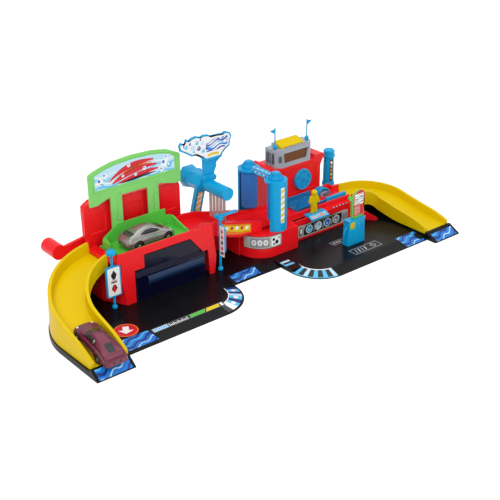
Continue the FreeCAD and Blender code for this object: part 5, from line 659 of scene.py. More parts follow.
@dataclass
class Sticker:
    """A printed sticker: thin layers of ink that follow the face that they lie on.

    Attributes:
        tag: Its name, and what carries it.
        surface: The face that it lies on.
        layers: What has been printed so far: outlines, their ink and how many inks lie below.
    """

    tag: Tag
    surface: Surface
    layers: list[tuple[list[list[Pair]], Look, int]] = field(default_factory=list)

    FILM_MM = 0.14
    LAYER_MM = 0.035
    GAP_MM = 0.01

    def areas(self, *areas: Area) -> Sticker:
        """Prints filled shapes.

        Args:
            areas: Outline, counterclockwise, and ink of each, and how many inks lie below it.

        Returns:
            The sticker.
        """
        self.layers += [([list(line)], ink, level) for line, ink, level in areas if len(line) > 2]
        return self

    def band(self, low: Sequence[Pair], high: Sequence[Pair], ink: Ink, level: int) -> Sticker:
        """Prints a strip between two lines of as many points.

        Args:
            low: The lower line, left to right.
            high: The upper line, left to right.
            ink: Its ink.
            level: How many inks lie below it.

        Returns:
            The sticker.
        """
        quads = [[low[i], low[i + 1], high[i + 1], high[i]] for i in range(len(low) - 1)]
        self.layers.append((quads, ink, level))
        return self

    def flowing(
        self, limits: Sequence[Pair], lean: float, bands: Sequence[tuple[float, float, Ink]],
        sway: Triple, level: int = 1,
    ) -> Sticker:
        """Prints swaying water bands across a convex area.

        Args:
            limits: The area's corners, counterclockwise.
            lean: Rise of the bands for each millimetre across.
            bands: Lower level, width and ink of each band, at the area's left edge.
            sway: Height, length and start of the sway, in millimetres and radians.
            level: How many inks lie below.

        Returns:
            The sticker.
        """
        left, right = min(p[0] for p in limits), max(p[0] for p in limits)
        low = min(p[1] for p in limits)
        steps = 26
        for place, (base, width, ink) in enumerate(bands):
            line, tops = [], []
            for i in range(steps + 1):
                u = left + (right - left) * i / steps
                phase = math.tau * (u - left) / sway[1] + sway[2] + place * 0.7
                v = low + base + lean * (u - left) + sway[0] * math.sin(phase)
                swell = 0.55 + 0.45 * math.sin(math.pi * i / steps * 2.0 + place)
                line.append((u, v))
                tops.append((u, v + width * (0.6 + swell * 0.4)))
            parts = [
                clipped([line[i], line[i + 1], tops[i + 1], tops[i]], limits) for i in range(steps)
            ]
            parts = [part for part in parts if part]
            if parts:
                self.layers.append((parts, ink, level))
        return self

    def pressed(
        self, mesh: BMesh, outlines: Sequence[Sequence[Pair]], level: int
    ) -> list[BMFace]:
        """Adds a layer's top, underside and rim to the mesh.

        Args:
            mesh: The sticker's mesh.
            outlines: The layer's outlines.
            level: How many inks lie below it.

        Returns:
            The new faces.
        """
        low, high = self.GAP_MM + level * self.LAYER_MM * 0.5, self.FILM_MM + level * self.LAYER_MM
        loops = [[(round(u, 4), round(v, 4)) for u, v in outline] for outline in outlines]
        corners: dict[Pair, tuple[BMVert, BMVert]] = {}
        for spot in (spot for loop in loops for spot in loop):
            if spot not in corners:
                corners[spot] = (mesh.verts.new((*spot, low)), mesh.verts.new((*spot, high)))
        loops = [list(dict.fromkeys(loop)) for loop in loops]
        faces = []
        for loop in loops:
            if len(loop) > 2:
                faces.append(mesh.faces.new([corners[k][1] for k in loop]))
                faces.append(mesh.faces.new([corners[k][0] for k in reversed(loop)]))
        sides = dict.fromkeys(side for loop in loops for side in zip(loop, [*loop[1:], loop[0]]))
        for a, b in sides:
            if (b, a) not in sides:
                rim = [corners[a][0], corners[b][0], corners[b][1], corners[a][1]]
                faces.append(mesh.faces.new(rim))
        return faces

    def build(self) -> Object:
        """Builds the sticker's mesh on its face and lets it ride on its body."""
        mesh = bmesh.new()
        inks = list(dict.fromkeys(ink for _, ink, _ in self.layers))
        for outlines, ink, level in self.layers:
            for face in self.pressed(mesh, outlines, level):
                face.material_index = inks.index(ink)
        ways = (Vector((1, 0, 0)), self.surface.cuts), (Vector((0, 1, 0)), self.surface.folds)
        for way, place in ((way, place) for way, places in ways for place in places):
            bmesh.ops.bisect_plane(
                mesh, geom=[*mesh.verts, *mesh.edges, *mesh.faces], dist=1e-5,
                plane_co=way * place, plane_no=way,
            )
        bmesh.ops.triangulate(mesh, faces=mesh.faces, ngon_method="EAR_CLIP")
        chart = mesh.loops.layers.uv.new("sheet")
        for loop in (loop for face in mesh.faces for loop in face.loops):
            loop[chart].uv = (loop.vert.co.x * MM, loop.vert.co.y * MM)
        for vert in mesh.verts:
            vert.co = self.surface.point(*vert.co)
        bmesh.ops.recalc_face_normals(mesh, faces=mesh.faces)
        return piece_from(mesh, self.tag, inks)


# Printed work


def sector(centre: Pair, inner: float, outer: float, start: float, end: float) -> list[list[Pair]]:
    """Gives the outer and inner arcs of a ring's sector, as a strip's two lines.

    Args:
        centre: The ring's centre.
        inner: Its inner radius.
        outer: Its outer radius.
        start: Angle at which the sector starts, in degrees.
        end: Angle at which it ends, in degrees.

    Returns:
        The outer line and the inner line, point for point.
    """
    count = max(2, int(abs(end - start) / 4) + 1)
    turns = [start + (end - start) * i / count for i in range(count + 1)]
    return [[polar(*centre, radius, turn) for turn in turns] for radius in (outer, inner)]


def printed(name: str, surface: Surface, slot: str = "blue_abs", body: str = "playset") -> Sticker:
    """Starts a printed sticker on a face of what carries it."""
    return Sticker(Tag("sticker_" + name, slot, body=body), surface)


def hazard(name: str, surface: Surface, width: float, height: float, pitch: float) -> None:
    """Prints a white strip with slanted yellow hazard stripes.

    Args:
        name: The piece's name, after its first word.
        surface: The face that it lies on.
        width: The strip's width.
        height: Its height.
        pitch: Distance from stripe to stripe.
    """
    limits = oblong(0, 0, width, height)
    sticker = printed(name, surface).areas((limits, Ink.WHITE, 0))
    rise, place = width * 0.45, -pitch
    while place < height + pitch:
        low, half = place + rise, pitch / 2
        stripe = [(0, place), (width, low), (width, low + half), (0, place + half)]
        sticker.areas((clipped(stripe, limits), Ink.YELLOW, 1))
        place += pitch
    sticker.build()


def arrow(u: float, v: float, width: float, height: float, down: bool = False) -> list[Pair]:
    """Gives an arrow that points up or down.

    Args:
        u: Its middle across.
        v: Its lower end.
        width: Width of its head.
        height: Its height.
        down: Whether it points down.

    Returns:
        Its outline, counterclockwise.
    """
    shaft, neck = width * 0.2, height * 0.52
    shape = [
        (-shaft, 0.0), (shaft, 0.0), (shaft, neck), (width / 2, neck), (0.0, height),
        (-width / 2, neck), (-shaft, neck),
    ]
    if down:
        shape = [(-a, height - b) for a, b in shape]
    return [(u + a, v + b) for a, b in shape]


def drop(u: float, v: float, radius: float) -> list[Pair]:
    """Gives a water drop with its tip up, from its middle and radius."""
    return [*[polar(u, v, radius, turn) for turn in range(150, 391, 20)], (u, v + radius * 2.1)]


LEFT_GROUND = Ground(((-52, 1), (-28, 5), (133, 5)))
LEFT_SHELF = Ground(((-60, 5), (133, 5)))
MIDDLE_GROUND = Ground(((0, 1), (20, 5), (133, 5)))
RIGHT_GROUND = Ground(((-67, 1), (-49, 5), (133, 5)))
LEFT_FOOT = Ground(((-77, 1), (-65, 10), (-62, 10)))
RIGHT_FOOT = Ground(((-82, 1), (-65, 10), (-62, 10)))
WATER = (
    (-12, 3.6, Ink.NAVY), (-4, 2.2, Ink.PALE), (1.5, 4.2, Ink.NAVY), (8.5, 2, Ink.SKY),
    (13, 3.6, Ink.NAVY), (19.5, 2.2, Ink.PALE), (25, 3.8, Ink.NAVY), (31.5, 2, Ink.SKY),
    (37, 3.6, Ink.NAVY),
)


@dataclass
class FloorGraphics:
    """Stickers on the three floor plates.

    Attributes:
        water_prints: Name, ground, left edge, front edge, width and depth of each water sticker.
        disc_spot: Middle of the round sticker at the left chute.
        disc_radius: Its radius.
        strip: Left and front edge of the long strip behind the left apron.
        strip_height: Its height.
        left_corner: Centre of the left plate's round corner.
        right_corner: Centre of the right plate's round corner.
        right_start: Angle at which the right corner's blocks start.
    """

    water_prints: tuple[tuple[str, Ground, float, float, float, float], ...] = (
        ("left_water", LEFT_SHELF, -190, -51.4, 41, 24.4),
        ("left_foot_water", LEFT_FOOT, -243, -76.4, 42, 10.6),
        ("middle_water", MIDDLE_GROUND, 6, 3, 41, 15),
        ("right_water", RIGHT_GROUND, 246, -66, 36, 23),
        ("right_foot_water", RIGHT_FOOT, 289, -81, 41, 12),
    )
    disc_spot: Pair = (-167.6, -11.4)
    disc_radius: float = 14.5
    strip: Pair = (-146, -36)
    strip_height: float = 7.6
    left_corner: Pair = (-50, -2)
    right_corner: Pair = (123.5, -21)
    right_start: float = 166.0

    def water(self) -> None:
        """Prints the water stickers on the aprons and feet."""
        for name, ground, left, front, width, depth in self.water_prints:
            limits = oblong(left, front, width, depth)
            sticker = printed(name, ground, "black_abs").areas((limits, Ink.BLUE, 0))
            sticker.flowing(limits, 0.32, WATER, (1.7, 19, 0.4)).build()

    def disc(self) -> None:
        """Prints the round sticker with the arrow towards the chute's foot."""
        u, v = self.disc_spot
        turn = Matrix.Rotation(math.radians(150), 2)
        shape = [turn @ Vector((a, b)) for a, b in arrow(0, -8.4, 18, 16.4)]
        printed("arrow_disc", LEFT_GROUND, "black_abs").areas(
            (disc(u, v, self.disc_radius), Ink.ORANGE, 0),
            (disc(u, v, self.disc_radius - 1.3), Ink.RED, 1),
            ([(u + p.x, v + p.y) for p in shape], Ink.WHITE, 2),
        ).build()

    def gauge_strip(self) -> None:
        """Prints the long strip behind the left apron: a tick scale and two coloured fields."""
        (left, front), height = self.strip, self.strip_height

        def field_from(low: float, low_end: float, high: float, high_end: float) -> list[Pair]:
            """Gives a slanted field from its lower and upper edges' ends."""
            spots = ((low, 1), (low_end, 1), (high_end, height - 1), (high, height - 1))
            return [(left + u, front + v) for u, v in spots]

        printed("gauge_strip", LEFT_GROUND, "black_abs").areas(
            (oblong(left, front, 104, height), Ink.SMOKE, 0),
            (oblong(left + 2, front + 1, 20, height - 2), Ink.PALE, 1),
            *[
                (oblong(left + 4 + step * 3, front + 1.6, 1.1, height - 3.2), Ink.BLUE, 2)
                for step in range(6)
            ],
            *[
                (oblong(left + 24 + step * 2.1, front + 1.2, 1, height - (5 if step % 3 else 3)),
                 Ink.WHITE, 1)
                for step in range(13)
            ],
            (field_from(53, 74, 55, 78), Ink.GREEN, 1),
            (field_from(76, 96, 80, 98), Ink.YELLOW, 1),
            (oblong(left + 99, front + 1, 3.5, height - 2), Ink.WHITE, 1),
        ).build()

    def corners(self) -> None:
        """Prints the block patterns round the two plates' front corners."""
        middle = self.left_corner
        sticker = printed("left_corner", Corner(middle, ((26, 5), (50, 1))), "black_abs")
        edges = (-88, -78, -66, -57, -46, -36, -28, -20, -11, -3)
        inks = (
            Ink.SMOKE, Ink.WHITE, Ink.SKY, Ink.NAVY, Ink.SKY, Ink.PALE, Ink.NAVY, Ink.SKY, Ink.NAVY,
        )
        for start, end, ink in zip(edges, edges[1:], inks):
            sticker.band(*sector(middle, 32, 47.5, start, end), ink, 0)
        sticker.band(*sector(middle, 30.6, 31.9, edges[0], edges[-1]), Ink.WHITE, 0)
        for turn in (-61, -41, -15):
            sticker.areas((disc(*polar(*middle, 40, turn), 3), Ink.WHITE, 1))
        sticker.build()

        middle, start = self.right_corner, self.right_start
        sticker = printed("right_corner", Corner(middle, ((28, 5), (46, 1))), "black_abs")
        for step in range(11):
            wide = 9.6 if step % 2 else 8
            ink = Ink.BLACK if step % 2 else (Ink.SKY, Ink.PALE, Ink.SKY)[step % 3]
            sticker.band(*sector(middle, 30, 44, start, start + wide), ink, 0)
            start += wide
        for inner, outer, ink in ((28.4, 29.9, Ink.WHITE), (44.1, 45.4, Ink.SKY)):
            sticker.band(*sector(middle, inner, outer, self.right_start, start), ink, 0)
        sticker.build()

        printed("right_edge", RIGHT_GROUND, "black_abs").areas(
            *[
                (oblong(79.6, -9.6 + step * 4.4, 13.8, 4.3), ink, 0)
                for step, ink in enumerate((Ink.SKY, Ink.BLACK, Ink.PALE))
            ],
            (oblong(78.2, -9.6, 1.3, 13.1), Ink.SKY, 0),
        ).build()

    def bay_marks(self) -> None:
        """Prints the grey parking marks beside and before the pump."""
        lines = (
            (171, -44, 50, 1.4), (171, -30.4, 50, 1.4), (171, -42.6, 1.4, 12.2),
            (219.6, -42.6, 1.4, 12.2), (168, -5, 22, 1.2), (168, 3.8, 22, 1.2),
            (168, -3.8, 1.2, 7.6), (188.8, -3.8, 1.2, 7.6),
        )
        slants = [
            ([(low, -40.6), (low + 2.4, -40.6), (low + 5.4, -31.6), (low + 3, -31.6)], ink, 0)
            for low, ink in zip((176, 181.6, 187.2, 192.8), (Ink.GREY, Ink.SILVER) * 2)
        ]
        printed("bay_marks", RIGHT_GROUND, "black_abs").areas(
            *[(oblong(*line), Ink.GREY, 0) for line in lines],
            *slants,
            (disc(210, -36.4, 4.6), Ink.GREY, 0),
            (disc(210, -36.4, 2.8), Ink.SMOKE, 1),
            *[(oblong(172 + step * 5, -2, 3, 4), Ink.SILVER, 0) for step in range(3)],
        ).build()

    def build(self) -> None:
        """Builds every sticker of the floor."""
        self.water()
        self.disc()
        self.gauge_strip()
        self.corners()
        self.bay_marks()


@dataclass
class GarageGraphics:
    """Stickers of the garage: on the lift's arched sign and on the post before it."""

    sign_outline: tuple[Pair, ...] = (
        (-136, 136.5), (-22, 136.5), (-22, 152.5), (-30, 158), (-42, 160.8),
        (-56, 162.8), (-82, 163.8), (-108, 162.2), (-122, 159.6), (-136, 155),
    )

    def lift_sign(self) -> None:
        """Prints the arched sign: suds and water round sweeping red brush strokes."""
        sticker = printed("lift_sign", upright(0, 87.5, 0), "green_abs", "lift")
        sticker.areas((self.sign_outline, Ink.PALE, 0)).flowing(
            self.sign_outline, 0,
            ((0.5, 2.6, Ink.SKY), (6, 1.6, Ink.WHITE), (10.5, 1.8, Ink.SKY), (15, 1.5, Ink.WHITE)),
            (1.5, 30, 0),
        )
        strokes = (
            ((-116, 143), (-100, 156), (-78, 160), (-52, 157), 3.4, Ink.RED),
            ((-112, 139.6), (-94, 148), (-72, 153), (-48, 150), 3.8, Ink.RED),
            ((-104, 138.4), (-84, 141), (-66, 145), (-46, 144), 3.2, Ink.RED),
            ((-110, 142), (-94, 152.4), (-74, 157), (-52, 154), 1.1, Ink.ORANGE),
            ((-100, 137.6), (-82, 138.4), (-64, 140.5), (-50, 140.4), 1.6, Ink.SMOKE),
        )
        steps = 16
        for *knots, width, ink in strokes:
            low, high = [], []
            for t in (i / steps for i in range(steps + 1)):
                weights = ((1 - t) ** 3, 3 * t * (1 - t) ** 2, 3 * t * t * (1 - t), t**3)
                u, v = (sum(w * p[k] for w, p in zip(weights, knots)) for k in (0, 1))
                half = width * math.sin(math.pi * (0.08 + 0.84 * t))
                low.append((u, v - half))
                high.append((u, v + half))
            sticker.band(low, high, ink, 2)
        suds = (
            (-129, 146, 4.6, Ink.WHITE), (-122, 152, 3.2, Ink.WHITE), (-127, 140.6, 3, Ink.SKY),
            (-118.5, 146, 2.2, Ink.SKY), (-37, 148, 5, Ink.WHITE), (-29.5, 144, 3.6, Ink.SKY),
            (-33, 154.4, 2.6, Ink.WHITE), (-41, 140.8, 2.8, Ink.WHITE),
            (-88, 157.4, 2.4, Ink.WHITE),
            (-66, 148.4, 2.6, Ink.WHITE), (-79, 143.6, 2, Ink.PALE), (-97, 146.2, 1.8, Ink.WHITE),
        )
        for u, v, radius, ink in suds:
            spark = disc(u - radius * 0.25, v + radius * 0.3, radius * 0.42, steps=14)
            other = Ink.BLUE if ink is Ink.WHITE else Ink.WHITE
            sticker.areas((disc(u, v, radius), ink, 3), (spark, other, 4))
        sticker.build()

    def post_sign(self) -> None:
        """Prints the post's plate: one arrow up and one down for the lift."""
        printed("lift_post", upright(-157.6, 37.6, 23.6)).areas(
            (rounded(0, 0, 16.8, 36.2, 1.6), Ink.WHITE, 0),
            (arrow(8.4, 21, 8, 12), Ink.BLACK, 1),
            (arrow(8.4, 3.4, 8, 11, down=True), Ink.RED, 1),
            (oblong(4.4, 16.6, 8, 1.8), Ink.BLACK, 1),
            (oblong(4.4, 19.2, 8, 0.9), Ink.RED, 1),
        ).build()

    def build(self) -> None:
        """Builds the garage's stickers."""
        self.lift_sign()
        self.post_sign()


@dataclass
class WashGraphics:
    """Stickers of the wash tunnel: track, rollers, gantry, signs and wash bay."""

    splash_outline: tuple[Pair, ...] = (
        (-15.6, 163.5), (-14.2, 166.6), (-9.4, 164.2), (-5.6, 169), (-1.8, 167.4), (2.5, 169.4),
        (9, 170.4), (16, 168.2), (20.5, 169.4), (27.6, 168.4), (32, 165.8), (41.5, 166),
        (50.5, 165), (55, 166.6), (60.6, 164.6), (62.4, 160.8), (60.4, 155.4), (59.2, 150.2),
        (52.6, 146.6), (48.2, 142.4), (45.6, 139.6), (24, 139.6), (19.4, 143.2), (9.2, 149.6),
        (2.4, 149.8), (-7.4, 156), (-13.8, 159.6),
    )

    def splash(self) -> None:
        """Prints the gantry's sign: a white splash with water and foam."""
        sticker = printed("splash_sign", upright(0, 82.5, 0))
        sticker.areas((self.splash_outline, Ink.WHITE, 0)).flowing(
            [(24, 148), (52, 148), (58, 152), (60, 158), (58, 163.4), (24, 163.4)],
            0.12,
            ((-3, 3.4, Ink.PURPLE), (1.4, 3, Ink.BLUE), (5.4, 2, Ink.SKY), (8.2, 2.8, Ink.PURPLE),
             (11.6, 1.8, Ink.BLUE)),
            (1.6, 22, 1),
        )
        low, high = (
            [(26 + 18 * i / 10, 141.2 + lift + 1.3 * math.sin(math.pi * i / 10)) for i in range(11)]
            for lift in (0, 3.2)
        )
        sticker.band(low, high, Ink.YELLOW, 1)
        foam = (
            (-7, 161.4, 2.6, Ink.SKY), (-1, 164.4, 1.8, Ink.PURPLE), (3.4, 158.4, 3.4, Ink.PALE),
            (9.8, 163.6, 2.6, Ink.SKY), (12.6, 155.8, 3, Ink.PURPLE), (5, 153, 1.7, Ink.SKY),
            (18.4, 161.6, 2.8, Ink.PALE), (19.4, 151, 2.6, Ink.SKY), (47, 162.2, 1.8, Ink.WHITE),
            (38.6, 157.2, 2.2, Ink.PALE), (53.6, 156.4, 2, Ink.WHITE),
        )
        for u, v, radius, ink in foam:
            spark = disc(u - radius * 0.3, v + radius * 0.3, radius * 0.35, steps=12)
            sticker.areas((disc(u, v, radius), ink, 2), (spark, Ink.WHITE, 3))
        drops = ((-10.4, 162.6, 0.9), (15.4, 166.2, 1.1), (24.6, 153.4, 1.4), (56.4, 161.4, 1.2))
        sticker.areas(*[(drop(*spot), Ink.NAVY, 2) for spot in drops]).build()

    def hanging_sign(self) -> None:
        """Prints the middle post's plate: drops over a red bar."""
        drops = ((34, Ink.RED), (26.4, Ink.RED), (18.8, Ink.SMOKE), (11.2, Ink.RED))
        printed("wash_post", Flat((7, 36.2, 26.6), (0, -1, 0), (0, 0, 1))).areas(
            (rounded(0, 0, 9.2, 42, 1.2), Ink.WHITE, 0),
            *[(drop(4.6, v, 2.1), ink, 1) for v, ink in drops],
            (oblong(2, 3, 5.2, 3.4), Ink.BLACK, 1),
        ).build()

    def track_strip(self) -> None:
        """Prints the orange strip on the track's front wall."""
        outline = [
            (20.5, 49.4), (44, 43), (62, 41.6), (62, 53.2), (40, 58.6), (13, 66),
            (13, 54.4),
        ]
        flame = [(19, 55), (44, 46.6), (60.4, 44), (60.4, 51.6), (39.6, 56.6), (14.6, 63.4)]
        sticker = printed("track_strip", upright(0, 41, 0), "red_abs")
        sticker.areas((outline, Ink.ORANGE, 0), (flame, Ink.YELLOW, 1))
        first = 19
        for step in range(5):
            low = first + step * 8.2
            fall = -0.25 * (low - first)
            sticker.areas((
                [(low, 56.4 + fall), (low + 4.4, 55.2 + fall), (low + 6.2, 59 + fall * 0.96),
                 (low + 1.8, 60.2 + fall * 0.96)],
                Ink.RED if step % 2 else Ink.WHITE, 2,
            ))
        sticker.build()

    def banner(self) -> None:
        """Prints the grey banner round the drum: round gauges in a steel panel."""
        start, radius = -174, 31.3
        round_part = math.radians(-90 - start) * radius
        width = round_part + 11
        place = Drum((88, 54), radius, start, 18.2, width, straight=round_part)
        spots = ((43, 11.6, 2.1), (48.2, 7, 2.8), (51.6, 12.4, 1.3), (43.4, 5, 1.4))
        sticker = printed("station_banner", place, "red_abs").areas(
            (rounded(0, 0, width, 17.8, 1.8), Ink.BLACK, 0),
            (rounded(0.7, 0.7, width - 1.4, 16.4, 1.5), Ink.SILVER, 1),
            (rounded(11, 2.4, 25.4, 13, 2.2), Ink.GREY, 2),
        )
        for middle in (16 + step * 7.8 for step in range(3)):
            sticker.areas((disc(middle, 8.9, 3.2, 1.3), Ink.WHITE, 3))
            sticker.areas((disc(middle, 8.9, 1.6, 1.6), Ink.SILVER, 4))
        sticker.areas(
            (rounded(39.4, 2.2, 14.6, 13.4, 1.2), Ink.WHITE, 2),
            *[(disc(*spot, steps=16), Ink.BLACK, 3) for spot in spots],
        ).build()

    def stripes(self) -> None:
        """Prints the hazard stripes on the roller's shield and on the gantry's post."""
        shield = Drum((101, 37.7), 15, -104, 49, 6)
        hazard("shield_stripes", shield, width=6, height=49, pitch=8.2)
        post = Flat((17.4, 118 - 29 * 40 / 99, 45), (1, 0, 0), (0, -29, 99))
        hazard("gantry_stripes", post, width=7.4, height=48, pitch=8.6)

    def bay_gauges(self) -> None:
        """Prints the gauge board on the wash bay's front."""
        board = [
            (1, 0), (92, 0), (93.5, 9), (93.5, 17.6), (82, 19), (60, 17.4), (38, 19),
            (15, 17.6), (0, 18.6), (-0.6, 8),
        ]
        panel = [
            (11, 1.6), (80, 1.6), (82.6, 9), (81.4, 16.4), (60, 15.4), (38, 16.8), (14, 15.8),
            (10, 9),
        ]
        dials = (
            (20.4, 6.2, Ink.SKY), (37.4, 6.4, Ink.PALE), (54.4, 6.2, Ink.BLUE), (71, 6, Ink.GREY),
        )
        sticker = printed("bay_gauges", upright(141, 37, 8.2), "red_abs")
        sticker.areas((board, Ink.SILVER, 0), (panel, Ink.BLACK, 1))
        for u, radius, ink in dials:
            hand = [(u - 0.7, 8), (u + 0.5, 7.6), (u + 3, 12.4), (u + 2.3, 12.8)]
            sticker.areas(
                (disc(u, 9, radius), Ink.WHITE, 2), (disc(u, 9, radius - 1), ink, 3),
                (hand, Ink.NAVY, 4), (disc(u - 0.6, 8, 1.3, steps=14), Ink.WHITE, 5),
            )
        sticker.areas(
            *[
                ([(low, 3), (low + 1.4, 3), (low + 2.6, 15), (low + 1.2, 15)], Ink.SILVER, 2)
                for low in (28.2, 45.2, 62)
            ],
            (disc(5, 9.2, 3.6, 1.7), Ink.SMOKE, 1),
            (disc(5.4, 9.2, 2.4, 1.8), Ink.WHITE, 2),
            *[
                (oblong(84.4 + step * 2.8, 4, 1.5, 10), ink, 1)
                for step, ink in enumerate((Ink.SMOKE, Ink.PURPLE, Ink.SMOKE))
            ],
        ).build()

    def ledge(self) -> None:
        """Prints the strip on the ledge, painted shade in the slider's slot and over its end, and
        the patch on the slider.
        """
        printed("ledge", lying(205, 37.8, 35), "red_abs").areas(
            (oblong(0, 0, 32, 2.6), Ink.BLACK, 0),
            *[
                ([(low, 0.6), (low + 3, 0.6), (low + 4.2, 2), (low + 1.2, 2)], Ink.PALE, 1)
                for low in (1.4 + step * 6.2 for step in range(5))
            ],
        ).build()
        # Painted shade: black sheets on the slot's back wall and over its end, where the slot is in
        # shade.
        Sticker(Tag("slider_slot_shade", "black_abs"), upright(137, 43.2, 32.6)).areas(
            (oblong(0, 0, 21, 2.3), Ink.BLACK, 0)
        ).build()
        Sticker(Tag("slider_slot_end_painted_shade", "black_abs"), lying(133.4, 37.9, 35)).areas(
            ([(0, 0), (3.3, 0), (3.3, 5.3), (1.6, 5.3)], Ink.BLACK, 0)
        ).build()
        sloping = Flat((158.9, 28.6, 33.8), (1, 0, 0), (0, 8, 3.85))
        sticker = printed("slider", sloping, body="slider")
        sticker.areas((rounded(0, 0, 30.4, 7.4, 1), Ink.SKY, 0)).flowing(
            oblong(1, 0.7, 28.4, 6), 0.1,
            ((-1, 1.6, Ink.ORANGE), (1.8, 1.3, Ink.PALE), (3.8, 1.2, Ink.ORANGE)), (0.7, 14, 0.6),
        ).areas((disc(21, 3.7, 2.2), Ink.ORANGE, 2)).build()

    def build(self) -> None:
        """Builds the tunnel's and the bay's stickers."""
        self.splash()
        self.hanging_sign()
        self.track_strip()
        self.banner()
        self.stripes()
        self.bay_gauges()
        self.ledge()


@dataclass
class TowerGraphics:
    """Stickers of the tower's column and of the pump."""

    def column(self) -> None:
        """Prints the column's dark window with rising bubbles."""
        bubbles = (Ink.ORANGE, Ink.YELLOW, Ink.ORANGE, Ink.SILVER, Ink.WHITE)
        printed("column", Drum((256, 100), 8, -122, 46, 5.2)).areas(
            (rounded(0, 0, 5.2, 33, 1.4), Ink.SMOKE, 0),
            *[(disc(2.6, 4.6 + step * 5.9, 1.7, 1.3), ink, 1) for step, ink in enumerate(bubbles)],
        ).build()

    def pump(self) -> None:
        """Prints the pump's gauge and the panels of its sign board."""
        printed("pump_gauge", upright(182.4, -19.5, 28.6)).areas(
            (rounded(0, 0, 9.6, 10.4, 1), Ink.GREEN, 0),
            (rounded(1.3, 1.3, 7, 7.8, 0.6), Ink.YELLOW, 1),
            (oblong(2.4, 2.4, 1.5, 5.4), Ink.ORANGE, 2),
            (oblong(5.2, 2.4, 1.5, 5.4), Ink.ORANGE, 2),
        ).build()
        board = [
            (11, 3), (30.2, 3), (30.2, 23), (32.4, 27.8), (31.6, 33.6), (27.6, 37.4),
            (23.6, 39.2), (17.8, 37.6), (12.8, 34.4), (11, 30),
        ]
        sticker = printed("pump_sign", upright(180, -15.5, 41), "sign_abs")
        sticker.areas(
            (board, Ink.RED, 0), (rounded(13, 18.6, 16.4, 15.4, 1.2), Ink.WHITE, 1)
        ).flowing(
            oblong(13.8, 19.4, 14.8, 13.8), 0.3,
            ((-2, 1.8, Ink.SMOKE), (2.2, 1.3, Ink.GREY), (5.4, 1.8, Ink.SMOKE),
             (9.6, 1.3, Ink.GREEN)),
            (0.8, 9, 0), 2,
        ).areas(
            (rounded(13.4, 4.6, 9.6, 11.6, 0.8), Ink.SILVER, 1),
            *[
                (oblong(14.6, 6 + step * 2.5, 7.2, 1.3), ink, 2)
                for step, ink in enumerate((Ink.RED, Ink.ORANGE) * 2)
            ],
        ).build()

    def build(self) -> None:
        """Builds the column's and the pump's stickers."""
        self.column()
        self.pump()


# Shapes that repeat or follow a path


def tree_with(name: str, sizes: Mapping[str, str]) -> tuple[NodeTree, bpy.types.NodeOutputs]:
    """Starts a Geometry Nodes tree with named inputs.

    Args:
        name: The tree's name.
        sizes: Kind of each input, by its label.

    Returns:
        The tree and the sockets of its inputs, by label.
    """
    tree = bpy.data.node_groups.new(name, "GeometryNodeTree")
    for label, kind in sizes.items():
        tree.interface.new_socket(label, in_out="INPUT", socket_type="NodeSocket" + kind)
    tree.interface.new_socket("Geometry", in_out="OUTPUT", socket_type="NodeSocketGeometry")
    return tree, add_node(tree, "NodeGroupInput").outputs


def close_tree(tree: NodeTree, shape: NodeSocket, finish: NodeSocket) -> None:
    """Ends a tree: its instances become real and take their finish."""
    real = add_node(tree, "GeometryNodeRealizeInstances", {"Geometry": shape})
    dressed = add_node(
        tree, "GeometryNodeSetMaterial", {"Geometry": real.outputs[0], "Material": finish}
    )
    add_node(tree, "NodeGroupOutput", {"Geometry": dressed.outputs[0]})


@functools.cache
def set_out_tree() -> NodeTree:
    """Builds the tree that sets one small block or drum out in a row or round a ring."""
    tree, given = tree_with("set_out", {
        "Count": "Int", "Drum": "Bool", "Size": "Vector", "Lean": "Vector", "Reach": "Vector",
        "Step": "Vector", "Twist": "Vector", "Place": "Vector", "Turn": "Vector",
        "Finish": "Material",
    })

    def moved(shape: Node, **inputs: NodeSocket) -> Node:
        """Scales, turns or moves a shape."""
        return add_node(tree, "GeometryNodeTransform", {"Geometry": shape.outputs[0], **inputs})

    def turned(angles: NodeSocket) -> NodeSocket:
        """Gives a rotation from three angles."""
        return add_node(tree, "FunctionNodeEulerToRotation", {"Euler": angles}).outputs[0]

    block = add_node(tree, "GeometryNodeMeshCube", {"Size": (1.0, 1.0, 1.0)})
    drum = add_node(
        tree, "GeometryNodeMeshCylinder", {"Vertices": DRUM_SIDES, "Radius": 0.5, "Depth": 1.0}
    )
    shape = add_node(
        tree, "GeometryNodeSwitch",
        {"Switch": given["Drum"], "False": block.outputs["Mesh"], "True": drum.outputs["Mesh"]},
        input_type="GEOMETRY",
    )
    sized = moved(shape, Scale=given["Size"])
    leaned = moved(sized, Translation=given["Reach"], Rotation=turned(given["Lean"]))
    spacing = {"Count": given["Count"], "Offset": given["Step"]}
    line = add_node(tree, "GeometryNodeMeshLine", spacing, mode="OFFSET")
    index = add_node(tree, "GeometryNodeInputIndex")
    growing = {0: given["Twist"], "Scale": index.outputs[0]}
    twisted = add_node(tree, "ShaderNodeVectorMath", growing, operation="SCALE")
    many = add_node(tree, "GeometryNodeInstanceOnPoints", {
        "Points": line.outputs["Mesh"], "Instance": leaned.outputs[0],
        "Rotation": turned(twisted.outputs[0]),
    })
    placed = moved(many, Translation=given["Place"], Rotation=turned(given["Turn"]))
    close_tree(tree, placed.outputs[0], given["Finish"])
    return tree


@functools.cache
def bead_tree() -> NodeTree:
    """Builds the tree that lays a round bead along the edges of a mesh."""
    tree, given = tree_with("bead", {
        "Geometry": "Geometry", "Radius": "Float", "Sides": "Int", "Finish": "Material",
    })
    path = add_node(tree, "GeometryNodeMeshToCurve", {"Mesh": given["Geometry"]})
    profile = add_node(
        tree, "GeometryNodeCurvePrimitiveCircle",
        {"Resolution": given["Sides"], "Radius": given["Radius"]}, mode="RADIUS",
    )
    tube = add_node(tree, "GeometryNodeCurveToMesh", {
        "Curve": path.outputs[0], "Profile Curve": profile.outputs[0], "Fill Caps": True,
    })
    close_tree(tree, tube.outputs[0], given["Finish"])
    return tree


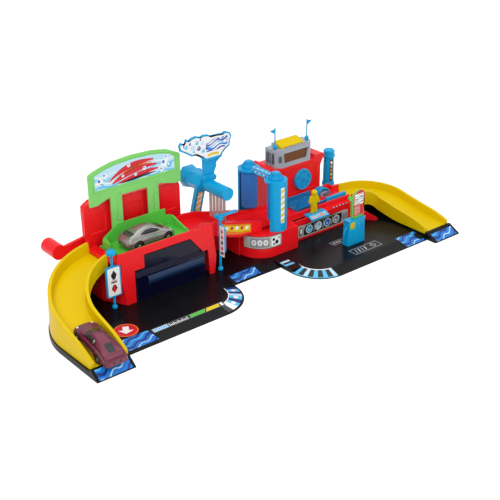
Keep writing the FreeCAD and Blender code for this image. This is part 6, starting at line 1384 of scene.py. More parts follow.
def grown(base: Mesh, tree: NodeTree, values: Mapping[str, Any]) -> Mesh:
    """Runs a tree on a mesh once and gives the result as a plain mesh.

    Args:
        base: The mesh that it starts from.
        tree: The tree.
        values: Its inputs by label.

    Returns:
        The finished mesh.
    """
    holder = bpy.data.objects.new(base.name, base)
    bpy.context.scene.collection.objects.link(holder)
    modifier = holder.modifiers.new(tree.name, "NODES")
    modifier.node_group = tree
    for item in tree.interface.items_tree:
        if item.in_out == "INPUT" and item.name in values:
            modifier[item.identifier] = values[item.name]
    holder.data.update()
    graph = bpy.context.evaluated_depsgraph_get()
    made = bpy.data.meshes.new_from_object(holder.evaluated_get(graph))
    holder.modifiers.remove(modifier)
    bpy.data.objects.remove(holder)
    return made


@dataclass(frozen=True)
class Run:
    """A row or ring of small blocks or drums, in layout millimetres and degrees.

    Attributes:
        count: How many there are.
        size: Size of each along its own axes.
        place: Where the row starts, or the ring's middle.
        step: Way from one to the next.
        twist: Turn from one to the next, about the ring's middle.
        reach: Where the first stands, seen from the ring's middle.
        lean: How each is turned in itself.
        turn: How the whole run is turned.
        drum: Whether each is a drum and not a block.
    """

    count: int
    size: Triple
    place: Triple
    step: Triple = (0, 0, 0)
    twist: Triple = (0, 0, 0)
    reach: Triple = (0, 0, 0)
    lean: Triple = (0, 0, 0)
    turn: Triple = (0, 0, 0)
    drum: bool = False

    def values(self, finish: Look) -> dict[str, Any]:
        """Gives the tree's inputs."""
        lengths = {"Size": self.size, "Step": self.step, "Reach": self.reach}
        angles = {"Twist": self.twist, "Lean": self.lean, "Turn": self.turn}
        return {
            "Count": self.count, "Drum": self.drum, "Place": tuple(at(*self.place)),
            "Finish": material_of(finish),
            **{label: tuple(v * MM for v in way) for label, way in lengths.items()},
            **{label: tuple(math.radians(v) for v in turn) for label, turn in angles.items()},
        }


def joined(tag: Tag, meshes: Iterable[Mesh], smooth: bool = False) -> Object:
    """Joins finished meshes into one piece that rides on a body.

    Args:
        tag: The piece's name, finish and carrier.
        meshes: Its parts.
        smooth: Whether it is shaded as one round surface.

    Returns:
        The piece.
    """
    whole = bmesh.new()
    for part in meshes:
        whole.from_mesh(part)
        bpy.data.meshes.remove(part)
    bmesh.ops.recalc_face_normals(whole, faces=whole.faces)
    return piece_from(whole, tag, smooth=smooth)


def set_out(tag: Tag, *runs: Run) -> Object:
    """Makes one piece of rows and rings of small shapes.

    Args:
        tag: The piece's name, finish and carrier.
        runs: The rows and rings.

    Returns:
        The piece.
    """
    parts = [
        grown(bpy.data.meshes.new(tag.name), set_out_tree(), run.values(tag.finish)) for run in runs
    ]
    return joined(tag, parts)


def beaded(tag: Tag, radius: float, *paths: Sequence[Vector], closed: bool = True) -> Object:
    """Makes one piece of round beads along paths.

    Args:
        tag: The piece's name, finish and carrier.
        radius: The bead's radius, in millimetres.
        paths: The points of each path, in the row frame.
        closed: Whether the paths run back to their starts.

    Returns:
        The piece.
    """
    parts = []
    values = {"Radius": radius * MM, "Sides": BEAD_SIDES, "Finish": material_of(tag.finish)}
    for points in paths:
        base = bpy.data.meshes.new(tag.name)
        count = len(points)
        edges = [(i, (i + 1) % count) for i in range(count if closed else count - 1)]
        base.from_pydata([tuple(p) for p in points], edges, [])
        parts.append(grown(base, bead_tree(), values))
    return joined(tag, parts, smooth=True)


# Cars


def along(knots: Sequence[Pair], x: float) -> float:
    """Gives the height of a smooth line through knots, at x.

    Args:
        knots: Its knots, in order of x.
        x: The place.

    Returns:
        The height.
    """
    if x <= knots[0][0]:
        return knots[0][1]
    if x >= knots[-1][0]:
        return knots[-1][1]
    place = next(i for i in range(len(knots) - 1) if x <= knots[i + 1][0])
    (x0, y0), (x1, y1) = knots[place], knots[place + 1]
    before, after = knots[max(0, place - 1)], knots[min(len(knots) - 1, place + 2)]
    span = x1 - x0
    rise0 = (y1 - before[1]) / (x1 - before[0]) * span
    rise1 = (after[1] - y0) / (after[0] - x0) * span
    t = (x - x0) / span
    return (
        (2 * t**3 - 3 * t**2 + 1) * y0 + (t**3 - 2 * t**2 + t) * rise0
        + (3 * t**2 - 2 * t**3) * y1 + (t**3 - t**2) * rise1
    )


@dataclass
class Car:
    """A small die-cast car's painted shell with its windows, lamps, trim and wheel faces.

    The shell's sections change smoothly along the car's own X axis, which points to its nose. Its
    origin lies on the ground between the wheels, and the lengths are millimetres.

    Attributes:
        name: The car's body, and first part of the pieces' names.
        spot: Layout point of the car's origin.
        turn: The car's turn, from its own axes to the layout's.
        paint: Finish of the shell.
        slot: The record's slot of the paint.
        width: (x, half width) knots.
        sill: (x, lower edge) knots.
        belt: (x, waistline) knots.
        roof: (x, top on the centre line) knots.
        inset: (x, step from the flank in to the glass) knots.
        square: (x, squareness of the upper section) knots.
        axles: Places of the front and the rear axle.
        wheel: Radius of the wheels.
        arch: Radius of the wheel arches.
        skin: Thickness of the shell's ends.
    """

    name: str
    spot: Triple
    turn: Matrix
    paint: Finish
    slot: str
    width: tuple[Pair, ...]
    sill: tuple[Pair, ...]
    belt: tuple[Pair, ...]
    roof: tuple[Pair, ...]
    inset: tuple[Pair, ...]
    square: tuple[Pair, ...]
    axles: Pair = (20.75, -20.75)
    wheel: float = 5.5
    arch: float = 6.9
    skin: float = 1.2

    LOWER_STEPS = (0, 0.05, 0.14, 0.28, 0.45, 0.62, 0.78, 0.9, 1)
    UPPER_STEPS = (0, 0.03, 0.08, 0.14, 0.21, 0.29, 0.38, 0.47, 0.56, 0.66, 0.76, 0.87, 1)
    STATION_MM = 0.8
    INNER_WIDTH, INNER_HEIGHT = 0.91, 0.86
    CREASE_DEGREES = 32
    WHEEL_FACE_MM = 14.15

    def world(self, x: float, y: float, z: float) -> Vector:
        """Gives a point of the car in the row frame."""
        return at(*(Vector(self.spot) + self.turn @ Vector((x, y, z))))

    def edge(self, x: float) -> float:
        """Gives the shell's lower edge, which rises over the wheels."""
        low = along(self.sill, x)
        for axle in self.axles:
            reach = self.arch**2 - (x - axle) ** 2
            if reach > 0:
                low = max(low, self.wheel + math.sqrt(reach))
        return low

    def flank(self, x: float, z: float) -> float:
        """Gives the flank's half width at a level below the waistline."""
        low, belt = along(self.sill, x), along(self.belt, x)
        rise = min(1.0, max(0.0, (z - low) / max(0.5, belt - low)))
        tuck = 1.3 * max(0.0, 0.25 - rise) / 0.25
        return along(self.width, x) - tuck**1.5 * 0.9 - 0.9 * rise**5

    def upper(self, x: float, t: float) -> Pair:
        """Gives the upper section's half width and level, from the waistline (0) to the top (1)."""
        power = 2 / along(self.square, x)
        belt, top = along(self.belt, x), along(self.roof, x)
        start = self.flank(x, belt) - along(self.inset, x)
        angle = t * math.pi / 2
        rise = (top - belt) * math.sin(angle) ** power
        return start * max(0.0, math.cos(angle)) ** power, belt + rise

    def half_section(self, x: float) -> list[Pair]:
        """Gives half a section, from the lower edge up to the top's middle."""
        low, belt = self.edge(x), along(self.belt, x)
        levels = [low + (belt - low) * share for share in self.LOWER_STEPS]
        lower = [(self.flank(x, z), z) for z in levels]
        return lower + [self.upper(x, t) for t in self.UPPER_STEPS]

    def stations(self) -> list[float]:
        """Gives the places of the sections, closer together at the ends and the arches."""
        tail, nose = self.width[0][0], self.width[-1][0]
        count = int((nose - tail) / self.STATION_MM)
        places = [tail + (nose - tail) * i / count for i in range(count + 1)]
        places += [tail + 0.15, tail + 0.4, nose - 0.15, nose - 0.4]
        places += [
            axle + side * (self.arch + shift)
            for axle in self.axles for side in (-1, 1) for shift in (0, -0.01, -0.12, -0.35)
        ]
        return sorted({round(p, 3) for p in places})

    def shell(self) -> None:
        """Builds the painted shell, a closed skin with an inner wall, in place of the CAD body."""
        mesh = bmesh.new()
        tail, nose = self.width[0][0], self.width[-1][0]
        rings: list[tuple[list[BMVert], list[BMVert]]] = []
        for x in self.stations():
            half = self.half_section(x)
            outline = half + [(-y, z) for y, z in reversed(half[:-1])]
            low = half[0][1]
            inner_x = min(nose - self.skin, max(tail + self.skin, x))
            wide, tall = self.INNER_WIDTH, self.INNER_HEIGHT
            inner = [(y * wide, low + (z - low) * tall) for y, z in outline]
            rings.append((
                [mesh.verts.new(self.world(x, *spot)) for spot in outline],
                [mesh.verts.new(self.world(inner_x, *spot)) for spot in inner],
            ))
        last = len(rings[0][0]) - 1
        for (outer, inner), (outer_next, inner_next) in zip(rings, rings[1:]):
            for j in range(last):
                mesh.faces.new([outer[j], outer[j + 1], outer_next[j + 1], outer_next[j]])
                mesh.faces.new([inner[j], inner_next[j], inner_next[j + 1], inner[j + 1]])
            for j in (0, last):
                mesh.faces.new([outer[j], outer_next[j], inner_next[j], inner[j]])
        for ring in (rings[0], rings[-1]):
            for loop in ring:
                for j in range(last // 2):
                    corners = [loop[j], loop[j + 1], loop[last - j - 1], loop[last - j]]
                    mesh.faces.new(list(dict.fromkeys(corners)))
            mesh.faces.new([ring[0][0], ring[0][last], ring[1][last], ring[1][0]])
        bmesh.ops.remove_doubles(mesh, verts=mesh.verts, dist=1e-7)
        bmesh.ops.recalc_face_normals(mesh, faces=mesh.faces)
        for face in mesh.faces:
            face.smooth = True
        sharp = math.radians(self.CREASE_DEGREES)
        for edge in mesh.edges:
            if len(edge.link_faces) == 2 and edge.calc_face_angle(0) > sharp:
                edge.smooth = False
        piece = piece_from(mesh, Tag(self.name + "_shell", self.slot, self.paint, self.name))
        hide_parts(self.name + "_body", self.name + "_windows")

    def print_on(self, name: str, surface: Surface, *areas: Area) -> None:
        """Lays glass, lamps or prints on the shell.

        Args:
            name: Last part of the piece's name.
            surface: The face of the shell that they lie on.
            areas: Outline, finish and layer of each.
        """
        tag = Tag(self.name + "_" + name, "car_glass", body=self.name)
        Sticker(tag, surface).areas(*areas).build()

    def spokes(self, count: int) -> None:
        """Sets the chromed spokes and hubs out on every wheel's face."""
        turn = tuple(math.degrees(a) for a in self.turn.to_euler())
        colour = self.name.split("_")[0]
        for end, x in zip(("front", "rear"), self.axles):
            runs = []
            for side in (-1, 1):
                way = self.turn @ Vector((x, side * self.WHEEL_FACE_MM, self.wheel))
                spot = tuple(Vector(self.spot) + way)
                runs += [
                    Run(count, (0.62, 0.5, 2.5), spot, twist=(0, 360 / count, 0),
                        reach=(0, 0, 1.75), turn=turn),
                    Run(1, (1.9, 1.9, 0.9), spot, lean=(90, 0, 0), turn=turn, drum=True),
                ]
            body = f"{colour}_{end}_wheels"
            set_out(Tag(f"{self.name}_{end}_spokes", "car_wheels", Finish.CHROME, body), *runs)


@dataclass(frozen=True)
class CarSide:
    """One flank and side window plane of a car; u runs along the car and v is the level."""

    car: Car
    side: float
    folds: tuple[float, ...] = tuple(2 + 0.7 * i for i in range(30))
    cuts: tuple[float, ...] = tuple(-35 + 1.4 * i for i in range(51))

    def reach(self, x: float, z: float) -> float:
        """Gives the shell's half width at a level."""
        belt, top = along(self.car.belt, x), along(self.car.roof, x)
        if z <= belt:
            return self.car.flank(x, z)
        share = min(1.0, (z - belt) / max(0.2, top - belt))
        t = math.asin(share ** (along(self.car.square, x) / 2)) / (math.pi / 2)
        return self.car.upper(x, t)[0]

    def point(self, u: float, v: float, h: float) -> Vector:
        """Gives a point h outside the shell."""
        slope = (self.reach(u, v + 0.05) - self.reach(u, v - 0.05)) / 0.1
        run = (self.reach(u + 0.05, v) - self.reach(u - 0.05, v)) / 0.1
        out = Vector((-run, 1, -slope)).normalized() * h
        return self.car.world(u + out.x, self.side * (self.reach(u, v) + out.y), v + out.z)


@dataclass(frozen=True)
class CarTop:
    """The upper skin of a car, seen from above; u runs along the car and v across it."""

    car: Car
    folds: tuple[float, ...] = tuple(-12.6 + 1.4 * i for i in range(19))
    cuts: tuple[float, ...] = tuple(-36 + 1.2 * i for i in range(61))

    def level(self, x: float, y: float) -> float:
        """Gives the shell's level above a point."""
        belt, top = along(self.car.belt, x), along(self.car.roof, x)
        start = self.car.flank(x, belt) - along(self.car.inset, x)
        share = min(1.0, abs(y) / start)
        angle = math.acos(share ** (along(self.car.square, x) / 2))
        return belt + (top - belt) * math.sin(angle) ** (2 / along(self.car.square, x))

    def point(self, u: float, v: float, h: float) -> Vector:
        """Gives a point h above the shell."""
        lean = (self.level(u + 0.05, v) - self.level(u - 0.05, v)) / 0.1
        roll = (self.level(u, v + 0.05) - self.level(u, v - 0.05)) / 0.1
        out = Vector((-lean, -roll, 1)).normalized() * h
        return self.car.world(u + out.x, v + out.y, self.level(u, v) + out.z)


def mirrored(outline: Sequence[Pair]) -> list[Pair]:
    """Gives an outline's mirror image across the car's middle."""
    return [(u, -v) for u, v in reversed(outline)]


def silver_car() -> Car:
    """Gives the silver coupe: round all over, with a fastback tail."""
    return Car(
        "silver_car", (-85, 60, 66), Matrix.Identity(3), Finish.SILVER, "silver_paint",
        width=(
            (-36, 9), (-35.4, 10.6), (-33.6, 12.6), (-29, 14), (-20.75, 14.6), (-8, 14),
            (5, 14), (19, 14.6), (27, 13.8), (31.4, 11.6), (33.6, 8.8), (34.4, 6.8),
        ),
        sill=((-36, 5.6), (-33, 4), (-28, 3.2), (28, 3.2), (32, 3.6), (34.4, 4.4)),
        belt=(
            (-36, 9.6), (-33, 13.2), (-28, 15), (-10, 14.4), (5, 13.6), (20.75, 13.2), (29, 10.4),
            (34.4, 6),
        ),
        roof=(
            (-36, 10.6), (-34.6, 14), (-31, 17.2), (-26, 19.6), (-18, 22.6), (-9, 24.2), (-1, 24.2),
            (6, 22.6), (14, 18.8), (20.75, 16), (28, 12.4), (34.4, 6.6),
        ),
        inset=((-36, 0.3), (-28, 0.5), (-14, 1.7), (6, 1.9), (16, 0.9), (34.4, 0.3)),
        square=((-36, 2.8), (-26, 2.5), (-8, 2.3), (8, 2.4), (18, 2.7), (34.4, 2.8)),
    )


def purple_car() -> Car:
    """Gives the purple coupe: low, with a long deck and a squared tail."""
    tilt = Matrix.Rotation(math.radians(13.29), 3, "X") @ Matrix.Rotation(math.radians(90), 3, "Z")
    return Car(
        "purple_car", (-220.5, -38, 15.6), tilt, Finish.PURPLE, "purple_paint",
        width=(
            (-38, 12.4), (-37, 13.6), (-33, 14.3), (-20.75, 14.6), (-5, 14.1), (8, 14),
            (19.5, 14.5), (26, 14), (30.5, 12.4), (33.4, 9.8), (34.4, 7.6),
        ),
        sill=((-38, 5.4), (-35, 4.2), (-28, 3.2), (29, 3.2), (34.4, 4.4)),
        belt=(
            (-38, 12), (-35.6, 13.6), (-21, 14.4), (-1, 13.2), (13, 12.2), (21.5, 11.2), (28, 9.6),
            (34.4, 6.2),
        ),
        roof=(
            (-38, 12.8), (-36.8, 15.2), (-33, 16.4), (-25, 17.4), (-16, 20), (-7, 21.8), (0, 22),
            (7, 20), (13.5, 16.6), (20.5, 14.2), (27, 12.2), (31.5, 10.4), (34.4, 7),
        ),
        inset=((-38, 0.4), (-27, 0.8), (-16, 2.6), (4, 2.8), (14, 1.4), (34.4, 0.4)),
        square=((-38, 5), (-27, 4.2), (-13, 2.9), (4, 2.7), (16, 2.8), (34.4, 2.8)),
    )


@dataclass
class Cars:
    """The two cars with everything on them."""

    silver: Car = field(default_factory=silver_car)
    purple: Car = field(default_factory=purple_car)

    SIDES = ((1, -1), (2, 1))

    def dress_silver(self) -> None:
        """Builds the silver car's shell, glass, lamps, prints and wheel faces."""
        car, glass = self.silver, Finish.CAR_GLASS
        car.shell()
        window = [
            (-18, 17.8), (-9, 16.2), (5, 15.6), (11, 16.6), (8, 18.8), (0, 21.3),
            (-8, 21.2), (-14, 19.7),
        ]
        wave = [(-10 + i, 11.2 + 0.7 * math.sin(i * 0.6)) for i in range(21)]
        crest = [(x, z + 1.7 * math.sin(math.pi * (i + 1) / 22)) for i, (x, z) in enumerate(wave)]
        for number, way in self.SIDES:
            side = CarSide(car, way)
            car.print_on(f"side_glass_{number}", side, (window, glass, 0))
            car.print_on(f"door_print_{number}", side, (wave + crest[::-1], Ink.JADE, 0))
        rear = [(-30.4, -6.8), (-24, -8.8), (-24, 8.8), (-30.4, 6.8)]
        front = [
            (9.4, -7.4), (17.4, -9.8), (18.6, -5), (19, 0), (18.6, 5), (17.4, 9.8), (9.4, 7.4),
            (8.6, 0),
        ]
        lamp = [(25.2, 9), (29.6, 7.8), (30.6, 9.6), (26.8, 11.4)]
        car.print_on(
            "top_glass", CarTop(car),
            (rear, glass, 0), (front, glass, 0),
            (lamp, Ink.WHITE, 0), (mirrored(lamp), Ink.WHITE, 0),
            *[(oblong(-29.5 + 1.4 * i, -6.8, 0.4, 13.6), car.paint, 1) for i in range(4)],
            (disc(22, -6.6, 1.7), Ink.JADE, 0), (disc(22, -6.6, 0.9), Ink.WHITE, 1),
        )
        tail = Flat((-85 - 36, 60 + 9, 66 + 5.6), (0, -1, 0), (0, 0, 1))
        car.print_on(
            "tail_lamps", tail,
            *[(oblong(left, 0.7, 4.4, 2.2), glass, 0) for left in (0.4, 13.2)],
            *[(oblong(left, 1.1, 2.2, 1.3), Ink.RED, 1) for left in (1, 14.8)],
        )
        car.spokes(6)

    def dress_purple(self) -> None:
        """Builds the purple car's shell, glass, lamps, chrome and wheel faces."""
        car, glass, chrome = self.purple, Finish.CAR_GLASS, Finish.CHROME
        car.shell()
        window = [
            (-12, 16), (-5, 14.9), (7, 14.1), (12, 14.2), (9.4, 16.8), (3, 19.4),
            (-4, 19.8), (-9, 18.3),
        ]
        pillar = [(-6.4, 15.1), (-4.4, 14.9), (-5.4, 19.6), (-6.6, 19.2)]
        line = [(-12, 6.4), (13, 5.4), (13, 6.5), (-12, 8)]
        vent = [(-13.6, 9.4), (-8.6, 9), (-7.4, 11.4), (-12.6, 12.2)]
        for number, way in self.SIDES:
            side = CarSide(car, way)
            car.print_on(f"side_glass_{number}", side, (window, glass, 0), (pillar, chrome, 1))
            car.print_on(f"sill_trim_{number}", side, (line, chrome, 0), (vent, glass, 0))
        front = [
            (5.6, -6.8), (12.6, -9.6), (13.6, -4), (14, 0), (13.6, 4), (12.6, 9.6), (5.6, 6.8),
            (5, 0),
        ]
        lamp = [(26.4, 8.8), (29.4, 7.4), (30.2, 9.2), (27.4, 10.8)]
        top = CarTop(car)
        car.print_on(
            "top_glass", top,
            (rounded(-28.8, -4.4, 12.4, 8.8, 1.8), glass, 0), (front, glass, 0),
            (lamp, Ink.WHITE, 0), (mirrored(lamp), Ink.WHITE, 0),
            *[(oblong(-26.8 + 2.1 * i, -3.4, 0.4, 6.8), Ink.SMOKE, 1) for i in range(5)],
        )
        deck, steps = ((-36, -10.6), (-36, 10.6), (-31, 10.6), (-31, -10.6)), 12
        rim = [
            top.point(xa + (xb - xa) * i / steps, ya + (yb - ya) * i / steps, 0)
            for (xa, ya), (xb, yb) in zip(deck, [*deck[1:], deck[0]]) for i in range(steps)
        ]
        beaded(Tag("purple_car_deck_rim", car.slot, car.paint, car.name), 0.42, rim)
        corner = Vector(car.spot) + car.turn @ Vector((-38, 12.2, 6))
        across, up = car.turn @ Vector((0, -1, 0)), car.turn @ Vector((0, 0, 1))
        car.print_on(
            "tail_lamps", Flat(tuple(corner), tuple(across), tuple(up)),
            *[(rounded(left, 2.6, 8.6, 2.4, 0.8), glass, 0) for left in (0.8, 15)],
            *[(rounded(left, 3.2, 5, 1.2, 0.5), Ink.RED, 1) for left in (1.6, 17.8)],
        )
        car.spokes(5)

    def build(self) -> None:
        """Builds both cars."""
        self.dress_silver()
        self.dress_purple()


# Moulded details


def drawn(
    tag: Tag, near: Sequence[Vector], far: Sequence[Vector], crease: float | None = None
) -> Object:
    """Makes a closed prism between two outlines of as many corners.

    Args:
        tag: The piece's name, finish and carrier.
        near: The corners at the first end, in the row frame.
        far: The corners at the other end.
        crease: Angle in degrees above which its edges stay sharp, if its sides are shaded round.

    Returns:
        The piece.
    """
    mesh = bmesh.new()
    first = [mesh.verts.new(p) for p in near]
    other = [mesh.verts.new(p) for p in far]
    mesh.faces.new(first)
    mesh.faces.new(list(reversed(other)))
    count = len(first)
    for i in range(count):
        mesh.faces.new([first[i], other[i], other[(i + 1) % count], first[(i + 1) % count]])
    bmesh.ops.recalc_face_normals(mesh, faces=mesh.faces)
    if crease is not None:
        for face in mesh.faces:
            face.smooth = len(face.verts) == 4
        for edge in mesh.edges:
            if edge.calc_face_angle(0) > math.radians(crease):
                edge.smooth = False
    return piece_from(mesh, tag)


def extruded(
    tag: Tag, outline: Sequence[Pair], low: float, high: float, along_x: bool = False,
    crease: float | None = None,
) -> Object:
    """Makes a piece from an outline that is drawn out along Y or X.

    Args:
        tag: The piece's name, finish and carrier.
        outline: Its corners: (x, z), or (y, z) if it runs along X.
        low: Where it starts.
        high: Where it ends.
        along_x: Whether it runs along X and not along Y.
        crease: Angle in degrees above which its edges stay sharp, if its sides are shaded round.

    Returns:
        The piece.
    """
    near, far = (
        [at(place, a, z) if along_x else at(a, place, z) for a, z in outline]
        for place in (low, high)
    )
    return drawn(tag, near, far, crease)


def screws(name: str, xs: Pair, start: Pair, rise: float, count: int, width: float) -> None:
    """Sets two columns of zinc-plated screw heads out on a rear cover.

    Args:
        name: The piece's name.
        xs: Layout X of the columns.
        start: Layout Y and Z of the lowest screws.
        rise: Distance from screw to screw.
        count: Number of screws in a column.
        width: Width of a head.
    """
    set_out(Tag(name, "screw_steel", Finish.STEEL), *[
        Run(count, (width, width, 0.9), (x, *start), step=(0, 0, rise), lean=(90, 0, 0), drum=True)
        for x in xs
    ])


@dataclass
class GarageTrim:
    """Raised rims of the lift's sign and struts, the tank's round ledge and the rear screws.

    Attributes:
        belly_span: Left and right end of the tank's ledge.
        sign_rim: (x, z) corners of the bead round the sign's print.
        strut_window: Half width, lower and upper end of the bead down each strut.
        strut_xs: Layout X of the two struts.
        screw_xs: Layout X of the two columns of screws.
    """

    belly_span: Pair = (-103, -21)
    sign_rim: tuple[Pair, ...] = (
        (-138.4, 134.2), (-79, 134.2), (-19.6, 134.2), (-19.6, 154), (-28.8, 160.2), (-41.4, 163),
        (-56, 165), (-82, 166), (-109, 164.4), (-123.4, 161.6), (-138.4, 156.6),
    )
    strut_window: Triple = (2.9, 92, 127.5)
    strut_xs: Pair = (-104.5, -51.5)
    screw_xs: Pair = (-137, -19)

    def lift(self) -> None:
        """Lays the raised beads round the sign's print and down its two struts."""
        half, low, high = self.strut_window
        struts = [oblong(x - half, low, half * 2, high - low) for x in self.strut_xs]
        paths = [[at(x, 87.5, z) for x, z in path] for path in (self.sign_rim, *struts)]
        beaded(Tag("lift_sign_rim", "green_abs", Finish.GREEN_PP, "lift"), 0.75, *paths)

    def belly(self) -> None:
        """Builds the tank's round lower ledge, over the straight one."""
        profile = [
            (36.8, 22), (35.2, 23), (33.6, 25.4), (33, 28.4), (33.4, 31), (34.6, 33),
            (36.8, 34.2),
        ]
        # The ledge's lighter navy is a painted highlight on the tank's polycarbonate.
        tag = Tag("tank_round_ledge", "navy_clear", Finish.NAVY_PAINTED_HIGHLIGHT)
        extruded(tag, profile, *self.belly_span, along_x=True, crease=ROUND_CREASE)

    def rear(self) -> None:
        """Sets the cover's screws out in two columns, with dark crosses on their heads that are
        painted shade in the driver slots.
        """
        screws("garage_cover_screws", self.screw_xs, (116.2, 13.5), rise=97, count=2, width=5.2)
        # Charcoal crosses: painted shade in the screws' driver slots.
        set_out(Tag("garage_cover_screw_slot_shade", "screw_steel", Finish.CHASSIS_AND_PAINTED_SHADE), *[
            Run(2, size, (x, 116.7, 13.5), step=(0, 0, 97))
            for x in self.screw_xs for size in ((3.4, 0.2, 0.7), (0.7, 0.2, 3.4))
        ])

    def build(self) -> None:
        """Builds the garage's details."""
        self.lift()
        self.belly()
        self.rear()


@dataclass
class WashTrim:
    """Ribbed domes, the bridge's lattice, the gantry's sleeve and hood, and the painted shade below
    the slider's slot.

    Attributes:
        roller_x: Layout X of both rollers.
        roller_ys: Layout Y of the front and the rear roller.
        fins: Number of fins on each dome.
        bar: Layout X and Z of the gantry's bar.
        bar_radius: Radius of the sleeve over it.
        rib_start: Layout Y of the bridge's first ribs.
        rib_step: Distance from rib to rib.
    """

    roller_x: float = 101.0
    roller_ys: Pair = (37.7, 92.3)
    fins: int = 12
    bar: Pair = (28, 102)
    bar_radius: float = 8.6
    rib_start: float = 52.4
    rib_step: float = 8.4

    def domes(self) -> None:
        """Sets the fins out round both domes and puts their buttons on."""
        runs = []
        for y in self.roller_ys:
            runs += [
                Run(self.fins, (2, 1.5, 8.4), (self.roller_x, y, 110.6),
                    twist=(0, 0, 360 / self.fins), reach=(7.2, 0, 0), lean=(0, -36, 0)),
                Run(1, (10, 10, 3), (self.roller_x, y, 113.6), drum=True),
            ]
        set_out(Tag("dome_fins"), *runs)

    def bridge(self) -> None:
        """Lays the lattice on the bridge: open fields, crossing ribs and two rails."""
        x_side = self.roller_x - 4
        side = Flat((x_side, 82.5, 103.9), (0, -1, 0), (0, 0, 1))
        top = Flat((x_side + 1.1, 82.5, 109.5), (0, -1, 0), (1, 0, 0))
        for name, place, height in (("side", side, 4.8), ("top", top, 5.8)):
            field_shape = oblong(0, 0, 34.5, height)
            Sticker(Tag("bridge_fields_" + name), place).areas((field_shape, Ink.PALE, 0)).build()
        start, step = self.rib_start, (0, self.rib_step, 0)
        set_out(
            Tag("bridge_lattice"),
            *[
                Run(4, (0.9, 1.3, 9.4), (x_side, start, 106.3), step=step, lean=(lean, 0, 0))
                for lean in (54, -54)
            ],
            *[
                Run(4, (9.4, 1.2, 0.9), (self.roller_x, start, 109.6), step=step, lean=(0, 0, lean))
                for lean in (48, -48)
            ],
        )
        rails = ((x_side, 103.4), (x_side, 109.4), (x_side + 8, 109.4))
        paths = [[at(x, y, z) for y in (47, 65, 83)] for x, z in rails]
        beaded(Tag("bridge_rails"), 0.75, *paths, closed=False)

    def hexagon(self, radii: Sequence[float], turns: Sequence[float], y: float) -> list[Vector]:
        """Gives six corners round the gantry's bar, by their radii and angles in degrees."""
        spots = [polar(*self.bar, radius, turn) for radius, turn in zip(radii, turns)]
        return [at(x, y, z) for x, z in spots]

    def gantry(self) -> None:
        """Builds the sleeve over the gantry's bar, its end ring and the hood behind it."""
        far, near = sector(self.bar, 6.8, self.bar_radius, -48, 228)
        extruded(Tag("gantry_sleeve"), far + near[::-1], 46.4, 88.4, crease=ROUND_CREASE)
        rim = disc(*self.bar, self.bar_radius, steps=40)
        extruded(Tag("gantry_end_ring"), rim, 44.5, 46.3, crease=ROUND_CREASE)
        front = self.hexagon((12.8, 14, 14, 12.4, 9.6, 9.6), (0, 60, 120, 180, 236, 304), 88.6)
        back = self.hexagon((15.4, 15.4, 15.4, 15.4, 12.6, 12.6), range(0, 360, 60), 114)
        drawn(Tag("gantry_hood"), front, back)
        foot = [(20.5, 108), (38, 108), (39.6, 112.6), (36.4, 116.6), (23.4, 116.6), (20.5, 113)]
        extruded(Tag("sign_foot_block"), foot, 82.2, 92.6)

    def ledge(self) -> None:
        """Builds a dark sheet below the slider's slot: painted shade that darkens the slot."""
        tag = Tag("slider_under_slot_painted_shade", "black_abs", Finish.CHASSIS_AND_PAINTED_SHADE)
        extruded(tag, oblong(39, 28.6, 7, 0.8), 133, 194, along_x=True)

    def dryer(self) -> None:
        """Sets dark lines out on the grille, painted shade in its openings."""
        shade_lines = Run(5, (0.7, 0.5, 4.4), (218.6, 69.9, 40.8), step=(2.2, 0, 0))
        set_out(Tag("dryer_grille_shade", "grey_abs", Finish.CHASSIS_AND_PAINTED_SHADE), shade_lines)

    def build(self) -> None:
        """Builds the tunnel's details."""
        self.domes()
        self.bridge()
        self.gantry()
        self.ledge()
        self.dryer()


@dataclass
class TowerTrim:
    """The dial's marks, the window's frame and the rear cover's screws.

    Attributes:
        dial: Middle of the dial's face.
        rim_radius: Radius of the bead round it.
        mark_count: Number of its marks.
        screw_xs: Layout X of the rear cover's two columns of screws.
    """

    dial: Triple = (196, 87.6, 65)
    rim_radius: float = 14.0
    mark_count: int = 12
    screw_xs: Pair = (149.5, 223.5)

    def marks(self) -> None:
        """Sets the marks out round the dial, with its hub and its rim."""
        set_out(
            Tag("dial_marks", finish=Finish.BLUE_LINE, body="dial"),
            Run(self.mark_count, (1, 0.5, 2.6), self.dial, twist=(0, 360 / self.mark_count, 0),
                reach=(0, 0, 12.2)),
            Run(1, (5.2, 5.2, 0.9), self.dial, lean=(90, 0, 0), drum=True),
        )
        x, y, z = self.dial
        ring = [at(u, y + 0.1, v) for u, v in disc(x, z, self.rim_radius, steps=48)]
        beaded(Tag("dial_rim", body="dial"), 0.55, ring)

    def window(self) -> None:
        """Lays the bead round the cabin's window and, beside it, dark vent lines that are painted
        shade.
        """
        corners = ((160, 95.2), (207, 95.2), (207, 110.9), (183.5, 111.6), (160, 110.9))
        frame = [at(x, 90, z) for x, z in corners]
        beaded(Tag("cabin_window_frame", "grey_abs", Finish.GREY_ABS), 0.7, frame)
        # Charcoal blocks: painted shade in the cabin's vent slots.
        set_out(
            Tag("cabin_vent_shade", "grey_abs", Finish.CHASSIS_AND_PAINTED_SHADE),
            Run(6, (0.35, 1.5, 15), (147.9, 96, 104), step=(0, 2.9, 0)),
            Run(3, (0.9, 0.35, 9), (152.6, 90, 103.4), step=(2, 0, 0)),
        )

    def rear(self) -> None:
        """Sets the tower cover's screws out in two columns, and between them dark vent strips that
        are painted shade.
        """
        screws("tower_cover_screws", self.screw_xs, (130.8, 12), rise=35, count=3, width=4.6)
        # Charcoal strips: painted shade in the cover's vent slots.
        vent_shade_strips = Run(9, (2.2, 0.3, 26), (166, 130.6, 60), step=(5.2, 0, 0))
        set_out(Tag("tower_cover_vent_shade", "red_abs", Finish.CHASSIS_AND_PAINTED_SHADE), vent_shade_strips)

    def build(self) -> None:
        """Builds the tower's details."""
        self.marks()
        self.window()
        self.rear()


# The studio


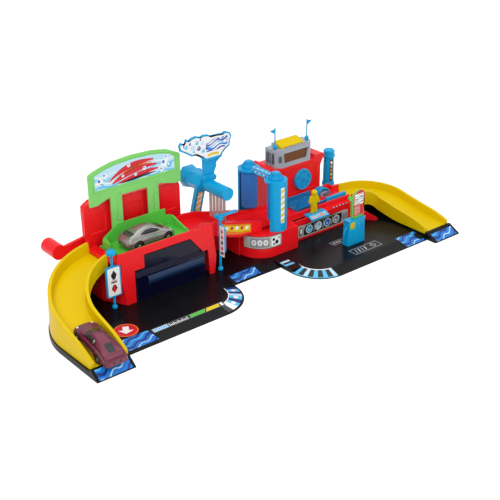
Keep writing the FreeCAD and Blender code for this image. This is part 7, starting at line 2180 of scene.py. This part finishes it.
@dataclass
class Studio:
    """Camera, floor and soft lights.

    Attributes:
        spot: The camera's place in the layout frame, in millimetres.
        azimuth: Its direction round the toy, in degrees.
        elevation: Its height over the horizon, in degrees.
        roll: Its turn about its own axis, in degrees.
        focal_pixels: Focal length in pixels.
        frame_pixels: Width of the frame that it is measured in.
        lamps: Name, place, size and power of each soft box, in metres and watts.
    """

    spot: Triple = (-675.17, -850.76, 579.36)
    azimuth: float = -39.5
    elevation: float = 26.0
    roll: float = -0.4
    focal_pixels: float = 985.0
    frame_pixels: float = 500.0
    lamps: tuple[tuple[str, Triple, float, float], ...] = (
        ("key", (-1.2, -1.0, 1.15), 1.1, 16.5),
        ("fill", (1.2, -0.9, 0.9), 1.2, 6.0),
        ("top", (0.1, 0.3, 1.7), 1.6, 11.0),
    )

    WHITE = (1.0, 1.0, 1.0, 1.0)
    PAPER = (0.9, 0.9, 0.9, 1.0)
    PAPER_GLOW = 0.42
    SEEN_LIGHT, HIDDEN_LIGHT = 1.0, 0.5
    FLOOR_HALF_M, FLOOR_LEVEL_M = 6.0, -0.0003

    def camera(self) -> None:
        """Sets the camera at the photo's place and angle."""
        a, e, r = (math.radians(v) for v in (self.azimuth, self.elevation, self.roll))
        back = Vector((math.sin(a) * math.cos(e), -math.cos(a) * math.cos(e), math.sin(e)))
        across = Vector((math.cos(a), math.sin(a), 0.0))
        right = across * math.cos(r) + back.cross(across) * math.sin(r)
        axes = Matrix((right, back.cross(right), back)).transposed().to_4x4()
        data = bpy.data.cameras.new("camera")
        data.sensor_width = 36.0
        data.lens = self.focal_pixels / self.frame_pixels * data.sensor_width
        data.clip_start, data.clip_end = 0.05, 20.0
        camera = bpy.data.objects.new("camera", data)
        bpy.context.scene.collection.objects.link(camera)
        camera.matrix_world = Matrix.Translation(at(*self.spot)) @ axes
        bpy.context.scene.camera = camera

    @staticmethod
    def seen(
        tree: NodeTree, hidden: Node, shown: Node
    ) -> NodeSocket:
        """Shows one shader to the camera, mirrors and glass, and another to all other rays."""
        path = add_node(tree, "ShaderNodeLightPath").outputs
        rays = path["Is Camera Ray"]
        for other in ("Is Glossy Ray", "Is Transmission Ray"):
            pair = {0: rays, 1: path[other]}
            rays = add_node(tree, "ShaderNodeMath", pair, operation="MAXIMUM").outputs[0]
        inputs = {0: rays, 1: hidden.outputs[0], 2: shown.outputs[0]}
        return add_node(tree, "ShaderNodeMixShader", inputs).outputs[0]

    def floor(self) -> None:
        """Lays the pale floor, which keeps the toy's shadow."""
        mesh = bmesh.new()
        bmesh.ops.create_grid(mesh, x_segments=1, y_segments=1, size=self.FLOOR_HALF_M)
        for vert in mesh.verts:
            vert.co.z = self.FLOOR_LEVEL_M
        data = bpy.data.meshes.new("floor")
        mesh.to_mesh(data)
        mesh.free()
        material = bpy.data.materials.new("white_paper_sweep")
        tree = empty_nodes(material)
        paper = add_node(tree, "ShaderNodeBsdfDiffuse", {"Color": self.PAPER})
        glow = add_node(
            tree, "ShaderNodeEmission", {"Color": self.WHITE, "Strength": self.PAPER_GLOW}
        )
        both = add_node(tree, "ShaderNodeAddShader", {0: paper.outputs[0], 1: glow.outputs[0]})
        add_node(tree, "ShaderNodeOutputMaterial", {"Surface": self.seen(tree, paper, both)})
        data.materials.append(material)
        floor = bpy.data.objects.new("floor", data)
        bpy.context.scene.collection.objects.link(floor)

    def world(self) -> None:
        """Makes the white surroundings, which light the toy softly."""
        world = bpy.data.worlds.new("studio")
        bpy.context.scene.world = world
        tree = empty_nodes(world)
        white, soft = (
            add_node(tree, "ShaderNodeBackground", {"Color": self.WHITE, "Strength": strength})
            for strength in (self.SEEN_LIGHT, self.HIDDEN_LIGHT)
        )
        add_node(tree, "ShaderNodeOutputWorld", {"Surface": self.seen(tree, soft, white)})

    def lights(self) -> None:
        """Hangs the soft boxes: a key from the left front, a fill and a top light."""
        for name, spot, size, power in self.lamps:
            data = bpy.data.lights.new(name, "AREA")
            data.shape, data.size, data.energy = "SQUARE", size, power
            lamp = bpy.data.objects.new(name, data)
            bpy.context.scene.collection.objects.link(lamp)
            lamp.location = spot
            lamp.rotation_euler = (-Vector(spot)).to_track_quat("-Z", "Y").to_euler()

    def build(self) -> None:
        """Builds the studio."""
        self.camera()
        self.floor()
        self.world()
        self.lights()
        bpy.context.scene.view_settings.view_transform = "Standard"


def main() -> None:
    """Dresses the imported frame, piece by piece."""
    logging.basicConfig(level=logging.INFO, format="%(name)s: %(message)s")
    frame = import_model()
    dress_nodes(frame["nodes"])
    for group in (
        FloorGraphics(), GarageGraphics(), WashGraphics(), TowerGraphics(),
        GarageTrim(), WashTrim(), TowerTrim(), Cars(), Studio(),
    ):
        group.build()


if __name__ == "__main__":
    main()
